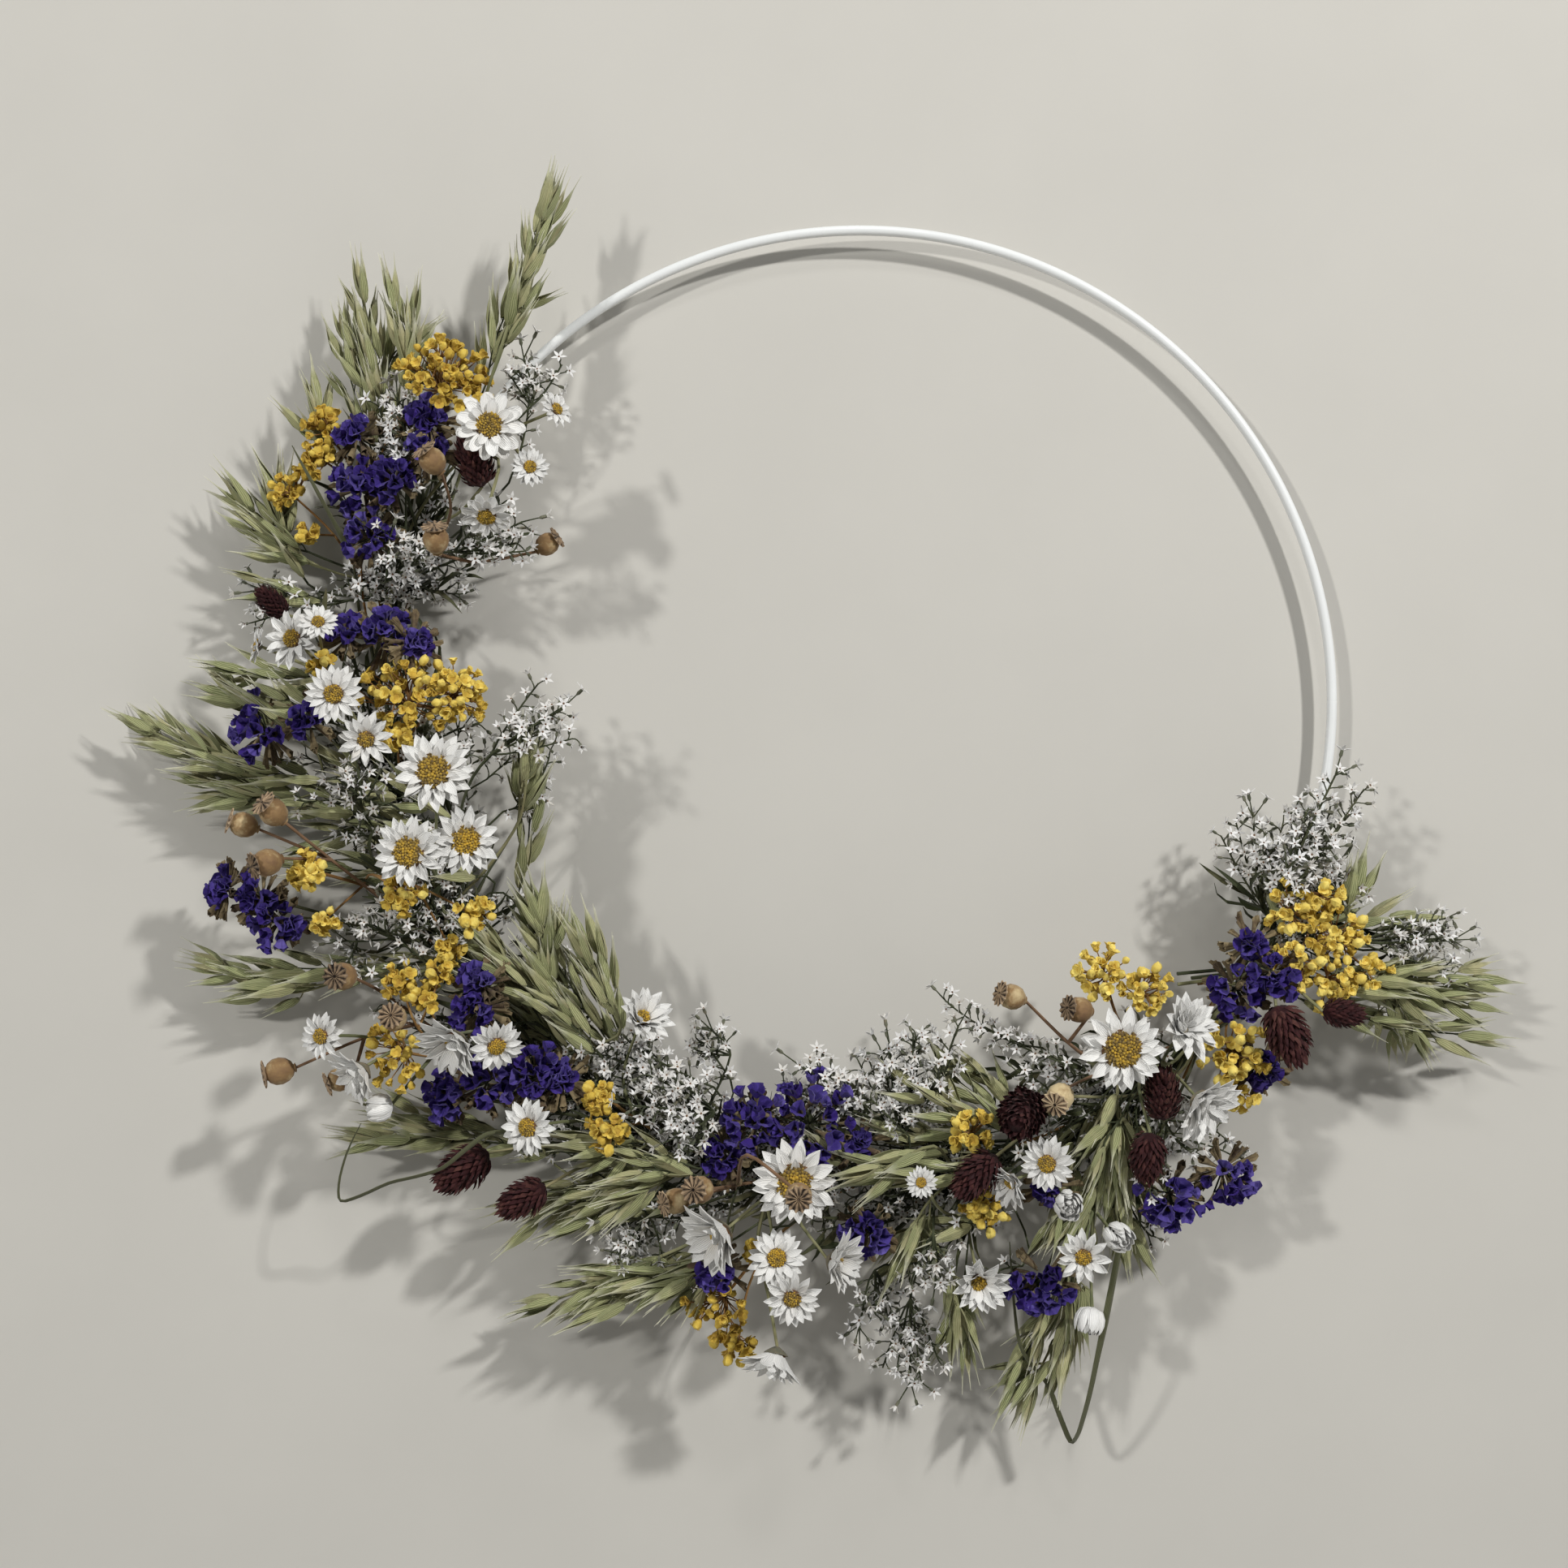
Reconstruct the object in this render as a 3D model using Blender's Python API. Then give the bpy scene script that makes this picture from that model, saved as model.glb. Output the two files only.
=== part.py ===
"""Dried flower wreath: nine bunches of dried flowers wired along a painted metal hoop.

The hoop stands upright in the XZ plane with the flowers toward -Y. The origin is the point at
the top of the hoop, inside the rod, where it hangs. Places of the flowers are written as the
photograph shows them, in its pixels, with the height in front of the hoop in millimetres.
"""
import itertools
import math
import random

import bmesh
import bpy
import numpy as np
from mathutils import Matrix, Vector

MM = 0.001
TWO_PI = 2 * math.pi
GOLDEN_TURN = math.radians(137.5)

# Driving sizes of the hoop, in metres
HOOP_RADIUS = 150 * MM
ROD_RADIUS = 1.6 * MM
HOOP_SEGMENTS = 64
HOOP_SIDES = 8
HOOP_CENTRE = Vector((0, 0, ROD_RADIUS - HOOP_RADIUS))

# How the photograph sees the hoop, in its pixels
PHOTO_MIDDLE = (966, 966)
HOOP_MIDDLE_SEEN = (1060, 865)
HOOP_RADIUS_SEEN = 581
PIXEL = HOOP_RADIUS / HOOP_RADIUS_SEEN
CAMERA_DISTANCE = 600 * MM

# Stems: three-sided, side by side in slots at the tie, fanning out to a fork
STEM_RADIUS = 0.65 * MM
TWIG_RADIUS = 0.45 * MM
STEM_SIDES = 3
SLOT_PITCH = 1.9 * MM
SLOT_COLUMNS = 4
ROD_TO_STEM = 0.35 * MM
TIE_HALF = 4 * MM
TIE_TO_FORK = 15 * MM
FAN_PER_COLUMN = 2.2 * MM
FAN_PER_ROW = 2.0 * MM
FAN_FRONT = 1.0 * MM
CUT_END = (10 * MM, 15 * MM)
LAST_CUT_END = (20 * MM, 29 * MM)
TAIL_JOINT = 8 * MM
SHORT_STEM = 12 * MM

# Binding wire
WIRE_RADIUS = 0.4 * MM
WIRE_TURN_POINTS = 8
WIRE_TURNS = 2
WIRE_ROOM = 1.2 * MM
WIRE_PITCH = 1.3 * MM
WIRE_BEHIND = ROD_RADIUS + 0.3 * MM + WIRE_RADIUS

# Room kept free between two plants, and between two parts of one plant
GAP = 0.45 * MM
OWN_GAP = 0.1 * MM
BEAD_STEP = 0.9 * MM
LOOK_ROUND = 12 * MM

# How a branch is laid: where it may leave, how far it may bend aside, what it costs
BRANCH_PIECE = 24 * MM
MOST_BRANCH_PIECES = 4
MOST_CHILDREN = 3
BEND_REACHES = (4 * MM, 8 * MM, 12 * MM, 17 * MM, 23 * MM)
BEND_WAYS = 8
LIFTS = (0, 3, -3, 6, -6)
TAIL_COST = 15 * MM
SHARP_TURN_COST = 30 * MM
LEAST_ONWARD = 0.2
MOST_ALONGSIDE = 0.93

# Heads: mm to move a taken bloom along the line of sight, and widths from its middle to its foot
BLOOM_HEIGHT_TRIES = (0, 2, -2, 4, -4, 6, -6, 9, -9, 12, 15)
BLOOM_BASE = {"daisy": 0.14, "closed_bud": 0.5, "poppy": 0.6}
CLUSTER_HALF_ANGLE = math.radians(58)
SPIKELET_SIZES = (19 * MM, 22 * MM)
STAR_SIZES = (6 * MM, 9 * MM)
FLORET_LIMIT = 10.5 * MM
BUD_LIMIT = 12 * MM
BUD_RADIUS = 2.0 * MM
BLADE_HALF_THICK = 0.4 * MM

TOWARD_VIEWER = Vector((0, -1, 0))

# Where each bunch is tied: angle on the hoop in degrees, and which way its heads lie
BUNCHES = {
    1: (172.0, -1), 2: (198.0, -1), 3: (217.0, -1), 4: (240.0, -1), 5: (255.5, -1),
    6: (272.0, -1), 7: (291.0, -1), 8: (316.0, -1), 9: (326.5, 1),
}


# Places


def at(px, py, height):
    """Place of what the photograph shows at a pixel, this many mm in front of the hoop."""
    scale = PIXEL * (1 - height * MM / CAMERA_DISTANCE)
    middle = [PIXEL * (a - b) for a, b in zip(PHOTO_MIDDLE, HOOP_MIDDLE_SEEN)]
    x = middle[0] + (px - PHOTO_MIDDLE[0]) * scale
    z = -middle[1] - (py - PHOTO_MIDDLE[1]) * scale
    return HOOP_CENTRE + Vector((x, -height * MM, z))


def toward(right, up, front):
    """Unit direction from parts to the right, up and toward the viewer."""
    return Vector((right, -front, up)).normalized()


def tie_frame(bunch):
    """Centre of the rod at a tie, with the unit vectors outward and along to the heads."""
    degrees, side = BUNCHES[bunch]
    angle = math.radians(degrees)
    outward = Vector((math.cos(angle), 0, math.sin(angle)))
    along = Vector((-math.sin(angle), 0, math.cos(angle))) * side
    return HOOP_CENTRE + outward * HOOP_RADIUS, outward, along


def frame(origin, direction, roll=0.0):
    """Matrix with Z along the direction, turned about it by the roll."""
    turn = direction.to_track_quat("Z", "Y").to_matrix().to_4x4()
    return Matrix.Translation(origin) @ turn @ Matrix.Rotation(roll, 4, "Z")


def bezier(p0, p1, p2, p3, pieces):
    """Points of a cubic curve."""
    points = []
    for i in range(pieces + 1):
        t = i / pieces
        s = 1 - t
        points.append(p0 * s**3 + p1 * 3 * s * s * t + p2 * 3 * s * t * t + p3 * t**3)
    return points


# Room kept by each plant, as beads: spheres strung along it


class Room:
    """All the space that is taken, so that each new piece can be laid clear of it."""

    def __init__(self):
        self.points = np.zeros((0, 3))
        self.radii = np.zeros(0)
        self.owners = np.zeros(0, dtype=int)

    def take(self, owner, beads):
        points, radii = beads
        self.points = np.vstack([self.points, points])
        self.radii = np.append(self.radii, radii)
        self.owners = np.append(self.owners, np.full(len(radii), owner))

    def clearance(self, owner, beads, exempt):
        """Smallest distance from these beads to anything taken; the plant's own is left out
        inside the exempt balls, given as middles with radii, where the pieces join."""
        points, radii = beads
        low = points.min(axis=0) - LOOK_ROUND
        high = points.max(axis=0) + LOOK_ROUND
        near = np.all((self.points > low) & (self.points < high), axis=1)
        for middle, ball in exempt:
            apart = np.linalg.norm(self.points - np.array(middle), axis=1)
            near &= (self.owners != owner) | (apart > ball)
        if not near.any():
            return LOOK_ROUND
        apart = np.linalg.norm(points[:, None, :] - self.points[None, near, :], axis=2)
        own = np.where(self.owners[near] == owner, GAP - OWN_GAP, 0)
        return float((apart - radii[:, None] - self.radii[None, near] + own).min())


def string_of_beads(points, start_radius, end_radius):
    """Beads along a line of points, for a stem or a spindle."""
    places = []
    for a, b in zip(points, points[1:]):
        steps = max(1, int((b - a).length / BEAD_STEP))
        places += [a.lerp(b, i / steps) for i in range(steps)]
    places.append(points[-1])
    radii = np.linspace(start_radius, end_radius, len(places))
    return np.array([tuple(p) for p in places]), radii


def moved_beads(matrix, local):
    """Beads given as (x, y, z, radius) round a local origin, carried to a place."""
    points = np.array([tuple(matrix @ Vector(bead[:3])) for bead in local])
    return points, np.array([bead[3] for bead in local])


# Shapes, each a list of rings round the local Z axis that its stalk grows into


def ring(radius, z, sides, turn=0.0, flat=1.0):
    """One ring of points; flat squeezes it along Y."""
    return [
        Vector((
            radius * math.cos(turn + TWO_PI * i / sides),
            flat * radius * math.sin(turn + TWO_PI * i / sides),
            z,
        ))
        for i in range(sides)
    ]


def zigzag(outer, inner, z_outer, z_inner, points):
    """Rim of a star: tips and notches in turn."""
    rim = []
    for i in range(2 * points):
        turn = math.pi * i / points
        radius, z = (outer, z_outer) if i % 2 == 0 else (inner, z_inner)
        rim.append(Vector((radius * math.cos(turn), radius * math.sin(turn), z)))
    return rim


def tip(z):
    return [Vector((0, 0, z))]


def spikelet(size):
    """Oat spikelet, a slim flattened spindle."""
    return [ring(0.115 * size, 0.5 * size, 3, flat=0.7), tip(size)]


def yellow_bud(size):
    """Round bud at the end of its stalk."""
    return [ring(BUD_RADIUS, size - BUD_RADIUS, 4), tip(size + 0.4 * MM)]


def white_star(size):
    """Five-pointed papery star on a thin stalk."""
    return [
        ring(0.35 * MM, 0.75 * size, 3), ring(3.6 * MM, size + 0.5 * MM, 5),
        tip(size - 0.1 * MM),
    ]


def statice_floret(size):
    """Ruffled papery funnel."""
    rim = ring(0.44 * size, size, 6)
    for i, point in enumerate(rim):
        point.z += (0.07 if i % 2 else -0.09) * size
    return [rim, tip(0.78 * size)]


def daisy(size):
    """Papery everlasting: one or two layers of pointed bracts round a domed disc."""
    radius = size / 2
    disc = 0.36 * radius
    if size < 16 * MM:
        return [
            zigzag(radius, 0.6 * radius, 0.34 * radius, 0.22 * radius, 9),
            ring(disc, 0.24 * radius, 6), tip(0.5 * radius),
        ]
    return [
        zigzag(radius, 0.64 * radius, 0.24 * radius, 0.12 * radius, 12),
        ring(0.52 * radius, 0.2 * radius, 9),
        zigzag(0.76 * radius, 0.5 * radius, 0.46 * radius, 0.28 * radius, 9),
        ring(disc, 0.26 * radius, 7), ring(0.9 * disc, 0.46 * radius, 7), tip(0.52 * radius),
    ]


def closed_bud(size):
    """Everlasting still closed: a pointed egg of overlapping bracts."""
    radius = size / 2
    return [
        zigzag(radius, 0.82 * radius, 1.1 * radius, 0.8 * radius, 5), tip(2.3 * radius),
    ]


def poppy(size):
    """Poppy capsule with its rayed crown."""
    radius = size / 2
    return [
        ring(0.88 * radius, 0.36 * size, 7),
        ring(radius, 0.72 * size, 7),
        ring(0.5 * radius, 1.05 * size, 7),
        zigzag(0.84 * radius, 0.6 * radius, 1.18 * size, 1.1 * size, 7),
        tip(1.12 * size),
    ]


def phalaris(size):
    """Egg-shaped grass head; scales are raised on it in a spiral lattice."""
    sides, rows = 8, 7
    rings = []
    for row in range(1, rows):
        along = row / rows
        radius = 0.25 * size * math.sin(math.pi * along) ** 0.7
        level = ring(radius, along * size, sides)
        for i, point in enumerate(level):
            grow = 1.13 if (i + row) % 2 else 0.87
            point.x *= grow
            point.y *= grow
        rings.append(level)
    rings.append(tip(size))
    return rings


SHAPES = {
    "spikelet": spikelet, "yellow_bud": yellow_bud, "white_star": white_star,
    "statice_floret": statice_floret, "daisy": daisy, "closed_bud": closed_bud,
    "poppy": poppy, "phalaris": phalaris,
}


# Room that each shape needs, as local beads


def spindle_beads(size, start, thick, count=7, neck=0.4 * MM):
    """Beads along Z that swell to the middle."""
    beads = []
    for i in range(count):
        part = i / (count - 1)
        swell = max(neck, thick * (1 - abs(2 * part - 1)))
        beads.append((0, 0, start + (size - start) * part, swell))
    return beads


def rim_beads(radius, z, count, thick):
    """A ring of beads, for the rim of a star or a funnel."""
    turns = [TWO_PI * i / count for i in range(count)]
    return [(radius * math.cos(turn), radius * math.sin(turn), z, thick) for turn in turns]


def shape_beads(shape, size):
    """Room for one shape of this size."""
    if shape == "spikelet":
        return spindle_beads(size, 0.15 * size, 0.115 * size, 10)
    if shape == "yellow_bud":
        stalk = [(0, 0, part * size, 0.3 * MM + 1.3 * part * MM) for part in (0.35, 0.55)]
        return stalk + [(0, 0, size - 1.7 * MM, BUD_RADIUS)]
    if shape == "white_star":
        stalk = [(0, 0, part * size, 0.4 * MM) for part in (0.3, 0.45, 0.6, 0.75)]
        return stalk + [(0, 0, size - 0.2 * MM, 1.3 * MM)] + rim_beads(2.7 * MM, size, 5, 1.1 * MM)
    if shape == "statice_floret":
        funnel = [(0, 0, part * size, 0.4 * part * size) for part in (0.3, 0.5, 0.7)]
        return funnel + rim_beads(0.3 * size, 0.9 * size, 6, 0.17 * size)
    if shape == "daisy":
        radius = size / 2
        beads = [(0, 0, 0.25 * radius, 0.28 * radius)]
        for part, count in ((0.42, 6), (0.68, 10), (0.9, 14)):
            beads += rim_beads(part * radius, 0.28 * radius, count, 0.16 * radius)
        return beads
    if shape == "closed_bud":
        return [(0, 0, 0.5 * size, 0.5 * size), (0, 0, 0.85 * size, 0.28 * size)]
    if shape == "poppy":
        return [(0, 0, 0.25 * size, 0.35 * size), (0, 0, 0.6 * size, 0.52 * size),
                (0, 0, 1.0 * size, 0.42 * size)]
    return spindle_beads(size, 0, 0.31 * size, 8)


# The plants, bunch by bunch. Sprays run from a foot to a top with a number of spikelets or
# stars; clusters have a middle, a reach in mm and a number; blooms have a width in mm and
# the way they face, as parts to the right, up and toward the viewer.

OATS = {
    "oats_1a": (1, [((604, 470, 26), (688, 204, 22), 9)]),
    "oats_1b": (1, [((478, 560, 15), (437, 304, 12), 7), ((500, 520, 20), (482, 312, 18), 6),
                    ((405, 560, 16), (380, 440, 13), 5), ((398, 700, 12), (262, 590, 8), 7),
                    ((360, 640, 12), (305, 572, 10), 3)]),
    "oats_2": (2, [((330, 958, 14), (130, 880, 7), 8), ((352, 985, 10), (208, 955, 5), 4),
                   ((385, 915, 20), (240, 826, 16), 7)]),
    "oats_3": (3, [((640, 1010, 26), (660, 892, 30), 4), ((405, 1212, 14), (220, 1188, 7), 6)]),
    "oats_4": (4, [((735, 1290, 22), (560, 1132, 24), 7), ((750, 1275, 27), (632, 1082, 30), 7),
                   ((765, 1265, 32), (692, 1118, 36), 5), ((720, 1310, 16), (558, 1176, 16), 5)]),
    "oats_5": (5, [((850, 1425, 22), (592, 1500, 18), 7), ((845, 1440, 28), (660, 1530, 26), 6),
                   ((640, 1400, 13), (408, 1404, 9), 5), ((800, 1408, 32), (672, 1412, 36), 4)]),
    "oats_6": (6, [((850, 1532, 24), (626, 1626, 16), 7), ((865, 1550, 28), (694, 1640, 24), 5),
                   ((890, 1550, 32), (792, 1604, 32), 4)]),
    "oats_7": (7, [((1150, 1412, 34), (1026, 1470, 38), 5), ((1145, 1480, 30), (1080, 1594, 27), 6),
                   ((1190, 1390, 24), (1150, 1312, 26), 4), ((1172, 1560, 24), (1177, 1682, 18), 5)]),
    "oats_8": (8, [((1378, 1335, 26), (1396, 1572, 22), 7), ((1355, 1345, 31), (1302, 1606, 27), 7),
                   ((1330, 1570, 20), (1262, 1664, 15), 4), ((1318, 1600, 23), (1304, 1712, 18), 3),
                   ((1285, 1680, 14), (1246, 1752, 10), 3)]),
    "oats_9": (9, [((1645, 1205, 24), (1880, 1206, 14), 8), ((1625, 1225, 20), (1800, 1290, 12), 5),
                   ((1660, 1130, 25), (1690, 1042, 22), 3)]),
}

STARS = {
    "stars_1": (1, [((500, 600, 27), (488, 472, 28), 5), ((655, 500, 22), (642, 420, 22), 4),
                    ((560, 680, 34), (664, 634, 36), 5), ((480, 720, 24), (487, 645, 28), 3),
                    ((455, 740, 18), (440, 702, 20), 2), ((365, 745, 10), (305, 719, 8), 3)]),
    "stars_2": (2, [((450, 985, 28), (436, 928, 32), 3), ((540, 960, 24), (574, 884, 26), 4)]),
    "stars_3": (3, [((605, 930, 32), (712, 860, 34), 5), ((480, 1150, 34), (470, 1106, 38), 4),
                    ((440, 1160, 26), (406, 1158, 26), 3)]),
    "stars_5": (5, [((890, 1330, 26), (726, 1296, 28), 6), ((880, 1370, 32), (764, 1356, 36), 5),
                    ((900, 1300, 22), (866, 1254, 26), 4), ((900, 1392, 36), (812, 1404, 38), 3)]),
    "stars_6": (6, [((1085, 1378, 26), (966, 1300, 28), 5), ((800, 1500, 28), (734, 1504, 28), 3),
                    ((800, 1545, 20), (753, 1538, 20), 2)]),
    "stars_7": (7, [((1110, 1400, 22), (1093, 1264, 24), 4), ((1290, 1300, 30), (1160, 1258, 33), 5),
                    ((1150, 1520, 32), (1154, 1602, 31), 5), ((1122, 1600, 22), (1122, 1724, 20), 4),
                    ((1078, 1565, 24), (1053, 1654, 24), 4)]),
    "stars_9": (9, [((1575, 1110, 24), (1654, 936, 22), 6), ((1555, 1110, 19), (1542, 986, 18), 4),
                    ((1610, 1095, 29), (1650, 1026, 31), 3), ((1675, 1160, 25), (1810, 1158, 20), 4),
                    ((1595, 1110, 33), (1580, 1048, 34), 4)]),
}

YELLOWS = {
    "yellow_1": (1, [((548, 443, 32), 13, 13), ((602, 495, 28), 6, 3), ((390, 515, 23), 7, 4),
                     ((384, 557, 25), 7, 5), ((344, 592, 20), 8, 5), ((372, 657, 24), 4, 2)]),
    "yellow_2": (2, [((500, 845, 40), 13, 11), ((566, 845, 38), 10, 7), ((391, 814, 37), 5, 3),
                     ((484, 907, 40), 5, 2)]),
    "yellow_3": (3, [((372, 1068, 38), 6, 4), ((395, 1137, 36), 5, 2), ((500, 1103, 46), 7, 3),
                     ((591, 1130, 38), 6, 3), ((556, 1175, 34), 5, 3)]),
    "yellow_4": (4, [((477, 1292, 38), 10, 7), ((516, 1222, 35), 6, 3), ((484, 1200, 36), 6, 2),
                     ((548, 1187, 35), 6, 3)]),
    "yellow_5": (5, [((732, 1345, 40), 6, 4), ((745, 1392, 42), 7, 4)]),
    "yellow_6": (6, [((872, 1622, 33), 12, 8), ((905, 1668, 30), 7, 4), ((928, 1539, 38), 4, 2)]),
    "yellow_7": (7, [((1195, 1397, 38), 8, 5), ((1217, 1500, 35), 8, 5)]),
    "yellow_8a": (8, [((1355, 1192, 28), 9, 6), ((1412, 1216, 30), 9, 5)]),
    "yellow_8b": (8, [((1518, 1300, 33), 11, 7), ((1528, 1352, 31), 7, 3)]),
    "yellow_9": (9, [((1590, 1118, 37), 9, 5), ((1630, 1102, 36), 8, 4), ((1660, 1162, 35), 9, 6),
                     ((1600, 1190, 38), 8, 4), ((1645, 1222, 34), 9, 5), ((1700, 1202, 31), 7, 3)]),
}

STATICE = {
    "statice_1": (1, [((527, 503, 33), 6, 3), ((527, 548, 34), 6, 3), ((425, 530, 28), 6, 3),
                      ((432, 590, 32), 8, 4), ((480, 582, 36), 7, 3), ((448, 650, 34), 8, 4)]),
    "statice_2": (2, [((424, 770, 36), 6, 3), ((482, 770, 38), 8, 4), ((515, 786, 38), 5, 2),
                      ((300, 898, 28), 10, 5), ((374, 885, 33), 6, 3)]),
    "statice_3": (3, [((262, 1092, 22), 6, 3), ((310, 1108, 26), 7, 3), ((337, 1142, 27), 8, 4)]),
    "statice_4": (4, [((583, 1208, 38), 6, 3), ((579, 1242, 38), 7, 4)]),
    "statice_5": (5, [((535, 1345, 29), 8, 4), ((592, 1328, 35), 9, 5), ((650, 1320, 36), 9, 5),
                      ((692, 1326, 36), 6, 3)]),
    "statice_6": (6, [((990, 1380, 36), 14, 9), ((915, 1382, 33), 10, 5), ((884, 1430, 30), 6, 3),
                      ((880, 1575, 37), 6, 3)]),
    "statice_7": (7, [((1061, 1524, 36), 7, 4), ((1052, 1400, 28), 5, 2)]),
    "statice_8": (8, [((1443, 1495, 35), 10, 5), ((1526, 1455, 33), 9, 4), ((1284, 1469, 36), 6, 2),
                      ((1275, 1600, 33), 10, 5), ((1556, 1324, 26), 6, 3)]),
    "statice_9": (9, [((1545, 1162, 38), 5, 2), ((1576, 1202, 40), 8, 4), ((1524, 1228, 35), 8, 4)]),
}

DAISIES = {
    "daisies_1": (1, [((603, 524, 46), 21, (0.15, 0.1, 1)), ((686, 504, 36), 12, (0.7, 0.3, 0.6)),
                      ((653, 575, 42), 12, (0.3, 0, 1)), ((599, 636, 48), 15, (0, -0.8, 0.7))]),
    "daisies_2": (2, [((360, 787, 46), 19, (-0.3, 0.1, 1)), ((392, 766, 54), 12, (0.2, 0.5, 1)),
                      ((317, 796, 38), 11, (-1, 0.2, 0.4)), ((411, 855, 50), 18, (0.1, 0, 1)),
                      ((451, 911, 48), 17, (0.2, -0.1, 1))]),
    "daisies_3": (3, [((534, 950, 52), 24, (0, 0.15, 1)), ((503, 1050, 54), 22, (-0.15, 0, 1)),
                      ((574, 1036, 48), 21, (0.35, 0, 1))]),
    "daisies_4": (4, [((395, 1277, 42), 15, (-0.4, 0, 1)), ((563, 1280, 46), 16, (-0.3, -0.6, 0.6)),
                      ((612, 1289, 50), 17, (0.3, -0.4, 0.8)), ((447, 1318, 40), 14, (-0.6, -0.6, 0.5))]),
    "daisies_5": (5, [((650, 1389, 46), 18, (-0.4, 0, 0.9)), ((790, 1256, 34), 13, (0.3, 0.6, 0.7))]),
    "daisies_6": (6, [((979, 1457, 48), 26, (0, 0, 1)), ((890, 1518, 46), 17, (-0.6, -0.3, 0.7)),
                      ((957, 1550, 44), 18, (0, 0.3, 1)), ((976, 1600, 50), 18, (0, -0.2, 1)),
                      ((1026, 1553, 42), 14, (0.9, -0.2, 0.5)), ((956, 1668, 36), 15, (-0.2, -1, 0.4))]),
    "daisies_7": (7, [((1205, 1578, 36), 13, (0, -0.3, 1)), ((1135, 1457, 46), 10, (-0.2, 0.2, 1))]),
    "daisies_8a": (8, [((1383, 1293, 50), 25, (0, 0, 1)), ((1458, 1266, 40), 18, (0.2, 0.5, 0.7)),
                       ((1480, 1357, 43), 20, (0.3, -0.3, 0.8))]),
    "daisies_8b": (8, [((1335, 1549, 44), 17, (-0.1, 0, 1)), ((1290, 1434, 44), 17, (-0.3, 0, 0.9)),
                       ((1248, 1455, 38), 11, (-0.8, -0.3, 0.6))]),
}

CLOSED_BUDS = {
    "daisies_4": [((465, 1366, 34), 8, (-1, -0.2, 0.2))],
    "daisies_8b": [((1379, 1526, 40), 8, (0.3, -0.2, 0.8)), ((1343, 1630, 34), 8, (-0.2, -1, 0.3)),
                   ((1316, 1486, 44), 8, (0, 0, 1))],
}

POPPIES = {
    "poppies_1": (1, [((532, 567, 46), 8.5, (-0.5, 0.7, 0.5)), ((537, 664, 44), 8.5, (0, 0.8, 0.5)),
                      ((675, 670, 30), 7.5, (0.8, 0.5, 0.2))]),
    "poppies_3": (3, [((336, 1000, 42), 9, (-0.5, 0.6, 0.6)), ((299, 1016, 36), 8.5, (-0.9, 0.3, 0.3)),
                      ((328, 1063, 44), 9, (-0.7, -0.2, 0.6))]),
    "poppies_4": (4, [((422, 1203, 42), 9, (-0.3, 0.1, 1)), ((485, 1254, 45), 8.5, (0, 0.3, 1)),
                      ((343, 1320, 32), 9, (-1, -0.2, 0.2)), ((418, 1330, 34), 8, (-0.8, -0.3, 0.4))]),
    "poppies_6": (6, [((862, 1466, 46), 9, (-0.4, 0.2, 1)), ((832, 1480, 38), 8.5, (-0.8, -0.1, 0.5)),
                      ((984, 1474, 63), 8.5, (0, 0, 1))]),
    "poppies_8": (8, [((1306, 1352, 42), 9, (-0.5, -0.4, 0.9)), ((1246, 1228, 32), 8.5, (-0.9, 0.3, 0.4)),
                      ((1329, 1244, 38), 8.5, (-0.9, 0.2, 0.5))]),
}

PHALARIS = {
    "phalaris_1": (1, [((594, 600, 38), (574, 535, 42)), ((352, 758, 26), (318, 726, 28))]),
    "phalaris_5": (5, [((602, 1420, 28), (538, 1460, 30)), ((672, 1462, 31), (616, 1492, 30))]),
    "phalaris_7": (8, [((1268, 1358, 34), (1250, 1388, 52)), ((1228, 1424, 40), (1178, 1472, 42))]),
    "phalaris_8": (8, [((1434, 1380, 38), (1430, 1316, 40)), ((1417, 1396, 42), (1410, 1454, 38))]),
    "phalaris_9": (9, [((1572, 1240, 42), (1600, 1310, 40)), ((1630, 1246, 39), (1680, 1251, 38))]),
}

BLADES = {
    "grass_blade_1": (1, 2.8, [(436, 694, 24), (413, 648, 29), (388, 602, 31), (360, 549, 29)]),
    "grass_blade_5": (5, 2.2, [(660, 1396, 34), (600, 1398, 42), (545, 1440, 43), (480, 1458, 36),
                               (420, 1480, 28), (424, 1430, 30), (445, 1384, 33)]),
    "grass_blade_8": (8, 3.6, [(1386, 1500, 34), (1366, 1610, 31), (1352, 1680, 27), (1336, 1745, 20),
                               (1318, 1776, 14), (1290, 1706, 16), (1256, 1655, 20), (1244, 1530, 26)]),
}


# The tree of a plant


class Joint:
    """A point of a plant's stem, with the joints and the shapes that grow from it."""

    def __init__(self, place, way, radius):
        self.place = place
        self.way = way
        self.radius = radius
        self.next = []
        self.shapes = []

    def free_ways(self):
        return MOST_CHILDREN - len(self.next) - len(self.shapes)


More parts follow.
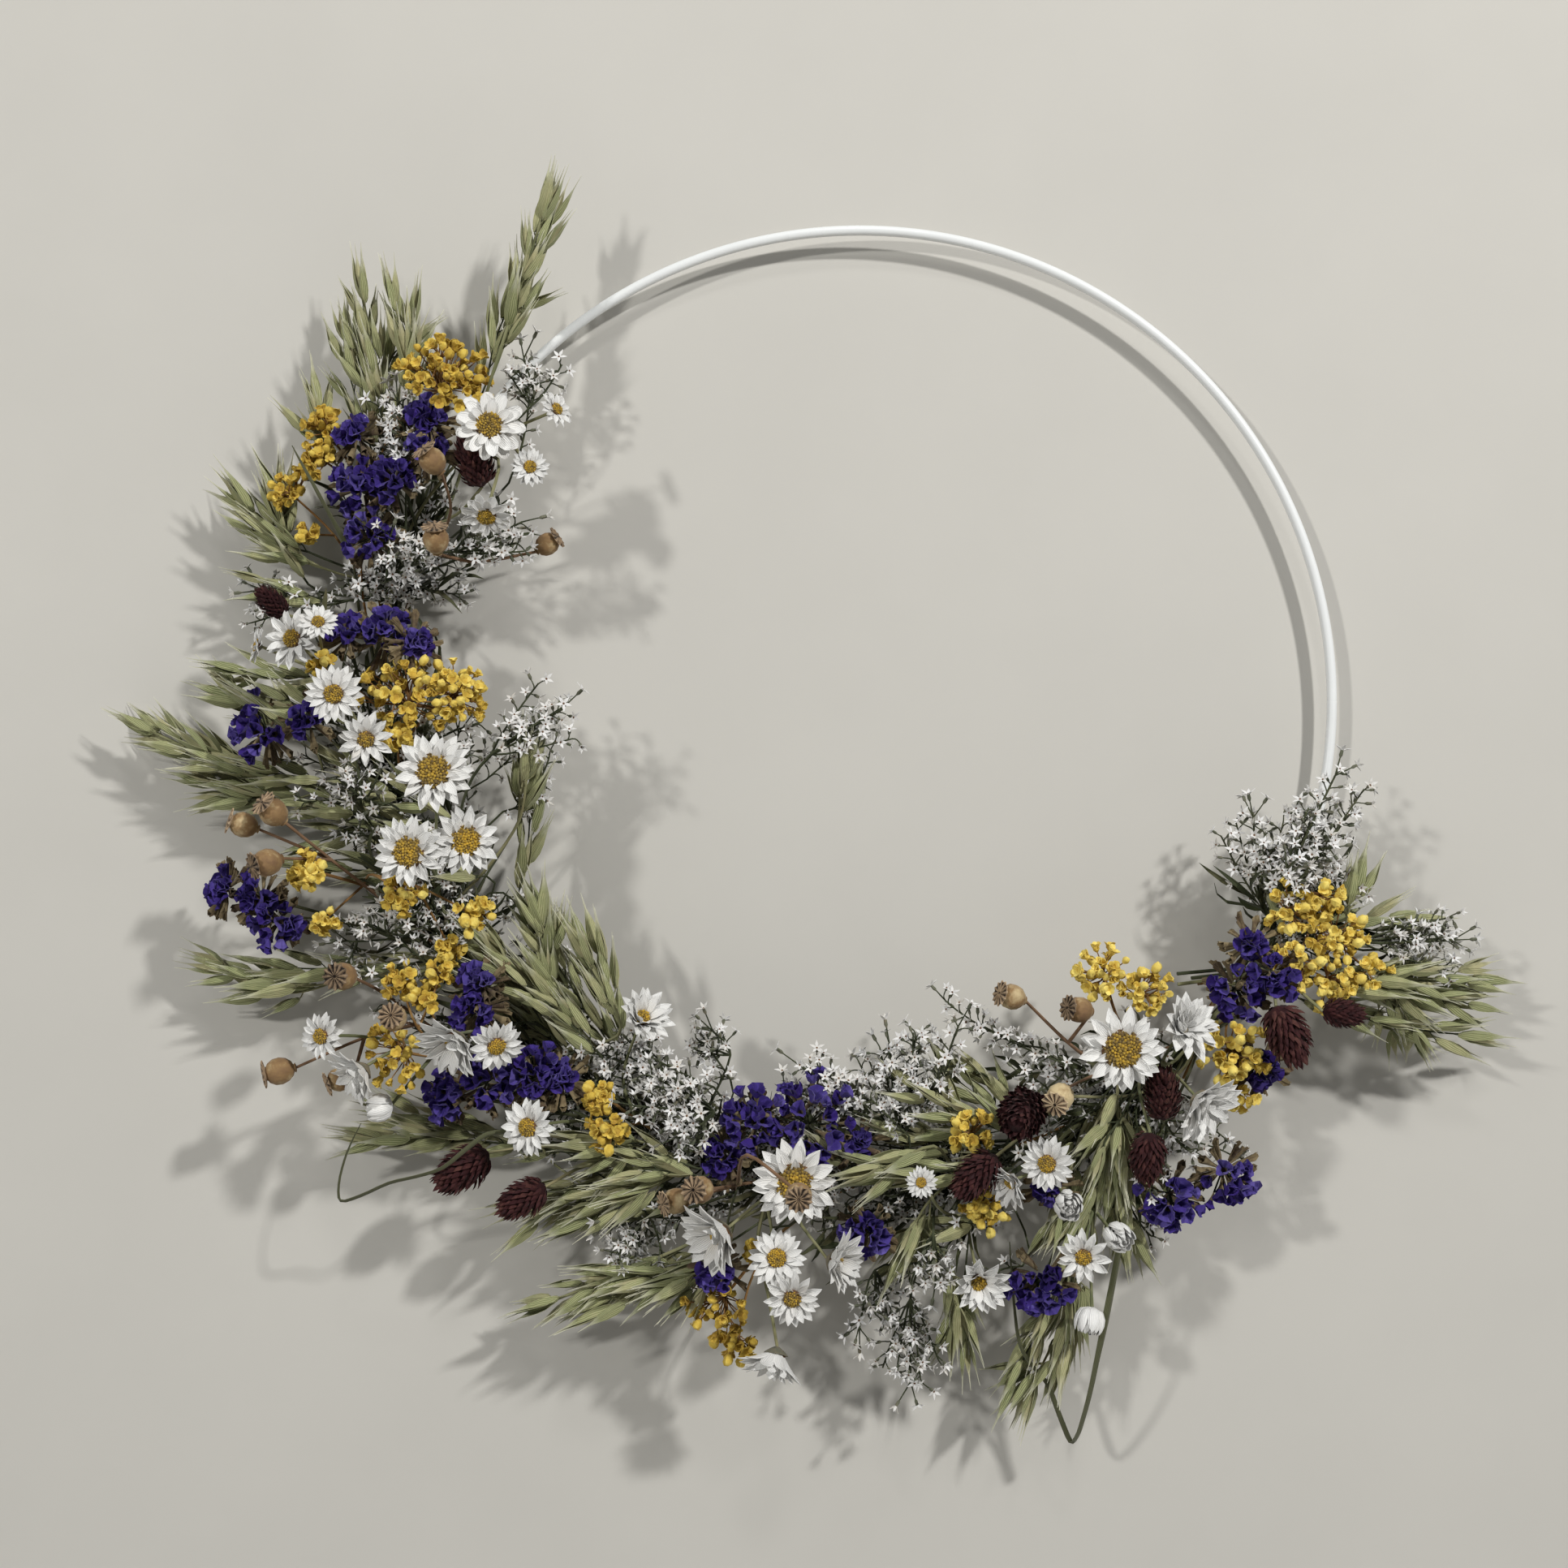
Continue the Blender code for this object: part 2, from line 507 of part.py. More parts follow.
class Plant:
    """One node of the part: a tree of joints that starts at the cut end of its stem."""

    def __init__(self, name, bunch, owner):
        self.name = name
        self.bunch = bunch
        self.owner = owner
        self.root = None
        self.tail = None
        self.open_joints = []
        self.random = random.Random(100 + owner)

    def extend(self, joint, points, radius, room):
        """Grow a run of joints through these points, and keep its room."""
        run = [joint]
        for point in points:
            way = (point - run[-1].place).normalized()
            new = Joint(point, way, radius)
            run[-1].next.append(new)
            run.append(new)
        self.open_joints += run[1:]
        line = [item.place for item in run]
        room.take(self.owner, string_of_beads(line, joint.radius, radius))
        return run[1:]

    def fits(self, room, joint, shape, size, direction, roll):
        if direction.dot(joint.way) < LEAST_ONWARD or crowding(joint, direction) > MOST_ALONGSIDE:
            return False
        beads = moved_beads(frame(joint.place, direction, roll), shape_beads(shape, size))
        return room.clearance(self.owner, beads, [(joint.place, 0.35 * size)]) > GAP

    def attach(self, room, joint, shape, size, direction, roll):
        joint.shapes.append((shape, size, direction, roll))
        room.take(self.owner, moved_beads(frame(joint.place, direction, roll), shape_beads(shape, size)))


def heads_of(name):
    """Middles of the heads of one plant, as places on the wreath."""
    for table in (OATS, STARS, PHALARIS):
        if name in table:
            return [at(*run[1]) for run in table[name][1]]
    if name in BLADES:
        return [at(*BLADES[name][2][0])]
    for table in (YELLOWS, STATICE, DAISIES, POPPIES):
        if name in table:
            return [at(*head[0]) for head in table[name][1]]
    return []


def plant_list():
    """Every plant with its bunch, numbered from 2: the hoop is 0 and the wire is 1."""
    plants = []
    for table in (OATS, STARS, YELLOWS, STATICE, DAISIES, POPPIES, PHALARIS, BLADES):
        for name, row in table.items():
            plants.append(Plant(name, row[0], len(plants) + 2))
    return plants


def slot_order(plants, bunch):
    """Slots at the tie, so that stems fan out to their heads without crossing."""
    centre, outward, along = tie_frame(bunch)
    measured = []
    for plant in plants:
        heads = heads_of(plant.name)
        middle = sum(heads, Vector()) / len(heads) - centre
        lean = math.atan2(middle.dot(outward), middle.dot(along))
        measured.append((middle.dot(TOWARD_VIEWER), lean, plant))
    measured.sort(key=lambda row: row[0])
    slots = {}
    for start in range(0, len(measured), SLOT_COLUMNS):
        row = sorted(measured[start:start + SLOT_COLUMNS], key=lambda item: item[1])
        for column, (_, _, plant) in enumerate(row):
            slots[plant.name] = (column - (len(row) - 1) / 2, start // SLOT_COLUMNS)
    return slots


def lay_main_stem(plant, slot, room):
    """The cut end, the tied stretch and the fork of a plant."""
    centre, outward, along = tie_frame(plant.bunch)
    column, row = slot
    lift = ROD_RADIUS + ROD_TO_STEM + STEM_RADIUS + row * SLOT_PITCH
    place = centre + outward * column * SLOT_PITCH + TOWARD_VIEWER * lift
    spread = outward * column * FAN_PER_COLUMN + TOWARD_VIEWER * (row * FAN_PER_ROW + FAN_FRONT)
    tail_way = (-along + TOWARD_VIEWER * 0.05).normalized()
    back = plant.random.uniform(*CUT_END)
    if plant.bunch == max(BUNCHES):
        tail_way = (toward(-1, 0, 0.12) - along * 0.15).normalized()
        back = plant.random.uniform(*LAST_CUT_END)
    tied = place - along * TIE_HALF
    plant.root = Joint(tied + tail_way * (back - TIE_HALF) + spread * 0.5, -tail_way, STEM_RADIUS)
    points = [tied + tail_way * (TAIL_JOINT - TIE_HALF) + spread * 0.2, tied,
              place + along * TIE_HALF, place + along * TIE_TO_FORK + spread]
    run = plant.extend(plant.root, points, STEM_RADIUS, room)
    plant.tail = run[0]
    plant.open_joints = [run[0], run[-1]]


def bends(direction):
    """Sideways shifts to try for the middle of a branch, smallest first."""
    across = direction.cross(TOWARD_VIEWER).normalized()
    shifts = [Vector()]
    for reach in BEND_REACHES:
        for way in range(BEND_WAYS):
            turn = TWO_PI * way / BEND_WAYS + math.pi / 2
            shifts.append((across * math.cos(turn) + TOWARD_VIEWER * math.sin(turn)) * reach)
    return shifts


def joints_by_cost(plant, target):
    """Joints with room for a branch, the one with the shortest and straightest way first."""
    costs = []
    for number, joint in enumerate(plant.open_joints):
        reach = target - joint.place
        straight = joint.way.dot(reach.normalized())
        if joint.free_ways() < 1 or straight < 0 or reach.length < 3 * MM:
            continue
        cost = reach.length * (1 + 0.4 * (1 - straight))
        if joint is plant.tail:
            cost += TAIL_COST
        costs.append((cost, number, joint))
    costs.sort(key=lambda item: item[:2])
    return [joint for _, _, joint in costs]


def crowding(joint, way):
    """How nearly a new branch would run along what already grows from the joint."""
    return max((way.dot(child) for child in child_ways(joint)), default=-1)


def branch_price(plant, joint, points, radius, room, exempt):
    """Clearance of a branch, less for a sharp turn or for running along another."""
    way = (points[1] - points[0]).normalized()
    clear = room.clearance(plant.owner, string_of_beads(points, radius, radius), exempt)
    clear -= max(0, LEAST_ONWARD - way.dot(joint.way)) * SHARP_TURN_COST
    return clear - max(0, crowding(joint, way) - MOST_ALONGSIDE) * SHARP_TURN_COST


def lay_branch(plant, target, arrive_way, room, radius, pieces=None, joint=None,
               head_room=0.0, lifts=(0,)):
    """A branch from the plant to a place, bent clear of everything else."""
    best = None
    for lift in lifts:
        end = target + TOWARD_VIEWER * lift * MM
        joints = [joint] if joint else joints_by_cost(plant, end)[:4]
        joints = joints or [item for item in plant.open_joints if item.free_ways() > 0][:1]
        for start in joints:
            reach = end - start.place
            count = pieces or math.ceil(reach.length / BRANCH_PIECE)
            count = max(1, min(MOST_BRANCH_PIECES, count))
            leave = start.way * 0.3 * reach.length
            arrive = arrive_way * min(0.35 * reach.length, 14 * MM)
            exempt = [(start.place, 4 * MM), (end, head_room + 2 * MM)]
            for shift in bends(reach.normalized()):
                points = bezier(start.place, start.place + leave + shift, end - arrive + shift,
                                end, count)
                clear = branch_price(plant, start, points, radius, room, exempt)
                if best is None or clear > best[0]:
                    best = (clear, points, start)
                if clear > GAP:
                    return plant.extend(start, points[1:], radius, room)
    _, points, start = best
    return plant.extend(start, points[1:], radius, room)


def lay_blooms(plants, room):
    """Reserve the room of every bloom, moved along the line of sight where it is taken."""
    blooms = []
    for plant in plants:
        rows = [("daisy", row) for row in DAISIES.get(plant.name, (0, []))[1]]
        rows += [("closed_bud", row) for row in CLOSED_BUDS.get(plant.name, [])]
        rows += [("poppy", row) for row in POPPIES.get(plant.name, (0, []))[1]]
        for shape, (place, width, face) in rows:
            size, face = width * MM, toward(*face)
            base = BLOOM_BASE[shape] * size
            best = None
            for more in BLOOM_HEIGHT_TRIES:
                foot = at(place[0], place[1], place[2] + more) - face * base
                beads = moved_beads(frame(foot, face), shape_beads(shape, size))
                clear = room.clearance(plant.owner, beads, [])
                if best is None or clear > best[0]:
                    best = (clear, foot, beads)
                if clear > GAP:
                    break
            room.take(plant.owner, best[2])
            blooms.append((plant, best[1], face, shape, size))
        for foot, top in PHALARIS.get(plant.name, (0, []))[1]:
            for more in BLOOM_HEIGHT_TRIES:
                low = at(foot[0], foot[1], foot[2] + more)
                high = at(top[0], top[1], top[2] + more)
                size = (high - low).length * 1.08
                face = (high - low).normalized()
                beads = moved_beads(frame(low, face), shape_beads("phalaris", size))
                if room.clearance(plant.owner, beads, []) > GAP:
                    break
            room.take(plant.owner, beads)
            blooms.append((plant, low, face, "phalaris", size))
    return blooms


def grow_blooms(plants, room):
    """A stem to each bloom, the bloom at its end."""
    for plant, foot, face, shape, size in lay_blooms(plants, room):
        run = lay_branch(plant, foot, face, room, STEM_RADIUS, head_room=0.6 * size)
        run[-1].shapes.append((shape, size, face, 0.0))
        plant.open_joints.remove(run[-1])


def side_way(axis, roll):
    """Unit vector square to the axis at this roll."""
    across = axis.orthogonal().normalized()
    return across * math.cos(roll) + axis.cross(across) * math.sin(roll)


def hang_repeats(plant, joints, count, room, shape, sizes, openness):
    """Spikelets or stars at the joints of a twig, alternately round it."""
    turn = plant.random.uniform(0, TWO_PI)
    left = count
    for number, joint in enumerate(joints):
        last = joint is joints[-1]
        here = left if last else math.ceil(left / (len(joints) - number))
        here = min(here, joint.free_ways())
        for i in range(here):
            size = plant.random.uniform(*sizes)
            for attempt in range(12):
                roll = turn + 2.1 * number + TWO_PI * i / here + 0.5 * attempt
                wide = openness * (1 - 0.03 * attempt)
                if last and i == 0:
                    wide = 0.3 * openness * plant.random.uniform(0.5, 1.5)
                direction = (joint.way + side_way(joint.way, roll) * wide).normalized()
                if plant.fits(room, joint, shape, size, direction, roll):
                    plant.attach(room, joint, shape, size, direction, roll)
                    left -= 1
                    break


def grow_cluster(plant, joint, targets, room, shape, limit):
    """Buds or florets to their targets, by short twigs that fork up to three ways."""
    if len(targets) <= joint.free_ways():
        for target in targets:
            reach = target - joint.place
            size = min(reach.length, limit)
            direction = reach.normalized()
            for attempt in range(6):
                roll = 0.35 * attempt
                if plant.fits(room, joint, shape, size, direction, roll):
                    plant.attach(room, joint, shape, size, direction, roll)
                    break
                direction = (direction + side_way(direction, 2.4 * attempt) * 0.12).normalized()
        return
    middle = sum(targets, Vector()) / len(targets)
    axis = (middle - joint.place).normalized()
    base = axis.orthogonal().normalized()
    other = axis.cross(base)
    def angle(target):
        reach = target - joint.place
        return math.atan2(reach.dot(other), reach.dot(base))
    ordered = sorted(targets, key=angle)
    ways = min(joint.free_ways(), MOST_CHILDREN if len(ordered) > 4 else 2)
    for part in range(ways):
        group = ordered[part * len(ordered) // ways:(part + 1) * len(ordered) // ways]
        if len(group) == 1:
            grow_cluster(plant, joint, group, room, shape, limit)
            continue
        centre = sum(group, Vector()) / len(group)
        place = joint.place.lerp(centre, 0.42)
        line = [joint.place, place]
        beads = string_of_beads(line, TWIG_RADIUS, TWIG_RADIUS)
        if room.clearance(plant.owner, beads, [(joint.place, 4 * MM)]) < GAP:
            continue
        new = plant.extend(joint, [place], TWIG_RADIUS, room)[0]
        grow_cluster(plant, new, group, room, shape, limit)


def dome_targets(foot, facing, reach, count, randomness):
    """Points over a dome in front of a foot, spread by the golden turn."""
    targets = []
    for i in range(count):
        open_angle = CLUSTER_HALF_ANGLE * math.sqrt((i + 0.5) / count)
        side = side_way(facing, GOLDEN_TURN * i)
        way = facing * math.cos(open_angle) + side * math.sin(open_angle)
        targets.append(foot + way * reach * randomness.uniform(1.05, 1.4))
    return targets


def smooth_through(corners, pieces):
    """A smooth line through hand-read corners."""
    ends = [corners[0] * 2 - corners[1]] + corners + [corners[-1] * 2 - corners[-2]]
    points = [corners[0]]
    for a, b, c, d in zip(ends, ends[1:], ends[2:], ends[3:]):
        for i in range(1, pieces + 1):
            t = i / pieces
            points.append(0.5 * (
                2 * b + (c - a) * t + (2 * a - 5 * b + 4 * c - d) * t * t
                + (3 * b - a - 3 * c + d) * t**3
            ))
    return points


def oval_turn(turn, half_wide, half_high):
    """Across and up on a rounded oblong at this turn."""
    wide = math.copysign(abs(math.cos(turn)) ** 0.5, math.cos(turn)) * half_wide
    high = math.copysign(abs(math.sin(turn)) ** 0.5, math.sin(turn)) * half_high
    return wide, high


def lay_wire(plants, room):
    """One thin wire, wound twice round each tied bunch and run behind the rod between them."""
    path = []
    order = sorted(BUNCHES, key=lambda key: BUNCHES[key][0])
    half_wide = SLOT_PITCH * (SLOT_COLUMNS - 1) / 2 + STEM_RADIUS + WIRE_ROOM
    for key in order:
        degrees, side = BUNCHES[key]
        centre, outward, along = tie_frame(key)
        rows = math.ceil(len([p for p in plants if p.bunch == key]) / SLOT_COLUMNS)
        top = ROD_RADIUS + ROD_TO_STEM + 2 * STEM_RADIUS + (rows - 1) * SLOT_PITCH + WIRE_ROOM
        if path:
            for part in (1 / 3, 2 / 3):
                angle = math.radians(last + (degrees - last) * part)
                place = Vector((math.cos(angle), 0, math.sin(angle))) * HOOP_RADIUS
                path.append(HOOP_CENTRE + place - TOWARD_VIEWER * WIRE_BEHIND)
        last = degrees
        count = WIRE_TURNS * WIRE_TURN_POINTS
        for i in range(count + 1):
            turn = TWO_PI * i / WIRE_TURN_POINTS - math.pi / 2
            wide, high = oval_turn(turn, half_wide, (top + WIRE_BEHIND) / 2)
            step = (i / count - 0.5) * WIRE_TURNS * WIRE_PITCH * side
            lift = (top - WIRE_BEHIND) / 2 + high
            path.append(centre + outward * wide + TOWARD_VIEWER * lift + along * step)
    room.take(1, string_of_beads(path, WIRE_RADIUS, WIRE_RADIUS))
    return path


def lay_out():
    """Every plant's tree, and the wire's path."""
    room = Room()
    circle = [
        HOOP_CENTRE + Vector((math.cos(t), 0, math.sin(t))) * HOOP_RADIUS
        for t in np.linspace(0, TWO_PI, HOOP_SEGMENTS + 1)
    ]
    room.take(0, string_of_beads(circle, ROD_RADIUS, ROD_RADIUS))
    plants = plant_list()
    for bunch in BUNCHES:
        members = [plant for plant in plants if plant.bunch == bunch]
        slots = slot_order(members, bunch)
        for plant in members:
            lay_main_stem(plant, slots[plant.name], room)
    wire = lay_wire(plants, room)
    grow_blooms(plants, room)
    strips = grow_strips(plants, room)
    sprays = grow_sprays(plants, room)
    clusters = grow_cluster_stems(plants, room)
    for plant, joints, count, shape, sizes, openness in sprays:
        hang_repeats(plant, joints, count, room, shape, sizes, openness)
    for plant, joint, targets, shape, limit in clusters:
        grow_cluster(plant, joint, targets, room, shape, limit)
    return plants, wire, strips


def grow_strips(plants, room):
    """Grass blades: a strip through its corners, from a short stalk."""
    strips = {}
    for plant in plants:
        if plant.name in BLADES:
            _, width, corners = BLADES[plant.name]
            line = smooth_through([at(*corner) for corner in corners], 2)
            way = (line[1] - line[0]).normalized()
            run = lay_branch(plant, line[0], way, room, STEM_RADIUS)
            strips[plant.name] = (run[-1], line[1:], width * MM)
            room.take(plant.owner, string_of_beads(line, 0.5 * width * MM, 0.3 * width * MM))
    return strips


def grow_sprays(plants, room):
    """The stems of oats and star sprays, with a twig from the foot of each to its top."""
    sprays = []
    kinds = ((OATS, "spikelet", SPIKELET_SIZES, 0.34), (STARS, "white_star", STAR_SIZES, 0.8))
    for table, shape, sizes, openness in kinds:
        for plant in plants:
            for foot_seen, top_seen, count in table.get(plant.name, (0, []))[1]:
                foot, top = at(*foot_seen), at(*top_seen)
                way = (top - foot).normalized()
                end = top - way * 0.9 * sizes[0]
                pieces = max(1, math.ceil((count - MOST_CHILDREN) / 2))
                near = joints_by_cost(plant, foot)
                onward = near and (foot - near[0].place).normalized().dot(way) > 0
                if onward and (foot - near[0].place).length > SHORT_STEM:
                    start = lay_branch(plant, foot, way, room, TWIG_RADIUS, lifts=LIFTS)[-1]
                    run = lay_branch(plant, end, way, room, TWIG_RADIUS, pieces, start, lifts=LIFTS)
                else:
                    run = lay_branch(plant, end, way, room, TWIG_RADIUS, pieces + 1, lifts=LIFTS)
                joints = run[-pieces - 1:]
                sprays.append((plant, joints, count, shape, sizes, openness))
                plant.open_joints.remove(run[-1])
    return sprays


def grow_cluster_stems(plants, room):
    """The stems of the bud and floret clusters, each to the foot of its dome."""
    clusters = []
    kinds = ((STATICE, "statice_floret", FLORET_LIMIT), (YELLOWS, "yellow_bud", BUD_LIMIT))
    for table, shape, limit in kinds:
        for plant in plants:
            for place, reach, count in table.get(plant.name, (0, []))[1]:
                middle = at(*place)
                near = joints_by_cost(plant, middle) or plant.open_joints
                way = (middle - near[0].place).normalized()
                facing = (way + TOWARD_VIEWER * 0.7).normalized()
                foot = middle - facing * reach * 0.9 * MM
                run = lay_branch(plant, foot, facing, room, TWIG_RADIUS, lifts=LIFTS)
                foot = run[-1].place
                targets = dome_targets(foot, facing, reach * MM, count, plant.random)
                clusters.append((plant, run[-1], targets, shape, limit))
                plant.open_joints.remove(run[-1])
    return clusters


# Growing the mesh of a plant from its tree


def middle_of(points):
    return sum((point.co for point in points), Vector()) / len(points)


def turns_round(points, axis, side):
    """Turn of each point about the axis, counted on from the first."""
    middle = middle_of(points)
    other = axis.cross(side)
    turns = []
    for point in points:
        arm = point.co - middle
        turn = math.atan2(arm.dot(other), arm.dot(side))
        if turns:
            turn = turns[-1] + (turn - turns[-1]) % TWO_PI
        turns.append(turn)
    return turns


def bridge(mesh, low, high, axis):
    """Side faces between two rings of points that run the same way round the axis."""
    if len(high) == 1:
        for i, a in enumerate(low):
            mesh.faces.new((a, low[(i + 1) % len(low)], high[0]))
        return
    side = axis.orthogonal().normalized()
    low_turns = turns_round(low, axis, side)
    first = min(range(len(high)), key=lambda k: abs(math.remainder(
        turns_round(high, axis, side)[k] - low_turns[0], TWO_PI)))
    high = high[first:] + high[:first]
    high_turns = turns_round(high, axis, side)
    shift = math.remainder(high_turns[0] - low_turns[0], TWO_PI) + low_turns[0] - high_turns[0]
    high_turns = [turn + shift for turn in high_turns]
    low_turns.append(low_turns[0] + TWO_PI)
    high_turns.append(high_turns[0] + TWO_PI)
    i = j = 0
    while i < len(low) or j < len(high):
        a, b = low[i % len(low)], high[j % len(high)]
        if j == len(high) or (i < len(low) and low_turns[i + 1] < high_turns[j + 1]):
            mesh.faces.new((a, low[(i + 1) % len(low)], b))
            i += 1
        else:
            mesh.faces.new((a, high[(j + 1) % len(high)], b))
            j += 1


def stem_ring(mesh, place, way, side, radius):
    """Three points round a stem, the first toward the side."""
    side = (side - way * side.dot(way)).normalized()
    other = way.cross(side)
    turns = [TWO_PI * k / STEM_SIDES for k in range(STEM_SIDES)]
    return [mesh.verts.new(place + (side * math.cos(t) + other * math.sin(t)) * radius)
            for t in turns]


def child_ways(joint):
    """Directions in which things grow from a joint."""
    ways = [(item.place - joint.place).normalized() for item in joint.next]
    return ways + [direction for _, _, direction, _ in joint.shapes]


def sectors_for(joint, way, side):
    """Turn of the joint's ring, and the third of it from which each child grows."""
    ways = child_ways(joint)
    side = (side - way * side.dot(way)).normalized()
    other = way.cross(side)
    leans = [(child.dot(side), child.dot(other)) for child in ways]
    best = None
    for step in range(12):
        turn = TWO_PI * step / 36 - math.pi / 6
        for order in itertools.permutations(range(STEM_SIDES), len(ways)):
            score = 0
            for (x, y), sector in zip(leans, order):
                middle = turn + TWO_PI * (sector + 0.5) / STEM_SIDES
                score += x * math.cos(middle) + y * math.sin(middle)
            if best is None or score > best[0] + 1e-9:
                best = (score, turn, order)
    _, turn, order = best
    return side * math.cos(turn) + other * math.sin(turn), order


def grow_shape(mesh, base, joint, shape):
    """A bloom, bud or spikelet out of a base of three points."""
    name, size, direction, roll = shape
    matrix = frame(joint.place, direction, roll)
    low = base
    for level in SHAPES[name](size):
        high = [mesh.verts.new(matrix @ point) for point in level]
        bridge(mesh, low, high, direction)
        low = high


def grow_strip(mesh, base, line, width):
    """A grass blade out of a base of three points."""
    low = base
    for level in strip_rings(line, width):
        high = [mesh.verts.new(point) for point in level]
        axis = (sum((point for point in level), Vector()) / 4 - middle_of(low)).normalized()
        bridge(mesh, low, high, axis)
        low = high
    mesh.faces.new(low)


def strip_rings(points, width):
    """Rings of a grass blade: flat to the viewer, turning a little, tapering to its end."""
    rings = []
    for i, point in enumerate(points):
        axis = (points[min(i + 1, len(points) - 1)] - points[max(i - 1, 0)]).normalized()
        part = i / (len(points) - 1)
        across = axis.cross(TOWARD_VIEWER).normalized()
        turn = 0.5 * math.sin(3 * part)
        wide = (across * math.cos(turn) + across.cross(axis) * math.sin(turn)) * width / 2
        wide *= min(1, 0.45 + 3 * part) * min(1, 0.22 + 2.2 * (1 - part))
        thick = axis.cross(wide).normalized() * BLADE_HALF_THICK
        rings.append([point - wide - thick, point + wide - thick,
                      point + wide + thick, point - wide + thick])
    return rings


def grow_from(mesh, ring_points, joint, way, order, strip):
    """Everything that grows from a joint whose ring is made."""
    children = len(joint.next) + len(joint.shapes)
    is_strip = strip is not None and strip[0] is joint
    if is_strip:
        grow_strip(mesh, ring_points, strip[1], strip[2])
        return
    if children == 0:
        mesh.faces.new(ring_points)
        return
    if children == 1:
        bases = [ring_points]
    else:
        middle = mesh.verts.new(joint.place + way * 0.4 * joint.radius)
        thirds = [(ring_points[k], ring_points[(k + 1) % STEM_SIDES], middle)
                  for k in range(STEM_SIDES)]
        for k in set(range(STEM_SIDES)) - set(order[:children]):
            mesh.faces.new(thirds[k])
        bases = [list(thirds[k]) for k in order[:children]]
    for item, base in zip(joint.next, bases):
        grow_joint(mesh, base, item, strip)
    for shape, base in zip(joint.shapes, bases[len(joint.next):]):
        grow_shape(mesh, base, joint, shape)


def grow_joint(mesh, base, joint, strip):
    """The stretch of stem up to a joint, and what grows from it."""
    ways = child_ways(joint)
    way = joint.way
    if len(joint.next) == 1 and not joint.shapes:
        way = (joint.way + ways[0]).normalized()
    side = base[0].co - middle_of(base)
    order = ()
    if len(ways) > 1:
        side, order = sectors_for(joint, way, side)
    high = stem_ring(mesh, joint.place, way, side, joint.radius)
    bridge(mesh, base, high, joint.way)
    grow_from(mesh, high, joint, way, order, strip)


def plant_mesh(plant, strip):
    """Closed mesh of one plant."""
    mesh = bmesh.new()
    root = plant.root
    base = stem_ring(mesh, root.place, root.way, root.way.orthogonal(), root.radius)
    mesh.faces.new(base)
    grow_joint(mesh, base, root.next[0], strip)
    bmesh.ops.recalc_face_normals(mesh, faces=mesh.faces)
    return mesh


def tube_mesh(points, radius):
    """Closed three-sided tube along a line."""
    mesh = bmesh.new()
    way = (points[1] - points[0]).normalized()
    low = stem_ring(mesh, points[0], way, way.orthogonal(), radius)
    mesh.faces.new(low)
    for i, point in enumerate(points[1:], 1):
        way = (points[min(i + 1, len(points) - 1)] - points[i - 1]).normalized()
        side = low[0].co - middle_of(low)
        high = stem_ring(mesh, point, way, side, radius)
        bridge(mesh, low, high, (point - points[i - 1]).normalized())
        low = high
    mesh.faces.new(low)
    bmesh.ops.recalc_face_normals(mesh, faces=mesh.faces)
    return mesh


def new_object(name, mesh):
    data = bpy.data.meshes.new(name)
    mesh.to_mesh(data)
    mesh.free()
    obj = bpy.data.objects.new(name, data)
    bpy.context.scene.collection.objects.link(obj)
    return obj


COLOURS = {
    "hoop": ("hoop_paint", (0.78, 0.80, 0.79), 0.25, 0.0),
    "binding_wire": ("wire", (0.30, 0.27, 0.22), 0.45, 0.6),
    "oats": ("oat_straw", (0.40, 0.40, 0.25), 0.7, 0.0),
    "stars": ("star_white", (0.70, 0.70, 0.70), 0.8, 0.0),
    "yellow": ("yellow_bud", (0.66, 0.45, 0.10), 0.8, 0.0),
    "statice": ("statice_violet", (0.09, 0.05, 0.28), 0.8, 0.0),
    "daisies": ("daisy_white", (0.80, 0.79, 0.75), 0.6, 0.0),
    "poppies": ("poppy_tan", (0.38, 0.26, 0.15), 0.7, 0.0),
    "phalaris": ("phalaris_burgundy", (0.11, 0.03, 0.04), 0.8, 0.0),
    "grass_blade": ("blade_green", (0.08, 0.10, 0.05), 0.6, 0.0),
}


def paint(obj, kind):
    name, colour, roughness, metallic = COLOURS[kind]
    material = bpy.data.materials.get(name) or bpy.data.materials.new(name)
    material.use_nodes = True
    shader = material.node_tree.nodes["Principled BSDF"]
    shader.inputs["Base Color"].default_value = (*colour, 1)
    shader.inputs["Roughness"].default_value = roughness
    shader.inputs["Metallic"].default_value = metallic
    obj.data.materials.clear()
    obj.data.materials.append(material)


def build_hoop():
    bpy.ops.mesh.primitive_torus_add(
        major_radius=HOOP_RADIUS, minor_radius=ROD_RADIUS,
        major_segments=HOOP_SEGMENTS, minor_segments=HOOP_SIDES,
        location=HOOP_CENTRE, rotation=(math.pi / 2, 0, 0),
    )
    hoop = bpy.context.object
    hoop.name = "hoop"
    bpy.ops.object.transform_apply()
    paint(hoop, "hoop")


def main():
    for obj in list(bpy.data.objects):
        bpy.data.objects.remove(obj)
    plants, wire, strips = lay_out()
    build_hoop()
    paint(new_object("binding_wire", tube_mesh(wire, WIRE_RADIUS)), "binding_wire")
    for plant in plants:
        obj = new_object(plant.name, plant_mesh(plant, strips.get(plant.name)))
        paint(obj, next(kind for kind in COLOURS if plant.name.startswith(kind)))


main()
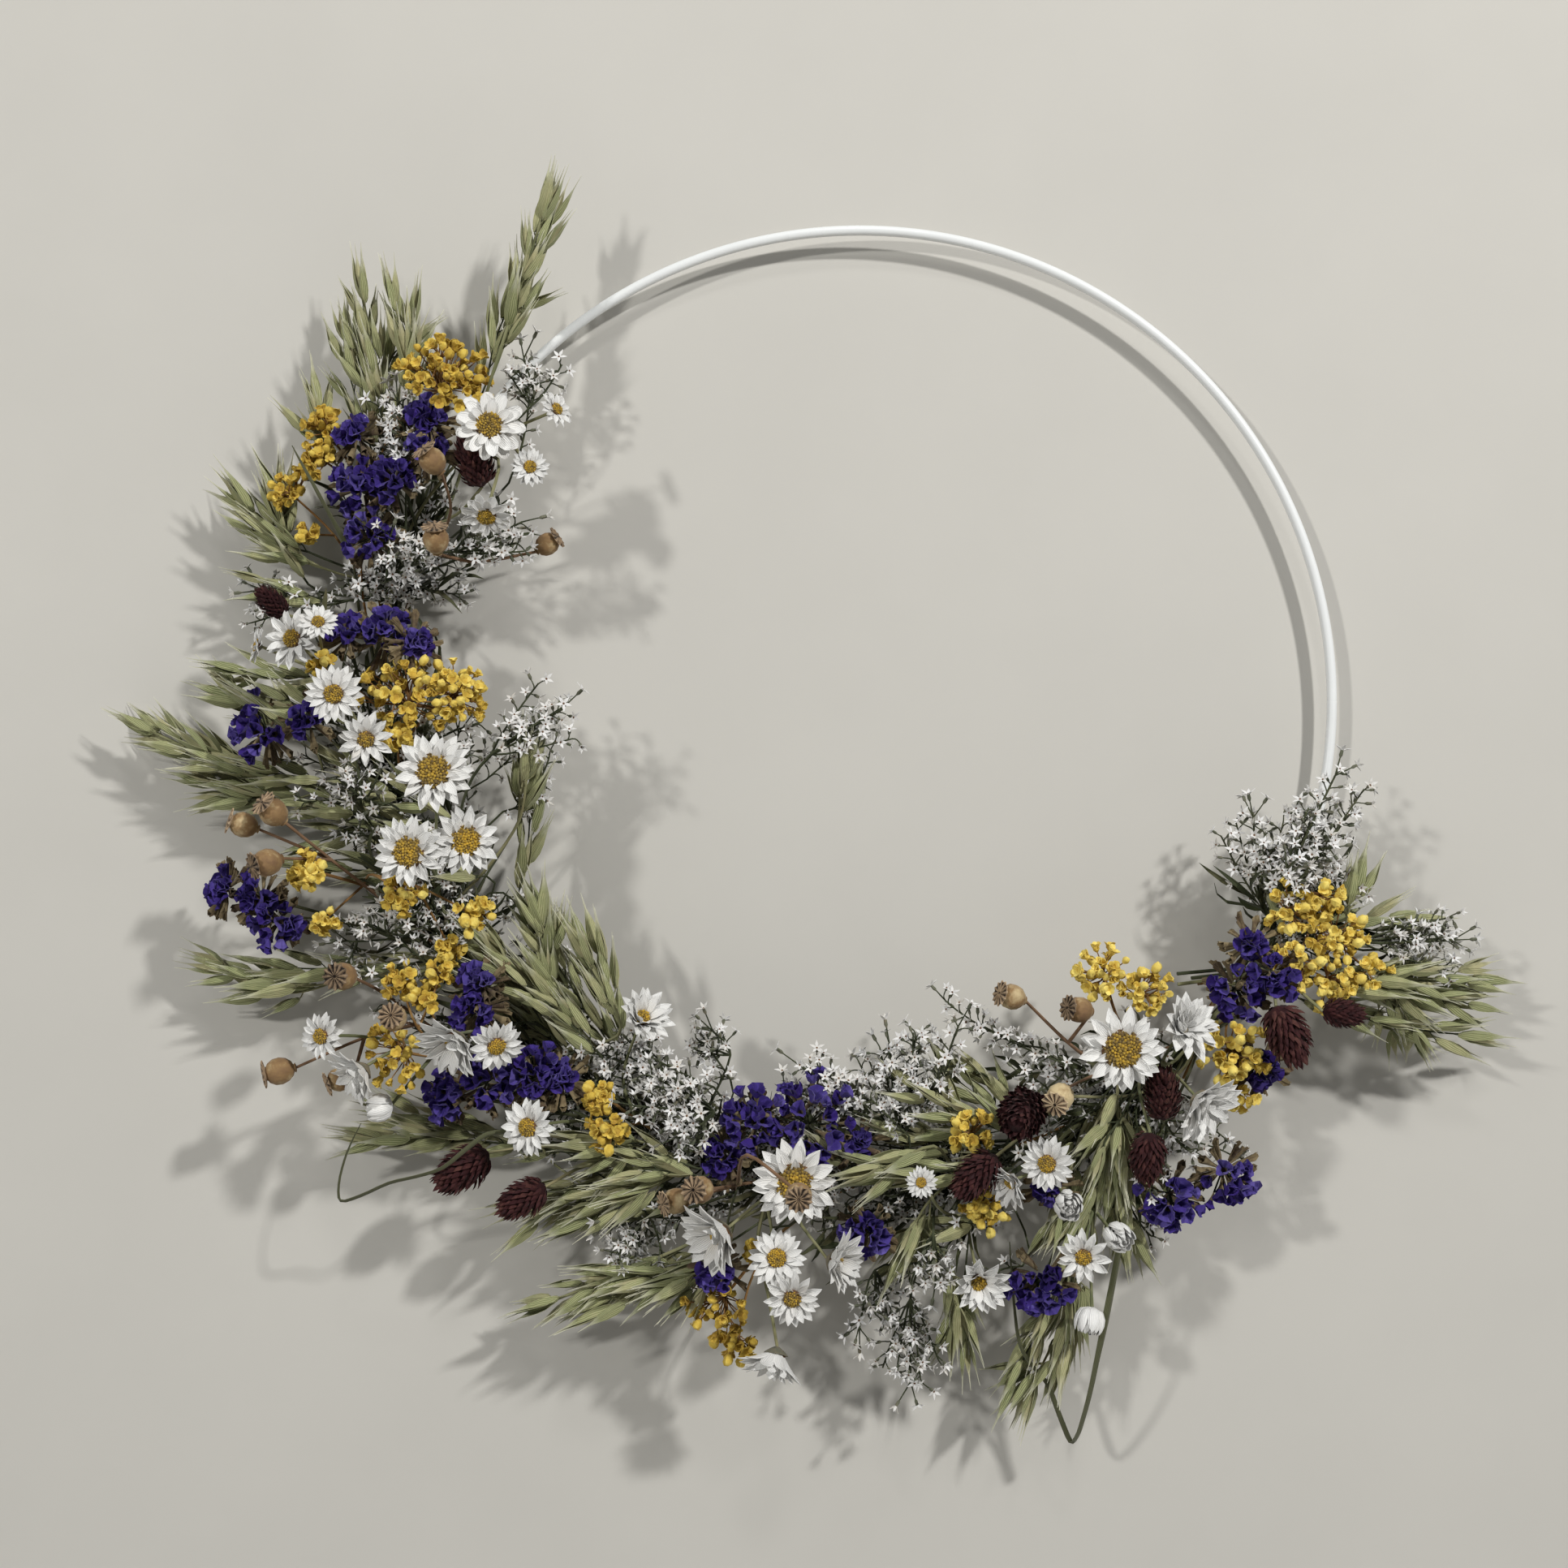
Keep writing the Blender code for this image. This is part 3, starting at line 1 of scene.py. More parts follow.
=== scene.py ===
# %% [markdown]
# # A dried flower wreath
#
# A painted metal hoop carries nine bunches of dried flowers: oats, everlasting daisies, violet
# statice, sprays of tiny white stars, yellow buds, poppy heads, dark canary grass and a few grass
# blades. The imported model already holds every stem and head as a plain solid. This lesson models
# each kind of head once, finely, and then sets copies of it where the plain ones stand.
#
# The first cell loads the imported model. Everything below is in metres, in the same frame: +Z is
# up, the flowers lie toward -Y, and the origin is the point where the hoop hangs.

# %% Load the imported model
import math
import random

import bmesh
import bpy
import numpy as np
from mathutils import Matrix, Vector


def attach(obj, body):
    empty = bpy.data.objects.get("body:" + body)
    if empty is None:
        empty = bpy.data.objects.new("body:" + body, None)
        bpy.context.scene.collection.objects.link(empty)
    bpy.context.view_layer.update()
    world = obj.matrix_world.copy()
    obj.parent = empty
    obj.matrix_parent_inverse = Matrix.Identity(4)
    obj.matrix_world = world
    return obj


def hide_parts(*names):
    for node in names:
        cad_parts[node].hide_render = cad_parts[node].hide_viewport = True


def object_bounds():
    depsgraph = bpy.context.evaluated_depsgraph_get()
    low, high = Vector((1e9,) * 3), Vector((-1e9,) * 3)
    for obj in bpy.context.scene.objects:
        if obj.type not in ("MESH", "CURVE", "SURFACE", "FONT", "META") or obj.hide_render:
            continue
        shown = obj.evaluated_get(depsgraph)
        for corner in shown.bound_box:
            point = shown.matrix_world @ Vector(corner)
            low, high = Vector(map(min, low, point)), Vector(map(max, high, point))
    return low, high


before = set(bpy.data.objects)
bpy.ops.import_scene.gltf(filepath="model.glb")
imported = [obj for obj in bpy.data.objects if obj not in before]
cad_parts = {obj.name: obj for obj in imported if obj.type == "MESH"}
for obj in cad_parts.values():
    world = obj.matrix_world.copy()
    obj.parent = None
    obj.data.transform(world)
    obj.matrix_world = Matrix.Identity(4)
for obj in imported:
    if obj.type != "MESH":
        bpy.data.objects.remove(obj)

CAD_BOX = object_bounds()
print("nodes:", len(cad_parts))
print("box of the packed model, mm:", [round(1000 * (b - a)) for a, b in zip(*CAD_BOX)])

# %% [markdown]
# ## Sizes
#
# A few real sizes drive the rest. The hoop is 300 mm across, and all that is placed one by one is
# placed in the photograph's pixels, which the hoop's known size turns into millimetres.

# %% Driving sizes
MM = 0.001
TWO_PI = 2 * math.pi
TOWARD_VIEWER = Vector((0, -1, 0))

HOOP_RADIUS = 150 * MM
ROD_RADIUS = 1.6 * MM
HOOP_CENTRE = Vector((0, 0, ROD_RADIUS - HOOP_RADIUS))

# How the photograph sees the hoop, in its pixels
PHOTO_MIDDLE = (966, 966)
HOOP_MIDDLE_SEEN = (1060, 865)
HOOP_RADIUS_SEEN = 581
PIXEL = HOOP_RADIUS / HOOP_RADIUS_SEEN
CAMERA_DISTANCE = 600 * MM

# Where each bunch is tied: angle on the hoop in degrees, and which way its heads lie
BUNCHES = {
    1: (172.0, -1), 2: (198.0, -1), 3: (217.0, -1), 4: (240.0, -1), 5: (255.5, -1),
    6: (272.0, -1), 7: (291.0, -1), 8: (316.0, -1), 9: (326.5, 1),
}
print("bunches:", len(BUNCHES), "one pixel, mm:", round(PIXEL / MM, 3))

# %% [markdown]
# ## From the photograph to the wreath
#
# A pixel alone gives a direction, not a place. So each place is a pixel with a height in front
# of the hoop: the nearer a flower is to the lens, the larger its pixels' share, and `at` shrinks
# the step from the picture's middle by that much. `stand` makes the matrix that sets a piece up
# with its own Z axis along a direction.

# %% Places and directions
def at(px, py, height):
    """Place of what the photograph shows at a pixel, this many mm in front of the hoop."""
    scale = PIXEL * (1 - height * MM / CAMERA_DISTANCE)
    middle = [PIXEL * (a - b) for a, b in zip(PHOTO_MIDDLE, HOOP_MIDDLE_SEEN)]
    x = middle[0] + (px - PHOTO_MIDDLE[0]) * scale
    z = -middle[1] - (py - PHOTO_MIDDLE[1]) * scale
    return HOOP_CENTRE + Vector((x, -height * MM, z))


def toward(right, up, front):
    """Unit direction from parts to the right, up and toward the viewer."""
    return Vector((right, -front, up)).normalized()


def tie_frame(bunch):
    """Centre of the rod at a tie, with the unit vectors outward and along to the heads."""
    degrees, side = BUNCHES[bunch]
    angle = math.radians(degrees)
    outward = Vector((math.cos(angle), 0, math.sin(angle)))
    along = Vector((-math.sin(angle), 0, math.cos(angle))) * side
    return HOOP_CENTRE + outward * HOOP_RADIUS, outward, along


def stand(origin, direction, roll=0.0):
    """Matrix with Z along the direction, turned about it by the roll."""
    turn = direction.to_track_quat("Z", "Y").to_matrix().to_4x4()
    return Matrix.Translation(origin) @ turn @ Matrix.Rotation(roll, 4, "Z")


def bezier(p0, p1, p2, p3, pieces):
    """Points of a cubic curve."""
    points = []
    for i in range(pieces + 1):
        t = i / pieces
        s = 1 - t
        points.append(p0 * s**3 + p1 * 3 * s * s * t + p2 * 3 * s * t * t + p3 * t**3)
    return points


print("middle of the picture on the wreath, mm:", [round(c / MM) for c in at(*PHOTO_MIDDLE, 0)])

# %% [markdown]
# ## Keeping stems apart
#
# Real stems bend round each other. Here each stem and head is followed by a string of beads, and
# `Room` remembers all of them. A new stem tries the straight way first, then wider and wider
# detours, until its own beads touch nobody else's.

# %% Room, as strings of beads
# Room kept free between two plants, and between two parts of one plant
GAP = 0.45 * MM
OWN_GAP = 0.1 * MM
BEAD_STEP = 0.9 * MM
LOOK_ROUND = 12 * MM


class Room:
    """All the space that is taken, so that each new piece can be laid clear of it."""

    def __init__(self):
        self.points = np.zeros((0, 3))
        self.radii = np.zeros(0)
        self.owners = np.zeros(0, dtype=int)

    def take(self, owner, beads):
        points, radii = beads
        self.points = np.vstack([self.points, points])
        self.radii = np.append(self.radii, radii)
        self.owners = np.append(self.owners, np.full(len(radii), owner))

    def clearance(self, owner, beads, exempt):
        """Smallest distance from these beads to anything taken; the plant's own is left out
        inside the exempt balls, given as middles with radii, where the pieces join."""
        points, radii = beads
        low = points.min(axis=0) - LOOK_ROUND
        high = points.max(axis=0) + LOOK_ROUND
        near = np.all((self.points > low) & (self.points < high), axis=1)
        for middle, ball in exempt:
            apart = np.linalg.norm(self.points - np.array(middle), axis=1)
            near &= (self.owners != owner) | (apart > ball)
        if not near.any():
            return LOOK_ROUND
        apart = np.linalg.norm(points[:, None, :] - self.points[None, near, :], axis=2)
        own = np.where(self.owners[near] == owner, GAP - OWN_GAP, 0)
        return float((apart - radii[:, None] - self.radii[None, near] + own).min())


def string_of_beads(points, start_radius, end_radius):
    """Beads along a line of points, for a stem or a spindle."""
    places = []
    for a, b in zip(points, points[1:]):
        steps = max(1, int((b - a).length / BEAD_STEP))
        places += [a.lerp(b, i / steps) for i in range(steps)]
    places.append(points[-1])
    radii = np.linspace(start_radius, end_radius, len(places))
    return np.array([tuple(p) for p in places]), radii


def moved_beads(matrix, local):
    """Beads given as (x, y, z, radius) round a local origin, carried to a place."""
    points = np.array([tuple(matrix @ Vector(bead[:3])) for bead in local])
    return points, np.array([bead[3] for bead in local])


print("beads along 30 mm of stem:", len(string_of_beads([Vector(), Vector((0, 0, 30 * MM))], 1, 1)[1]))

# %% [markdown]
# Each kind of head has its own arrangement of beads: a line of them for a spikelet, a ring for the
# rim of a funnel or a daisy. A few beads are enough, since they only keep the heads apart.

# %% Beads for each kind of head
BUD_RADIUS = 2.0 * MM
THIN_END = 0.4 * MM


def spindle_beads(size, start, thick, count):
    """Beads along Z that swell to the middle."""
    beads = []
    for i in range(count):
        part = i / (count - 1)
        swell = max(THIN_END, thick * (1 - abs(2 * part - 1)))
        beads.append((0, 0, start + (size - start) * part, swell))
    return beads


def rim_beads(radius, z, count, thick):
    """A ring of beads, for the rim of a star or a funnel."""
    turns = [TWO_PI * i / count for i in range(count)]
    return [(radius * math.cos(turn), radius * math.sin(turn), z, thick) for turn in turns]


def shape_beads(shape, size):
    """Room for one shape of this size."""
    if shape == "spikelet":
        return spindle_beads(size, 0.15 * size, 0.115 * size, 10)
    if shape == "yellow_bud":
        stalk = [(0, 0, part * size, 0.3 * MM + 1.3 * part * MM) for part in (0.35, 0.55)]
        return stalk + [(0, 0, size - 1.7 * MM, BUD_RADIUS)]
    if shape == "white_star":
        stalk = [(0, 0, part * size, 0.4 * MM) for part in (0.3, 0.45, 0.6, 0.75)]
        return stalk + [(0, 0, size - 0.2 * MM, 1.3 * MM)] + rim_beads(2.7 * MM, size, 5, 1.1 * MM)
    if shape == "statice_floret":
        funnel = [(0, 0, part * size, 0.4 * part * size) for part in (0.3, 0.5, 0.7)]
        return funnel + rim_beads(0.3 * size, 0.9 * size, 6, 0.17 * size)
    if shape == "daisy":
        radius = size / 2
        beads = [(0, 0, 0.25 * radius, 0.28 * radius)]
        for part, count in ((0.42, 6), (0.68, 10), (0.9, 14)):
            beads += rim_beads(part * radius, 0.28 * radius, count, 0.16 * radius)
        return beads
    if shape == "closed_bud":
        return [(0, 0, 0.5 * size, 0.5 * size), (0, 0, 0.85 * size, 0.28 * size)]
    if shape == "poppy":
        return [(0, 0, 0.25 * size, 0.35 * size), (0, 0, 0.6 * size, 0.52 * size),
                (0, 0, 1.0 * size, 0.42 * size)]
    return spindle_beads(size, 0, 0.31 * size, 8)


print("beads of a daisy:", len(shape_beads("daisy", 20 * MM)))

# %% [markdown]
# ## The planting plan
#
# One table for each kind of plant says where its heads are in the photograph. A place is two pixels
# and the mm in front of the hoop. A spray runs from a foot to a top with a number of spikelets or
# stars. A cluster has a middle, a reach in mm and a number. A bloom has a width in mm and the way
# it faces: to the right, up and toward the viewer. Canary grass runs from a foot to a tip.

# %% Where every head is
def read_table(groups, text):
    """Rows of numbers by name, from lines of "name bunch: row / row".

    The groups say how many numbers belong together: 3 for a place or a way, 1 for a plain number.
    """
    table = {}
    for line in text.strip().replace("\n    ", " ").splitlines():
        head, rows = line.split(":")
        name, bunch = head.split()[0], head.split()[-1]
        found = []
        for row in rows.split("/"):
            numbers = [float(word) if "." in word else int(word) for word in row.split()]
            starts = [sum(groups[:i]) for i in range(len(groups))]
            found.append(tuple(tuple(numbers[start:start + size]) if size > 1 else numbers[start]
                               for start, size in zip(starts, groups)))
        table[name] = (int(bunch), found)
    return table


OATS = read_table((3, 3, 1), """
oats_1a 1: 604 470 26 688 204 22 9
oats_1b 1: 478 560 15 437 304 12 7 / 500 520 20 482 312 18 6 / 405 560 16 380 440 13 5 /
    398 700 12 262 590 8 7 / 360 640 12 305 572 10 3
oats_2 2: 330 958 14 130 880 7 8 / 352 985 10 208 955 5 4 / 385 915 20 240 826 16 7
oats_3 3: 640 1010 26 660 892 30 4 / 405 1212 14 220 1188 7 6
oats_4 4: 735 1290 22 560 1132 24 7 / 750 1275 27 632 1082 30 7 / 765 1265 32 692 1118 36 5 /
    720 1310 16 558 1176 16 5
oats_5 5: 850 1425 22 592 1500 18 7 / 845 1440 28 660 1530 26 6 / 640 1400 13 408 1404 9 5 /
    800 1408 32 672 1412 36 4
oats_6 6: 850 1532 24 626 1626 16 7 / 865 1550 28 694 1640 24 5 / 890 1550 32 792 1604 32 4
oats_7 7: 1150 1412 34 1026 1470 38 5 / 1145 1480 30 1080 1594 27 6 / 1190 1390 24 1150 1312 26 4 /
    1172 1560 24 1177 1682 18 5
oats_8 8: 1378 1335 26 1396 1572 22 7 / 1355 1345 31 1302 1606 27 7 / 1330 1570 20 1262 1664 15 4 /
    1318 1600 23 1304 1712 18 3 / 1285 1680 14 1246 1752 10 3
oats_9 9: 1645 1205 24 1880 1206 14 8 / 1625 1225 20 1800 1290 12 5 / 1660 1130 25 1690 1042 22 3
""")

STARS = read_table((3, 3, 1), """
stars_1 1: 500 600 27 488 472 28 5 / 655 500 22 642 420 22 4 / 560 680 34 664 634 36 5 /
    480 720 24 487 645 28 3 / 455 740 18 440 702 20 2 / 365 745 10 305 719 8 3
stars_2 2: 450 985 28 436 928 32 3 / 540 960 24 574 884 26 4
stars_3 3: 605 930 32 712 860 34 5 / 480 1150 34 470 1106 38 4 / 440 1160 26 406 1158 26 3
stars_5 5: 890 1330 26 726 1296 28 6 / 880 1370 32 764 1356 36 5 / 900 1300 22 866 1254 26 4 /
    900 1392 36 812 1404 38 3
stars_6 6: 1085 1378 26 966 1300 28 5 / 800 1500 28 734 1504 28 3 / 800 1545 20 753 1538 20 2
stars_7 7: 1110 1400 22 1093 1264 24 4 / 1290 1300 30 1160 1258 33 5 / 1150 1520 32 1154 1602 31 5 /
    1122 1600 22 1122 1724 20 4 / 1078 1565 24 1053 1654 24 4
stars_9 9: 1575 1110 24 1654 936 22 6 / 1555 1110 19 1542 986 18 4 / 1610 1095 29 1650 1026 31 3 /
    1675 1160 25 1810 1158 20 4 / 1595 1110 33 1580 1048 34 4
""")

YELLOWS = read_table((3, 1, 1), """
yellow_1 1: 548 443 32 13 13 / 602 495 28 6 3 / 390 515 23 7 4 / 384 557 25 7 5 / 344 592 20 8 5 /
    372 657 24 4 2
yellow_2 2: 500 845 40 13 11 / 566 845 38 10 7 / 391 814 37 5 3 / 484 907 40 5 2
yellow_3 3: 372 1068 38 6 4 / 395 1137 36 5 2 / 500 1103 46 7 3 / 591 1130 38 6 3 / 556 1175 34 5 3
yellow_4 4: 477 1292 38 10 7 / 516 1222 35 6 3 / 484 1200 36 6 2 / 548 1187 35 6 3
yellow_5 5: 732 1345 40 6 4 / 745 1392 42 7 4
yellow_6 6: 872 1622 33 12 8 / 905 1668 30 7 4 / 928 1539 38 4 2
yellow_7 7: 1195 1397 38 8 5 / 1217 1500 35 8 5
yellow_8a 8: 1355 1192 28 9 6 / 1412 1216 30 9 5
yellow_8b 8: 1518 1300 33 11 7 / 1528 1352 31 7 3
yellow_9 9: 1590 1118 37 9 5 / 1630 1102 36 8 4 / 1660 1162 35 9 6 / 1600 1190 38 8 4 /
    1645 1222 34 9 5 / 1700 1202 31 7 3
""")

STATICE = read_table((3, 1, 1), """
statice_1 1: 527 503 33 6 3 / 527 548 34 6 3 / 425 530 28 6 3 / 432 590 32 8 4 / 480 582 36 7 3 /
    448 650 34 8 4
statice_2 2: 424 770 36 6 3 / 482 770 38 8 4 / 515 786 38 5 2 / 300 898 28 10 5 / 374 885 33 6 3
statice_3 3: 262 1092 22 6 3 / 310 1108 26 7 3 / 337 1142 27 8 4
statice_4 4: 583 1208 38 6 3 / 579 1242 38 7 4
statice_5 5: 535 1345 29 8 4 / 592 1328 35 9 5 / 650 1320 36 9 5 / 692 1326 36 6 3
statice_6 6: 990 1380 36 14 9 / 915 1382 33 10 5 / 884 1430 30 6 3 / 880 1575 37 6 3
statice_7 7: 1061 1524 36 7 4 / 1052 1400 28 5 2
statice_8 8: 1443 1495 35 10 5 / 1526 1455 33 9 4 / 1284 1469 36 6 2 / 1275 1600 33 10 5 /
    1556 1324 26 6 3
statice_9 9: 1545 1162 38 5 2 / 1576 1202 40 8 4 / 1524 1228 35 8 4
""")

DAISIES = read_table((3, 1, 3), """
daisies_1 1: 603 524 46 21 0.15 0.1 1 / 686 504 36 12 0.7 0.3 0.6 / 653 575 42 12 0.3 0 1 /
    599 636 48 15 0 -0.8 0.7
daisies_2 2: 360 787 46 19 -0.3 0.1 1 / 392 766 54 12 0.2 0.5 1 / 317 796 38 11 -1 0.2 0.4 /
    411 855 50 18 0.1 0 1 / 451 911 48 17 0.2 -0.1 1
daisies_3 3: 534 950 52 24 0 0.15 1 / 503 1050 54 22 -0.15 0 1 / 574 1036 48 21 0.35 0 1
daisies_4 4: 395 1277 42 15 -0.4 0 1 / 563 1280 46 16 -0.3 -0.6 0.6 / 612 1289 50 17 0.3 -0.4 0.8 /
    447 1318 40 14 -0.6 -0.6 0.5
daisies_5 5: 650 1389 46 18 -0.4 0 0.9 / 790 1256 34 13 0.3 0.6 0.7
daisies_6 6: 979 1457 48 26 0 0 1 / 890 1518 46 17 -0.6 -0.3 0.7 / 957 1550 44 18 0 0.3 1 /
    976 1600 50 18 0 -0.2 1 / 1026 1553 42 14 0.9 -0.2 0.5 / 956 1668 36 15 -0.2 -1 0.4
daisies_7 7: 1205 1578 36 13 0 -0.3 1 / 1135 1457 46 10 -0.2 0.2 1
daisies_8a 8: 1383 1293 50 25 0 0 1 / 1458 1266 40 18 0.2 0.5 0.7 / 1480 1357 43 20 0.3 -0.3 0.8
daisies_8b 8: 1335 1549 44 17 -0.1 0 1 / 1290 1434 44 17 -0.3 0 0.9 / 1248 1455 38 11 -0.8 -0.3 0.6
""")

CLOSED_BUDS = read_table((3, 1, 3), """
daisies_4 4: 465 1366 34 8 -1 -0.2 0.2
daisies_8b 8: 1379 1526 40 8 0.3 -0.2 0.8 / 1343 1630 34 8 -0.2 -1 0.3 / 1316 1486 44 8 0 0 1
""")

POPPIES = read_table((3, 1, 3), """
poppies_1 1: 532 567 46 8.5 -0.5 0.7 0.5 / 537 664 44 8.5 0 0.8 0.5 / 675 670 30 7.5 0.8 0.5 0.2
poppies_3 3: 336 1000 42 9 -0.5 0.6 0.6 / 299 1016 36 8.5 -0.9 0.3 0.3 / 328 1063 44 9 -0.7 -0.2 0.6
poppies_4 4: 422 1203 42 9 -0.3 0.1 1 / 485 1254 45 8.5 0 0.3 1 / 343 1320 32 9 -1 -0.2 0.2 /
    418 1330 34 8 -0.8 -0.3 0.4
poppies_6 6: 862 1466 46 9 -0.4 0.2 1 / 832 1480 38 8.5 -0.8 -0.1 0.5 / 984 1474 63 8.5 0 0 1
poppies_8 8: 1306 1352 42 9 -0.5 -0.4 0.9 / 1246 1228 32 8.5 -0.9 0.3 0.4 /
    1329 1244 38 8.5 -0.9 0.2 0.5
""")

PHALARIS = read_table((3, 3), """
phalaris_1 1: 594 600 38 574 535 42 / 352 758 26 318 726 28
phalaris_5 5: 602 1420 28 538 1460 30 / 672 1462 31 616 1492 30
phalaris_7 8: 1268 1358 34 1250 1388 52 / 1228 1424 40 1178 1472 42
phalaris_8 8: 1434 1380 38 1430 1316 40 / 1417 1396 42 1410 1454 38
phalaris_9 9: 1572 1240 42 1600 1310 40 / 1630 1246 39 1680 1251 38
""")

BLADES = {
    "grass_blade_1": (1, 2.8, [(436, 694, 24), (413, 648, 29), (388, 602, 31), (360, 549, 29)]),
    "grass_blade_5": (5, 2.2, [(660, 1396, 34), (600, 1398, 42), (545, 1440, 43), (480, 1458, 36),
                               (420, 1480, 28), (424, 1430, 30), (445, 1384, 33)]),
    "grass_blade_8": (8, 3.6, [(1386, 1500, 34), (1366, 1610, 31), (1352, 1680, 27), (1336, 1745, 20),
                               (1318, 1776, 14), (1290, 1706, 16), (1256, 1655, 20), (1244, 1530, 26)]),
}
READ = (OATS, STARS, YELLOWS, STATICE, DAISIES, CLOSED_BUDS, POPPIES, PHALARIS)
print("rows read from the photograph:", sum(len(rows) for table in READ for _, rows in table.values()))

# %% [markdown]
# ## Stems as trees of joints
#
# A plant is a tree: it starts at the cut end of its stem, and each joint knows what grows from it.
# Keeping the tree, and not only a mesh, lets the finish follow every twig later on.

# %% Joints and plants
MOST_CHILDREN = 3
LEAST_ONWARD = 0.2
MOST_ALONGSIDE = 0.93


class Joint:
    """A point of a plant's stem, with the joints and the shapes that grow from it."""

    def __init__(self, place, way, radius):
        self.place = place
        self.way = way
        self.radius = radius
        self.next = []
        self.shapes = []

    def free_ways(self):
        return MOST_CHILDREN - len(self.next) - len(self.shapes)


class Plant:
    """One node of the part: a tree of joints that starts at the cut end of its stem."""

    def __init__(self, name, bunch, owner):
        self.name = name
        self.bunch = bunch
        self.owner = owner
        self.root = None
        self.tail = None
        self.open_joints = []
        self.random = random.Random(100 + owner)

    def extend(self, joint, points, radius, room):
        """Grow a run of joints through these points, and keep its room."""
        run = [joint]
        for point in points:
            way = (point - run[-1].place).normalized()
            new = Joint(point, way, radius)
            run[-1].next.append(new)
            run.append(new)
        self.open_joints += run[1:]
        line = [item.place for item in run]
        room.take(self.owner, string_of_beads(line, joint.radius, radius))
        return run[1:]

    def fits(self, room, joint, shape, size, direction, roll):
        if direction.dot(joint.way) < LEAST_ONWARD or crowding(joint, direction) > MOST_ALONGSIDE:
            return False
        beads = moved_beads(stand(joint.place, direction, roll), shape_beads(shape, size))
        return room.clearance(self.owner, beads, [(joint.place, 0.35 * size)]) > GAP

    def attach(self, room, joint, shape, size, direction, roll):
        joint.shapes.append((shape, size, direction, roll))
        room.take(self.owner, moved_beads(stand(joint.place, direction, roll), shape_beads(shape, size)))


print("children that a new joint may have:", Joint(Vector(), TOWARD_VIEWER, 0).free_ways())

# %% [markdown]
# The tables and the trees meet here: every row's plant gets its number, and its heads are found
# again as places on the wreath.

# %% Every plant of the plan
def heads_of(name):
    """Middles of the heads of one plant, as places on the wreath."""
    for table in (OATS, STARS, PHALARIS):
        if name in table:
            return [at(*run[1]) for run in table[name][1]]
    if name in BLADES:
        return [at(*BLADES[name][2][0])]
    for table in (YELLOWS, STATICE, DAISIES, POPPIES):
        if name in table:
            return [at(*head[0]) for head in table[name][1]]
    return []


def plant_list():
    """Every plant with its bunch, numbered from 2: the hoop is 0 and the wire is 1."""
    plants = []
    for table in (OATS, STARS, YELLOWS, STATICE, DAISIES, POPPIES, PHALARIS, BLADES):
        for name, row in table.items():
            plants.append(Plant(name, row[0], len(plants) + 2))
    return plants


def rows_for(table, plant):
    """A plant's rows in one of the tables, or none."""
    return table.get(plant.name, (0, []))[1]


print("plants to grow:", len(plant_list()))

# %% [markdown]
# Stems are tied side by side. Sorting them by where their heads lie lets them fan out from the
# tie without crossing, as a florist does when laying a bunch.

# %% The tied stretch of each stem
# Stems lie side by side in slots at the tie, and fan out to a fork
STEM_RADIUS = 0.65 * MM
SLOT_PITCH = 1.9 * MM
SLOT_COLUMNS = 4
ROD_TO_STEM = 0.35 * MM
TIE_HALF = 4 * MM
TIE_TO_FORK = 15 * MM
FAN_PER_COLUMN = 2.2 * MM
FAN_PER_ROW = 2.0 * MM
FAN_FRONT = 1.0 * MM
CUT_END = (10 * MM, 15 * MM)
LAST_CUT_END = (20 * MM, 29 * MM)
TAIL_JOINT = 8 * MM


def slot_order(plants, bunch):
    """Slots at the tie, so that stems fan out to their heads without crossing."""
    centre, outward, along = tie_frame(bunch)
    measured = []
    for plant in plants:
        heads = heads_of(plant.name)
        middle = sum(heads, Vector()) / len(heads) - centre
        lean = math.atan2(middle.dot(outward), middle.dot(along))
        measured.append((middle.dot(TOWARD_VIEWER), lean, plant))
    measured.sort(key=lambda row: row[0])
    slots = {}
    for start in range(0, len(measured), SLOT_COLUMNS):
        row = sorted(measured[start:start + SLOT_COLUMNS], key=lambda item: item[1])
        for column, (_, _, plant) in enumerate(row):
            slots[plant.name] = (column - (len(row) - 1) / 2, start // SLOT_COLUMNS)
    return slots


def lay_main_stem(plant, slot, room):
    """The cut end, the tied stretch and the fork of a plant."""
    centre, outward, along = tie_frame(plant.bunch)
    column, row = slot
    lift = ROD_RADIUS + ROD_TO_STEM + STEM_RADIUS + row * SLOT_PITCH
    place = centre + outward * column * SLOT_PITCH + TOWARD_VIEWER * lift
    spread = outward * column * FAN_PER_COLUMN + TOWARD_VIEWER * (row * FAN_PER_ROW + FAN_FRONT)
    tail_way = (-along + TOWARD_VIEWER * 0.05).normalized()
    back = plant.random.uniform(*CUT_END)
    if plant.bunch == max(BUNCHES):
        tail_way = (toward(-1, 0, 0.12) - along * 0.15).normalized()
        back = plant.random.uniform(*LAST_CUT_END)
    tied = place - along * TIE_HALF
    plant.root = Joint(tied + tail_way * (back - TIE_HALF) + spread * 0.5, -tail_way, STEM_RADIUS)
    points = [tied + tail_way * (TAIL_JOINT - TIE_HALF) + spread * 0.2, tied,
              place + along * TIE_HALF, place + along * TIE_TO_FORK + spread]
    run = plant.extend(plant.root, points, STEM_RADIUS, room)
    plant.tail = run[0]
    plant.open_joints = [run[0], run[-1]]


print("slots of the first bunch:", slot_order([p for p in plant_list() if p.bunch == 1], 1))

# %% [markdown]
# From the fork a branch runs to each head. It tries the nearest joints of its plant first, and for
# each of them a straight way and then wider and wider bends, until one of them is clear.

# %% Branches that bend clear
BEND_REACHES = (4 * MM, 8 * MM, 12 * MM, 17 * MM, 23 * MM)
BEND_WAYS = 8
TAIL_COST = 15 * MM


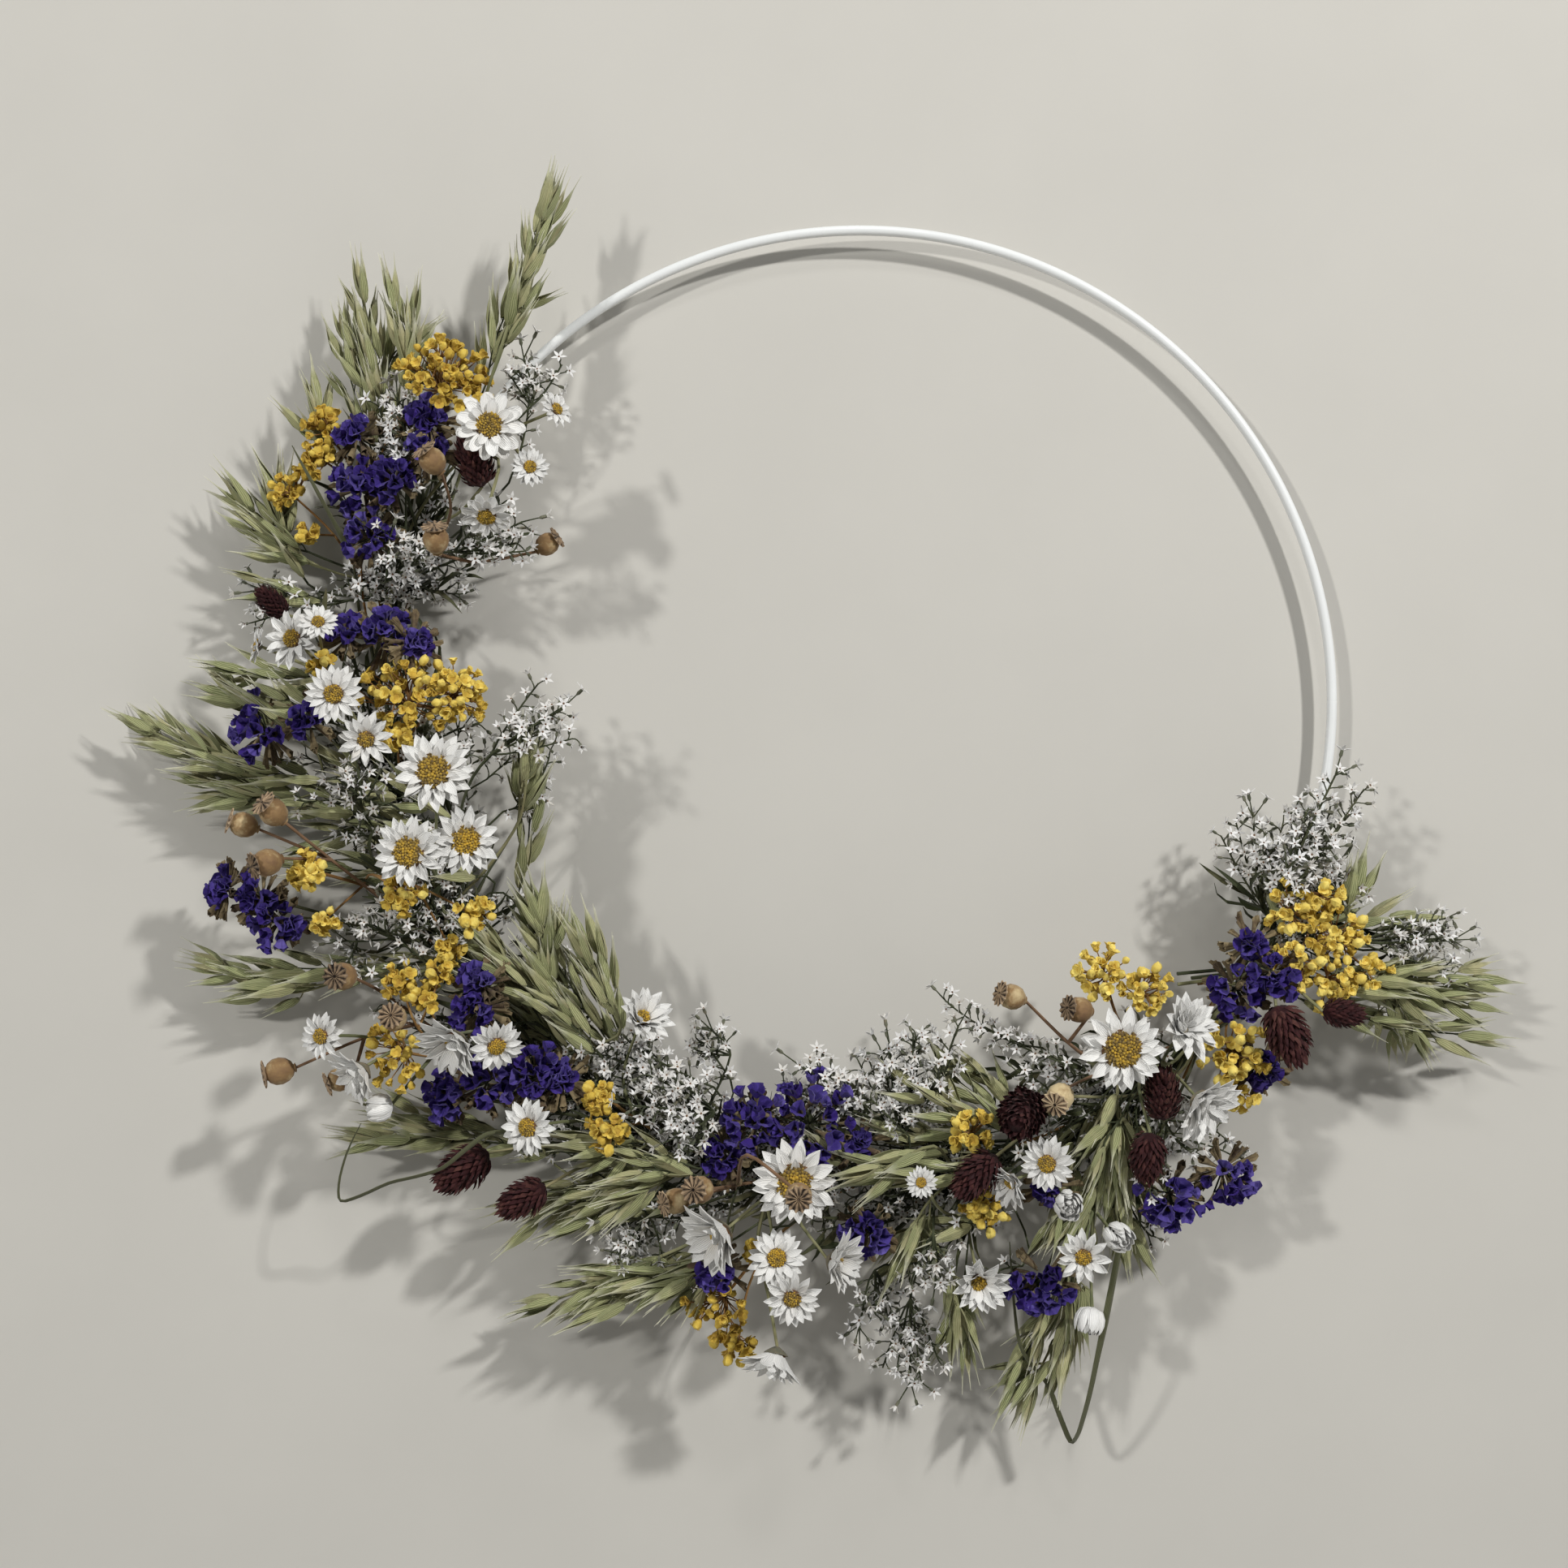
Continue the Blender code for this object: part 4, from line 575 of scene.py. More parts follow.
def bends(direction):
    """Sideways shifts to try for the middle of a branch, smallest first."""
    across = direction.cross(TOWARD_VIEWER).normalized()
    shifts = [Vector()]
    for reach in BEND_REACHES:
        for way in range(BEND_WAYS):
            turn = TWO_PI * way / BEND_WAYS + math.pi / 2
            shifts.append((across * math.cos(turn) + TOWARD_VIEWER * math.sin(turn)) * reach)
    return shifts


def joints_by_cost(plant, target):
    """Joints with room for a branch, the one with the shortest and straightest way first."""
    costs = []
    for number, joint in enumerate(plant.open_joints):
        reach = target - joint.place
        straight = joint.way.dot(reach.normalized())
        if joint.free_ways() < 1 or straight < 0 or reach.length < 3 * MM:
            continue
        cost = reach.length * (1 + 0.4 * (1 - straight))
        if joint is plant.tail:
            cost += TAIL_COST
        costs.append((cost, number, joint))
    costs.sort(key=lambda item: item[:2])
    return [joint for _, _, joint in costs]


print("bends to try for one branch:", len(bends(Vector((1, 0, 0)))))

# %% [markdown]
# Each way is judged by the room that it leaves. A sharp turn or a run along a neighbour costs
# some of that room, since real twigs seldom do either.

# %% The clearest of many ways
BRANCH_PIECE = 24 * MM
MOST_BRANCH_PIECES = 4
SHARP_TURN_COST = 30 * MM


def child_ways(joint):
    """Directions in which things grow from a joint."""
    ways = [(item.place - joint.place).normalized() for item in joint.next]
    return ways + [direction for _, _, direction, _ in joint.shapes]


def crowding(joint, way):
    """How nearly a new branch would run along what already grows from the joint."""
    return max((way.dot(child) for child in child_ways(joint)), default=-1)


def branch_price(plant, joint, points, radius, room, exempt):
    """Clearance of a branch, less for a sharp turn or for running along another."""
    way = (points[1] - points[0]).normalized()
    clear = room.clearance(plant.owner, string_of_beads(points, radius, radius), exempt)
    clear -= max(0, LEAST_ONWARD - way.dot(joint.way)) * SHARP_TURN_COST
    return clear - max(0, crowding(joint, way) - MOST_ALONGSIDE) * SHARP_TURN_COST


def lay_branch(plant, target, arrive_way, room, radius, pieces=None, joint=None,
               head_room=0.0, lifts=(0,)):
    """A branch from the plant to a place, bent clear of everything else."""
    best = None
    for lift in lifts:
        end = target + TOWARD_VIEWER * lift * MM
        joints = [joint] if joint else joints_by_cost(plant, end)[:4]
        joints = joints or [item for item in plant.open_joints if item.free_ways() > 0][:1]
        for start in joints:
            reach = end - start.place
            count = pieces or math.ceil(reach.length / BRANCH_PIECE)
            count = max(1, min(MOST_BRANCH_PIECES, count))
            leave = start.way * 0.3 * reach.length
            arrive = arrive_way * min(0.35 * reach.length, 14 * MM)
            exempt = [(start.place, 4 * MM), (end, head_room + 2 * MM)]
            for shift in bends(reach.normalized()):
                points = bezier(start.place, start.place + leave + shift, end - arrive + shift,
                                end, count)
                clear = branch_price(plant, start, points, radius, room, exempt)
                if best is None or clear > best[0]:
                    best = (clear, points, start)
                if clear > GAP:
                    return plant.extend(start, points[1:], radius, room)
    _, points, start = best
    return plant.extend(start, points[1:], radius, room)


sample = Plant("sample", 1, 0)
sample.root = Joint(Vector(), TOWARD_VIEWER, STEM_RADIUS)
sample.open_joints = [sample.root]
run = lay_branch(sample, TOWARD_VIEWER * 60 * MM, TOWARD_VIEWER, Room(), STEM_RADIUS)
print("joints of a branch to a place 60 mm away:", len(run))

# %% [markdown]
# Daisies, capsules and canary grass are the largest heads, and the photograph shows exactly where
# each one is. So they get their room first. Where two would meet, one moves along the line of sight,
# which hardly changes the picture.

# %% Blooms at the ends of their stems
# Heights to try for a taken bloom, in mm, and widths from its middle to its foot
BLOOM_HEIGHT_TRIES = (0, 2, -2, 4, -4, 6, -6, 9, -9, 12, 15)
BLOOM_BASE = {"daisy": 0.14, "closed_bud": 0.5, "poppy": 0.6}


def lay_blooms(plants, room):
    """Reserve the room of every bloom, moved along the line of sight where it is taken."""
    blooms = []
    for plant in plants:
        rows = [("daisy", row) for row in rows_for(DAISIES, plant)]
        rows += [("closed_bud", row) for row in rows_for(CLOSED_BUDS, plant)]
        rows += [("poppy", row) for row in rows_for(POPPIES, plant)]
        for shape, (place, width, face) in rows:
            size, face = width * MM, toward(*face)
            base = BLOOM_BASE[shape] * size
            best = None
            for more in BLOOM_HEIGHT_TRIES:
                foot = at(place[0], place[1], place[2] + more) - face * base
                beads = moved_beads(stand(foot, face), shape_beads(shape, size))
                clear = room.clearance(plant.owner, beads, [])
                if best is None or clear > best[0]:
                    best = (clear, foot, beads)
                if clear > GAP:
                    break
            room.take(plant.owner, best[2])
            blooms.append((plant, best[1], face, shape, size))
        for foot, top in rows_for(PHALARIS, plant):
            for more in BLOOM_HEIGHT_TRIES:
                low = at(foot[0], foot[1], foot[2] + more)
                high = at(top[0], top[1], top[2] + more)
                size = (high - low).length * 1.08
                face = (high - low).normalized()
                beads = moved_beads(stand(low, face), shape_beads("phalaris", size))
                if room.clearance(plant.owner, beads, []) > GAP:
                    break
            room.take(plant.owner, beads)
            blooms.append((plant, low, face, "phalaris", size))
    return blooms


def grow_blooms(plants, room):
    """A stem to each bloom, the bloom at its end."""
    for plant, foot, face, shape, size in lay_blooms(plants, room):
        run = lay_branch(plant, foot, face, room, STEM_RADIUS, head_room=0.6 * size)
        run[-1].shapes.append((shape, size, face, 0.0))
        plant.open_joints.remove(run[-1])


print("blooms:", {kind: sum(len(row[1]) for row in table.values()) for kind, table in
                  (("daisies", DAISIES), ("poppies", POPPIES), ("canary grass", PHALARIS))})

# %% [markdown]
# Spikelets and stars sit in turn round a twig. Each one tries a few turns, and then leans in a
# little, until it has room.

# %% Repeats along a twig
def side_way(axis, roll):
    """Unit vector square to the axis at this roll."""
    across = axis.orthogonal().normalized()
    return across * math.cos(roll) + axis.cross(across) * math.sin(roll)


def hang_repeats(plant, joints, count, room, shape, sizes, openness):
    """Spikelets or stars at the joints of a twig, alternately round it."""
    turn = plant.random.uniform(0, TWO_PI)
    left = count
    for number, joint in enumerate(joints):
        last = joint is joints[-1]
        here = left if last else math.ceil(left / (len(joints) - number))
        here = min(here, joint.free_ways())
        for i in range(here):
            size = plant.random.uniform(*sizes)
            for attempt in range(12):
                roll = turn + 2.1 * number + TWO_PI * i / here + 0.5 * attempt
                wide = openness * (1 - 0.03 * attempt)
                if last and i == 0:
                    wide = 0.3 * openness * plant.random.uniform(0.5, 1.5)
                direction = (joint.way + side_way(joint.way, roll) * wide).normalized()
                if plant.fits(room, joint, shape, size, direction, roll):
                    plant.attach(room, joint, shape, size, direction, roll)
                    left -= 1
                    break


print("square to an upright axis:", [round(c) for c in side_way(Vector((0, 0, 1)), 0)])

# %% [markdown]
# Buds and florets end a cluster that forks again and again, up to three ways at each joint. Real
# ones are spread by the golden turn, so `dome_targets` spreads them over a dome that way too.

# %% Clusters that fork
TWIG_RADIUS = 0.45 * MM
GOLDEN_TURN = math.radians(137.5)
CLUSTER_HALF_ANGLE = math.radians(58)


def grow_cluster(plant, joint, targets, room, shape, limit):
    """Buds or florets to their targets, by short twigs that fork up to three ways."""
    if len(targets) <= joint.free_ways():
        for target in targets:
            reach = target - joint.place
            size = min(reach.length, limit)
            direction = reach.normalized()
            for attempt in range(6):
                roll = 0.35 * attempt
                if plant.fits(room, joint, shape, size, direction, roll):
                    plant.attach(room, joint, shape, size, direction, roll)
                    break
                direction = (direction + side_way(direction, 2.4 * attempt) * 0.12).normalized()
        return
    middle = sum(targets, Vector()) / len(targets)
    axis = (middle - joint.place).normalized()
    base = axis.orthogonal().normalized()
    other = axis.cross(base)
    def angle(target):
        reach = target - joint.place
        return math.atan2(reach.dot(other), reach.dot(base))
    ordered = sorted(targets, key=angle)
    ways = min(joint.free_ways(), MOST_CHILDREN if len(ordered) > 4 else 2)
    for part in range(ways):
        group = ordered[part * len(ordered) // ways:(part + 1) * len(ordered) // ways]
        if len(group) == 1:
            grow_cluster(plant, joint, group, room, shape, limit)
            continue
        centre = sum(group, Vector()) / len(group)
        place = joint.place.lerp(centre, 0.42)
        line = [joint.place, place]
        beads = string_of_beads(line, TWIG_RADIUS, TWIG_RADIUS)
        if room.clearance(plant.owner, beads, [(joint.place, 4 * MM)]) < GAP:
            continue
        new = plant.extend(joint, [place], TWIG_RADIUS, room)[0]
        grow_cluster(plant, new, group, room, shape, limit)


def dome_targets(foot, facing, reach, count, randomness):
    """Points over a dome in front of a foot, spread by the golden turn."""
    targets = []
    for i in range(count):
        open_angle = CLUSTER_HALF_ANGLE * math.sqrt((i + 0.5) / count)
        side = side_way(facing, GOLDEN_TURN * i)
        way = facing * math.cos(open_angle) + side * math.sin(open_angle)
        targets.append(foot + way * reach * randomness.uniform(1.05, 1.4))
    return targets


sample = dome_targets(Vector(), TOWARD_VIEWER, 10 * MM, 3, random.Random(1))
print("three targets of a dome, mm:", [tuple(round(c / MM) for c in place) for place in sample])

# %% [markdown]
# A grass blade follows its listed corners. A smooth line through them needs no more than the
# two neighbours of each stretch.

# %% Blades along smooth lines
def smooth_through(corners, pieces):
    """A smooth line through given corners."""
    ends = [corners[0] * 2 - corners[1]] + corners + [corners[-1] * 2 - corners[-2]]
    points = [corners[0]]
    for a, b, c, d in zip(ends, ends[1:], ends[2:], ends[3:]):
        for i in range(1, pieces + 1):
            t = i / pieces
            points.append(0.5 * (
                2 * b + (c - a) * t + (2 * a - 5 * b + 4 * c - d) * t * t
                + (3 * b - a - 3 * c + d) * t**3
            ))
    return points


def grow_strips(plants, room):
    """Grass blades: a strip through its corners, from a short stalk."""
    strips = {}
    for plant in plants:
        if plant.name in BLADES:
            _, width, corners = BLADES[plant.name]
            line = smooth_through([at(*corner) for corner in corners], 2)
            way = (line[1] - line[0]).normalized()
            run = lay_branch(plant, line[0], way, room, STEM_RADIUS)
            strips[plant.name] = (run[-1], line[1:], width * MM)
            room.take(plant.owner, string_of_beads(line, 0.5 * width * MM, 0.3 * width * MM))
    return strips


print("points of a smooth line through three corners:",
      len(smooth_through([Vector(), TOWARD_VIEWER, 2 * TOWARD_VIEWER], 4)))

# %% [markdown]
# Sprays and clusters both start as a branch to their foot. A spray goes on to its top, and a
# cluster ends in a dome that looks outward and a little toward the viewer.

# %% Stems of sprays and clusters
LIFTS = (0, 3, -3, 6, -6)
SHORT_STEM = 12 * MM
SPIKELET_SIZES = (19 * MM, 22 * MM)
STAR_SIZES = (6 * MM, 9 * MM)
FLORET_LIMIT = 10.5 * MM
BUD_LIMIT = 12 * MM


def grow_sprays(plants, room):
    """The stems of oats and star sprays, with a twig from the foot of each to its top."""
    sprays = []
    kinds = ((OATS, "spikelet", SPIKELET_SIZES, 0.34), (STARS, "white_star", STAR_SIZES, 0.8))
    for table, shape, sizes, openness in kinds:
        for plant in plants:
            for foot_seen, top_seen, count in rows_for(table, plant):
                foot, top = at(*foot_seen), at(*top_seen)
                way = (top - foot).normalized()
                end = top - way * 0.9 * sizes[0]
                pieces = max(1, math.ceil((count - MOST_CHILDREN) / 2))
                near = joints_by_cost(plant, foot)
                onward = near and (foot - near[0].place).normalized().dot(way) > 0
                if onward and (foot - near[0].place).length > SHORT_STEM:
                    start = lay_branch(plant, foot, way, room, TWIG_RADIUS, lifts=LIFTS)[-1]
                    run = lay_branch(plant, end, way, room, TWIG_RADIUS, pieces, start, lifts=LIFTS)
                else:
                    run = lay_branch(plant, end, way, room, TWIG_RADIUS, pieces + 1, lifts=LIFTS)
                joints = run[-pieces - 1:]
                sprays.append((plant, joints, count, shape, sizes, openness))
                plant.open_joints.remove(run[-1])
    return sprays


def grow_cluster_stems(plants, room):
    """The stems of the bud and floret clusters, each to the foot of its dome."""
    clusters = []
    kinds = ((STATICE, "statice_floret", FLORET_LIMIT), (YELLOWS, "yellow_bud", BUD_LIMIT))
    for table, shape, limit in kinds:
        for plant in plants:
            for place, reach, count in rows_for(table, plant):
                middle = at(*place)
                near = joints_by_cost(plant, middle) or plant.open_joints
                way = (middle - near[0].place).normalized()
                facing = (way + TOWARD_VIEWER * 0.7).normalized()
                foot = middle - facing * reach * 0.9 * MM
                run = lay_branch(plant, foot, facing, room, TWIG_RADIUS, lifts=LIFTS)
                foot = run[-1].place
                targets = dome_targets(foot, facing, reach * MM, count, plant.random)
                clusters.append((plant, run[-1], targets, shape, limit))
                plant.open_joints.remove(run[-1])
    return clusters


print("sprays:", sum(len(row[1]) for table in (OATS, STARS) for row in table.values()),
      "clusters:", sum(len(row[1]) for table in (YELLOWS, STATICE) for row in table.values()))

# %% [markdown]
# One thin wire ties all nine bunches: two turns round each, then on behind the rod to the next one.
# Its turns follow a rounded oblong, as wire pulled tight round a flat bundle does.

# %% The binding wire's path
WIRE_RADIUS = 0.4 * MM
WIRE_TURN_POINTS = 8
WIRE_TURNS = 2
WIRE_ROOM = 1.2 * MM
WIRE_PITCH = 1.3 * MM
WIRE_BEHIND = ROD_RADIUS + 0.3 * MM + WIRE_RADIUS


def oval_turn(turn, half_wide, half_high):
    """Across and up on a rounded oblong at this turn."""
    wide = math.copysign(abs(math.cos(turn)) ** 0.5, math.cos(turn)) * half_wide
    high = math.copysign(abs(math.sin(turn)) ** 0.5, math.sin(turn)) * half_high
    return wide, high


def lay_wire(plants, room):
    """One thin wire, wound twice round each tied bunch and run behind the rod between them."""
    path = []
    order = sorted(BUNCHES, key=lambda key: BUNCHES[key][0])
    half_wide = SLOT_PITCH * (SLOT_COLUMNS - 1) / 2 + STEM_RADIUS + WIRE_ROOM
    for key in order:
        degrees, side = BUNCHES[key]
        centre, outward, along = tie_frame(key)
        rows = math.ceil(len([p for p in plants if p.bunch == key]) / SLOT_COLUMNS)
        top = ROD_RADIUS + ROD_TO_STEM + 2 * STEM_RADIUS + (rows - 1) * SLOT_PITCH + WIRE_ROOM
        if path:
            for part in (1 / 3, 2 / 3):
                angle = math.radians(last + (degrees - last) * part)
                place = Vector((math.cos(angle), 0, math.sin(angle))) * HOOP_RADIUS
                path.append(HOOP_CENTRE + place - TOWARD_VIEWER * WIRE_BEHIND)
        last = degrees
        count = WIRE_TURNS * WIRE_TURN_POINTS
        for i in range(count + 1):
            turn = TWO_PI * i / WIRE_TURN_POINTS - math.pi / 2
            wide, high = oval_turn(turn, half_wide, (top + WIRE_BEHIND) / 2)
            step = (i / count - 0.5) * WIRE_TURNS * WIRE_PITCH * side
            lift = (top - WIRE_BEHIND) / 2 + high
            path.append(centre + outward * wide + TOWARD_VIEWER * lift + along * step)
    room.take(1, string_of_beads(path, WIRE_RADIUS, WIRE_RADIUS))
    return path


print("corners of one turn, mm:", [tuple(round(c / MM, 1) for c in oval_turn(TWO_PI * i / 8, 4 * MM, 3 * MM))
                                   for i in range(8)])

# %% [markdown]
# ## Laying the whole wreath
#
# The order matters: tied stems first, then the wire round them, then the big blooms that must sit
# where the photograph shows them, and last the repeats, which take the room that is left.

# %% Lay out every plant
HOOP_SEGMENTS = 64


def lay_out():
    """Every plant's tree, the wire's path, and what the finish needs to know."""
    room = Room()
    circle = [
        HOOP_CENTRE + Vector((math.cos(t), 0, math.sin(t))) * HOOP_RADIUS
        for t in np.linspace(0, TWO_PI, HOOP_SEGMENTS + 1)
    ]
    room.take(0, string_of_beads(circle, ROD_RADIUS, ROD_RADIUS))
    plants = plant_list()
    for bunch in BUNCHES:
        members = [plant for plant in plants if plant.bunch == bunch]
        slots = slot_order(members, bunch)
        for plant in members:
            lay_main_stem(plant, slots[plant.name], room)
    wire = lay_wire(plants, room)
    grow_blooms(plants, room)
    strips = grow_strips(plants, room)
    sprays = grow_sprays(plants, room)
    clusters = grow_cluster_stems(plants, room)
    for plant, joints, count, shape, sizes, openness in sprays:
        hang_repeats(plant, joints, count, room, shape, sizes, openness)
    for plant, joint, targets, shape, limit in clusters:
        grow_cluster(plant, joint, targets, room, shape, limit)
    return plants, wire, strips, sprays, clusters, room


PLANTS, WIRE, STRIPS, SPRAYS, CLUSTERS, ROOM = lay_out()
print("plants:", len(PLANTS), "sprays:", len(SPRAYS), "clusters:", len(CLUSTERS))

# %% [markdown]
# ## Camera
#
# The photograph was taken straight on, from about 0.6 m. The hoop's middle is a little right of
# and above the picture's middle, so the camera stands that much to the left and below, and needs
# no shift. Its angle follows from the width that 1932 pixels cover at the hoop.

# %% Camera
PHOTO_WIDTH = 1932
seen_width = PHOTO_WIDTH * PIXEL
camera_data = bpy.data.cameras.new("camera")
camera = bpy.data.objects.new("camera", camera_data)
bpy.context.scene.collection.objects.link(camera)
camera.location = at(*PHOTO_MIDDLE, 0) + TOWARD_VIEWER * CAMERA_DISTANCE
camera.rotation_euler = (math.radians(90), 0, 0)
camera_data.angle = 2 * math.atan(seen_width / 2 / CAMERA_DISTANCE)
camera_data.clip_start = 0.01
bpy.context.scene.camera = camera
print("width seen at the hoop, mm:", round(seen_width / MM, 1), "lens, mm:", round(camera_data.lens, 1))

# %% [markdown]
# ## A few hand tools
#
# Blender's operators act on what is selected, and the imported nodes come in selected. So each step
# first selects just its own object. In edit mode `pick` selects vertices by a rule, as a hand
# would pick a row of them, and the operators then move or scale that row.

# %% Selecting
def only(*objects):
    """Back to object mode, with just these objects selected and the first one active."""
    if bpy.context.object and bpy.context.object.mode != "OBJECT":
        bpy.ops.object.mode_set(mode="OBJECT")
    bpy.ops.object.select_all(action="DESELECT")
    for obj in objects:
        obj.select_set(True)
    bpy.context.view_layer.objects.active = objects[0] if objects else None


def edit(obj):
    """Into edit mode, on this object alone."""
    only(obj)
    bpy.ops.object.mode_set(mode="EDIT")


def pick(obj, rule):
    """In edit mode, select the vertices that the rule is true for."""
    mesh = bmesh.from_edit_mesh(obj.data)
    for vertex in mesh.verts:
        vertex.select_set(bool(rule(vertex)))
    mesh.select_flush(True)
    bmesh.update_edit_mesh(obj.data)


def finish_modifier(obj, kind, **settings):
    """Add one modifier with these settings and apply it."""
    only(obj)
    modifier = obj.modifiers.new(kind.lower(), kind)
    for name, value in settings.items():
        setattr(modifier, name, value)
    bpy.ops.object.modifier_apply(modifier=modifier.name)


def discard(*objects):
    """Throw away what was only a pattern."""
    for obj in objects:
        bpy.data.objects.remove(obj)


print("selected by the load:", len(bpy.context.selected_objects))
only()
print("selected after only():", len(bpy.context.selected_objects))

# %% [markdown]
# Nearly everything on a dried flower is a thin strip: a bract, a husk, a leaf. `blade` starts from
# a grid primitive and sets it row by row: how far along, how wide, how far it lifts. Solidify then
# gives the sheet two faces. The grid's own UV map stays on it, across and along, for the veins.
# Round parts are turned: a disc, or an open ring for a funnel, is extruded upward ring by ring.

# %% A thin strip, row by row
PAPER = 0.12 * MM
THIN_PAPER = 0.1 * MM


def blade(name, rows, cup, across=2, thick=PAPER):
    """A strip along +Y, from rows of (along, half width, lift); cup raises its edges."""
    only()
    bpy.ops.mesh.primitive_grid_add(x_subdivisions=across, y_subdivisions=len(rows) - 1, size=2)
    strip = bpy.context.object
    strip.name = name
    edit(strip)
    for number, (along, half, lift) in enumerate(rows):
        start = -1 + 2 * number / (len(rows) - 1)
        first = number * (across + 1)
        pick(strip, lambda v: first <= v.index <= first + across)
        bpy.ops.transform.resize(value=(half, 1, 1), center_override=(0, start, 0))
        bpy.ops.transform.translate(value=(0, along - start, lift))
        if cup:
            pick(strip, lambda v: v.index in (first, first + across))
            bpy.ops.transform.translate(value=(0, 0, cup * half))
    finish_modifier(strip, "SOLIDIFY", thickness=thick, offset=0.0)
    return strip


def turned(name, sides, profile, fill="NGON"):
    """A turned form along +Z, from (radius, height) rings: a disc, or a ring, raised by extrusions."""
    only()
    radius, height = profile[0]
    bpy.ops.mesh.primitive_circle_add(
        vertices=sides, radius=radius, fill_type=fill, location=(0, 0, height))
    form = bpy.context.object
    form.name = name
    bpy.ops.object.transform_apply()
    edit(form)
    bpy.ops.mesh.select_all(action="SELECT")
    for (last_radius, last_height), (radius, height) in zip(profile, profile[1:]):
        bpy.ops.mesh.extrude_region_move(
            TRANSFORM_OT_translate={"value": (0, 0, height - last_height)})
        grow = radius / last_radius
        bpy.ops.transform.resize(value=(grow, grow, 1), center_override=(0, 0, height))
    bpy.ops.mesh.select_all(action="SELECT")
    bpy.ops.mesh.normals_make_consistent(inside=False)
    only(form)
    return form


def scaled(rings, size):
    """Rings given as shares of a size, as (radius, height) in metres."""
    return [(r * size, z * size) for r, z in rings]


sample = turned("sample", 8, scaled([(1, 0), (2, 3)], MM))
print("faces of a sample turned form:", len(sample.data.polygons))
discard(sample)

# %% [markdown]
# A head is made of copies: one bract, many times round. Each copy gets its own mesh and its own
# `tone`, a number from 0 to 1 stored on its vertices. The materials read it to make one bract
# fresher or browner than its neighbour, so no two look stamped.

# %% Copies and joins
def set_tone(obj, tone):
    """Store a tone on every vertex, or add to the one that is there."""
    layer = obj.data.attributes.get("tone")
    count = len(obj.data.vertices)
    values = np.zeros(count, dtype=np.float32)
    if layer:
        layer.data.foreach_get("value", values)
    else:
        layer = obj.data.attributes.new("tone", "FLOAT", "POINT")
    layer.data.foreach_set("value", np.clip(values + tone, 0, 1).astype(np.float32))


def placed(master, matrix, tone=0.0):
    """A copy of the master with its own mesh, set in place."""
    copy = master.copy()
    copy.data = master.data.copy()
    copy.data.transform(matrix)
    set_tone(copy, tone)
    bpy.context.scene.collection.objects.link(copy)
    return copy


def joined(name, objects):
    """One object from several, with its origin at the world's."""
    objects = [obj for obj in objects if obj]
    for obj in objects:
        if not obj.data.attributes.get("tone"):
            set_tone(obj, 0.0)
    only(*objects)
    if len(objects) > 1:
        bpy.ops.object.join()
    piece = bpy.context.object
    piece.name = name
    piece.data.name = name
    return piece


def smooth(obj, degrees=50):
    """Soft shading over gentle edges, crisp over sharp ones."""
    only(obj)
    bpy.ops.object.shade_smooth_by_angle(angle=math.radians(degrees))
    return obj


# %% [markdown]
# `splay` is the one matrix that most heads are built with: it stands a strip beside a stem, turned
# about it and leaning out. The last two helpers hand out materials.

# %% Strips round a stem
def splay(turn, lean, start=0.0, height=0.0, roll=0.0, size=1.0):
    """Matrix that sets a strip round a stem: turned about it, leaning up from flat."""
    outward = Vector((math.cos(turn), math.sin(turn), 0))
    along = outward * math.cos(lean) + Vector((0, 0, math.sin(lean)))
    face = Vector((0, 0, math.cos(lean))) - outward * math.sin(lean)
    across = along.cross(face)
    matrix = Matrix((across, along, face)).transposed().to_4x4()
    place = Matrix.Translation(outward * start + Vector((0, 0, height)))
    return place @ matrix @ Matrix.Rotation(roll, 4, "Y") @ Matrix.Scale(size, 4)


def dressed(obj, material):
    """Give an object one material."""
    obj.data.materials.clear()
    obj.data.materials.append(material)
    return obj


def two_toned(obj, lower, upper, height):
    """Give the faces below a height one material and those above it another."""
    obj.data.materials.append(lower)
    obj.data.materials.append(upper)
    for face in obj.data.polygons:
        face.material_index = int(face.center.z > height)


print("a strip leaning 60 degrees points to:", [round(c, 2) for c in splay(0, math.radians(60)).col[1]])

# %% [markdown]
# ## Effects that the materials share
#
# Three shader groups, each built once. `mottle` is a soft patchiness in the object's own space.
# `veins` draws fine lines along a strip from its UV map. `grown` mixes a young, a ripe and a dry
# colour by the copy's tone and by the mottle. Each material places them with its own values.

# %% Node helpers
def new_group(name, inputs, outputs):
    """An empty shader group with named sockets; each input has a default."""
    group = bpy.data.node_groups.new(name, "ShaderNodeTree")
    for socket, kind, value in inputs:
        made = group.interface.new_socket(socket, in_out="INPUT", socket_type="NodeSocket" + kind)
        made.default_value = value
    for socket, kind in outputs:
        group.interface.new_socket(socket, in_out="OUTPUT", socket_type="NodeSocket" + kind)
    return group, group.nodes.new("NodeGroupInput"), group.nodes.new("NodeGroupOutput")


def node(tree, kind, **settings):
    """A node with these settings."""
    made = tree.nodes.new("ShaderNode" + kind)
    for name, value in settings.items():
        setattr(made, name, value)
    return made


def group_node(tree, group, **inputs):
    """A shared group as a node, with these values at its inputs."""
    made = node(tree, "Group", node_tree=group)
    for name, value in inputs.items():
        made.inputs[name].default_value = value
    return made


def new_material(name):
    """A new material, with its node tree and its shader."""
    material = bpy.data.materials.new(name)
    material.use_nodes = True
    return material, material.node_tree, material.node_tree.nodes["Principled BSDF"]


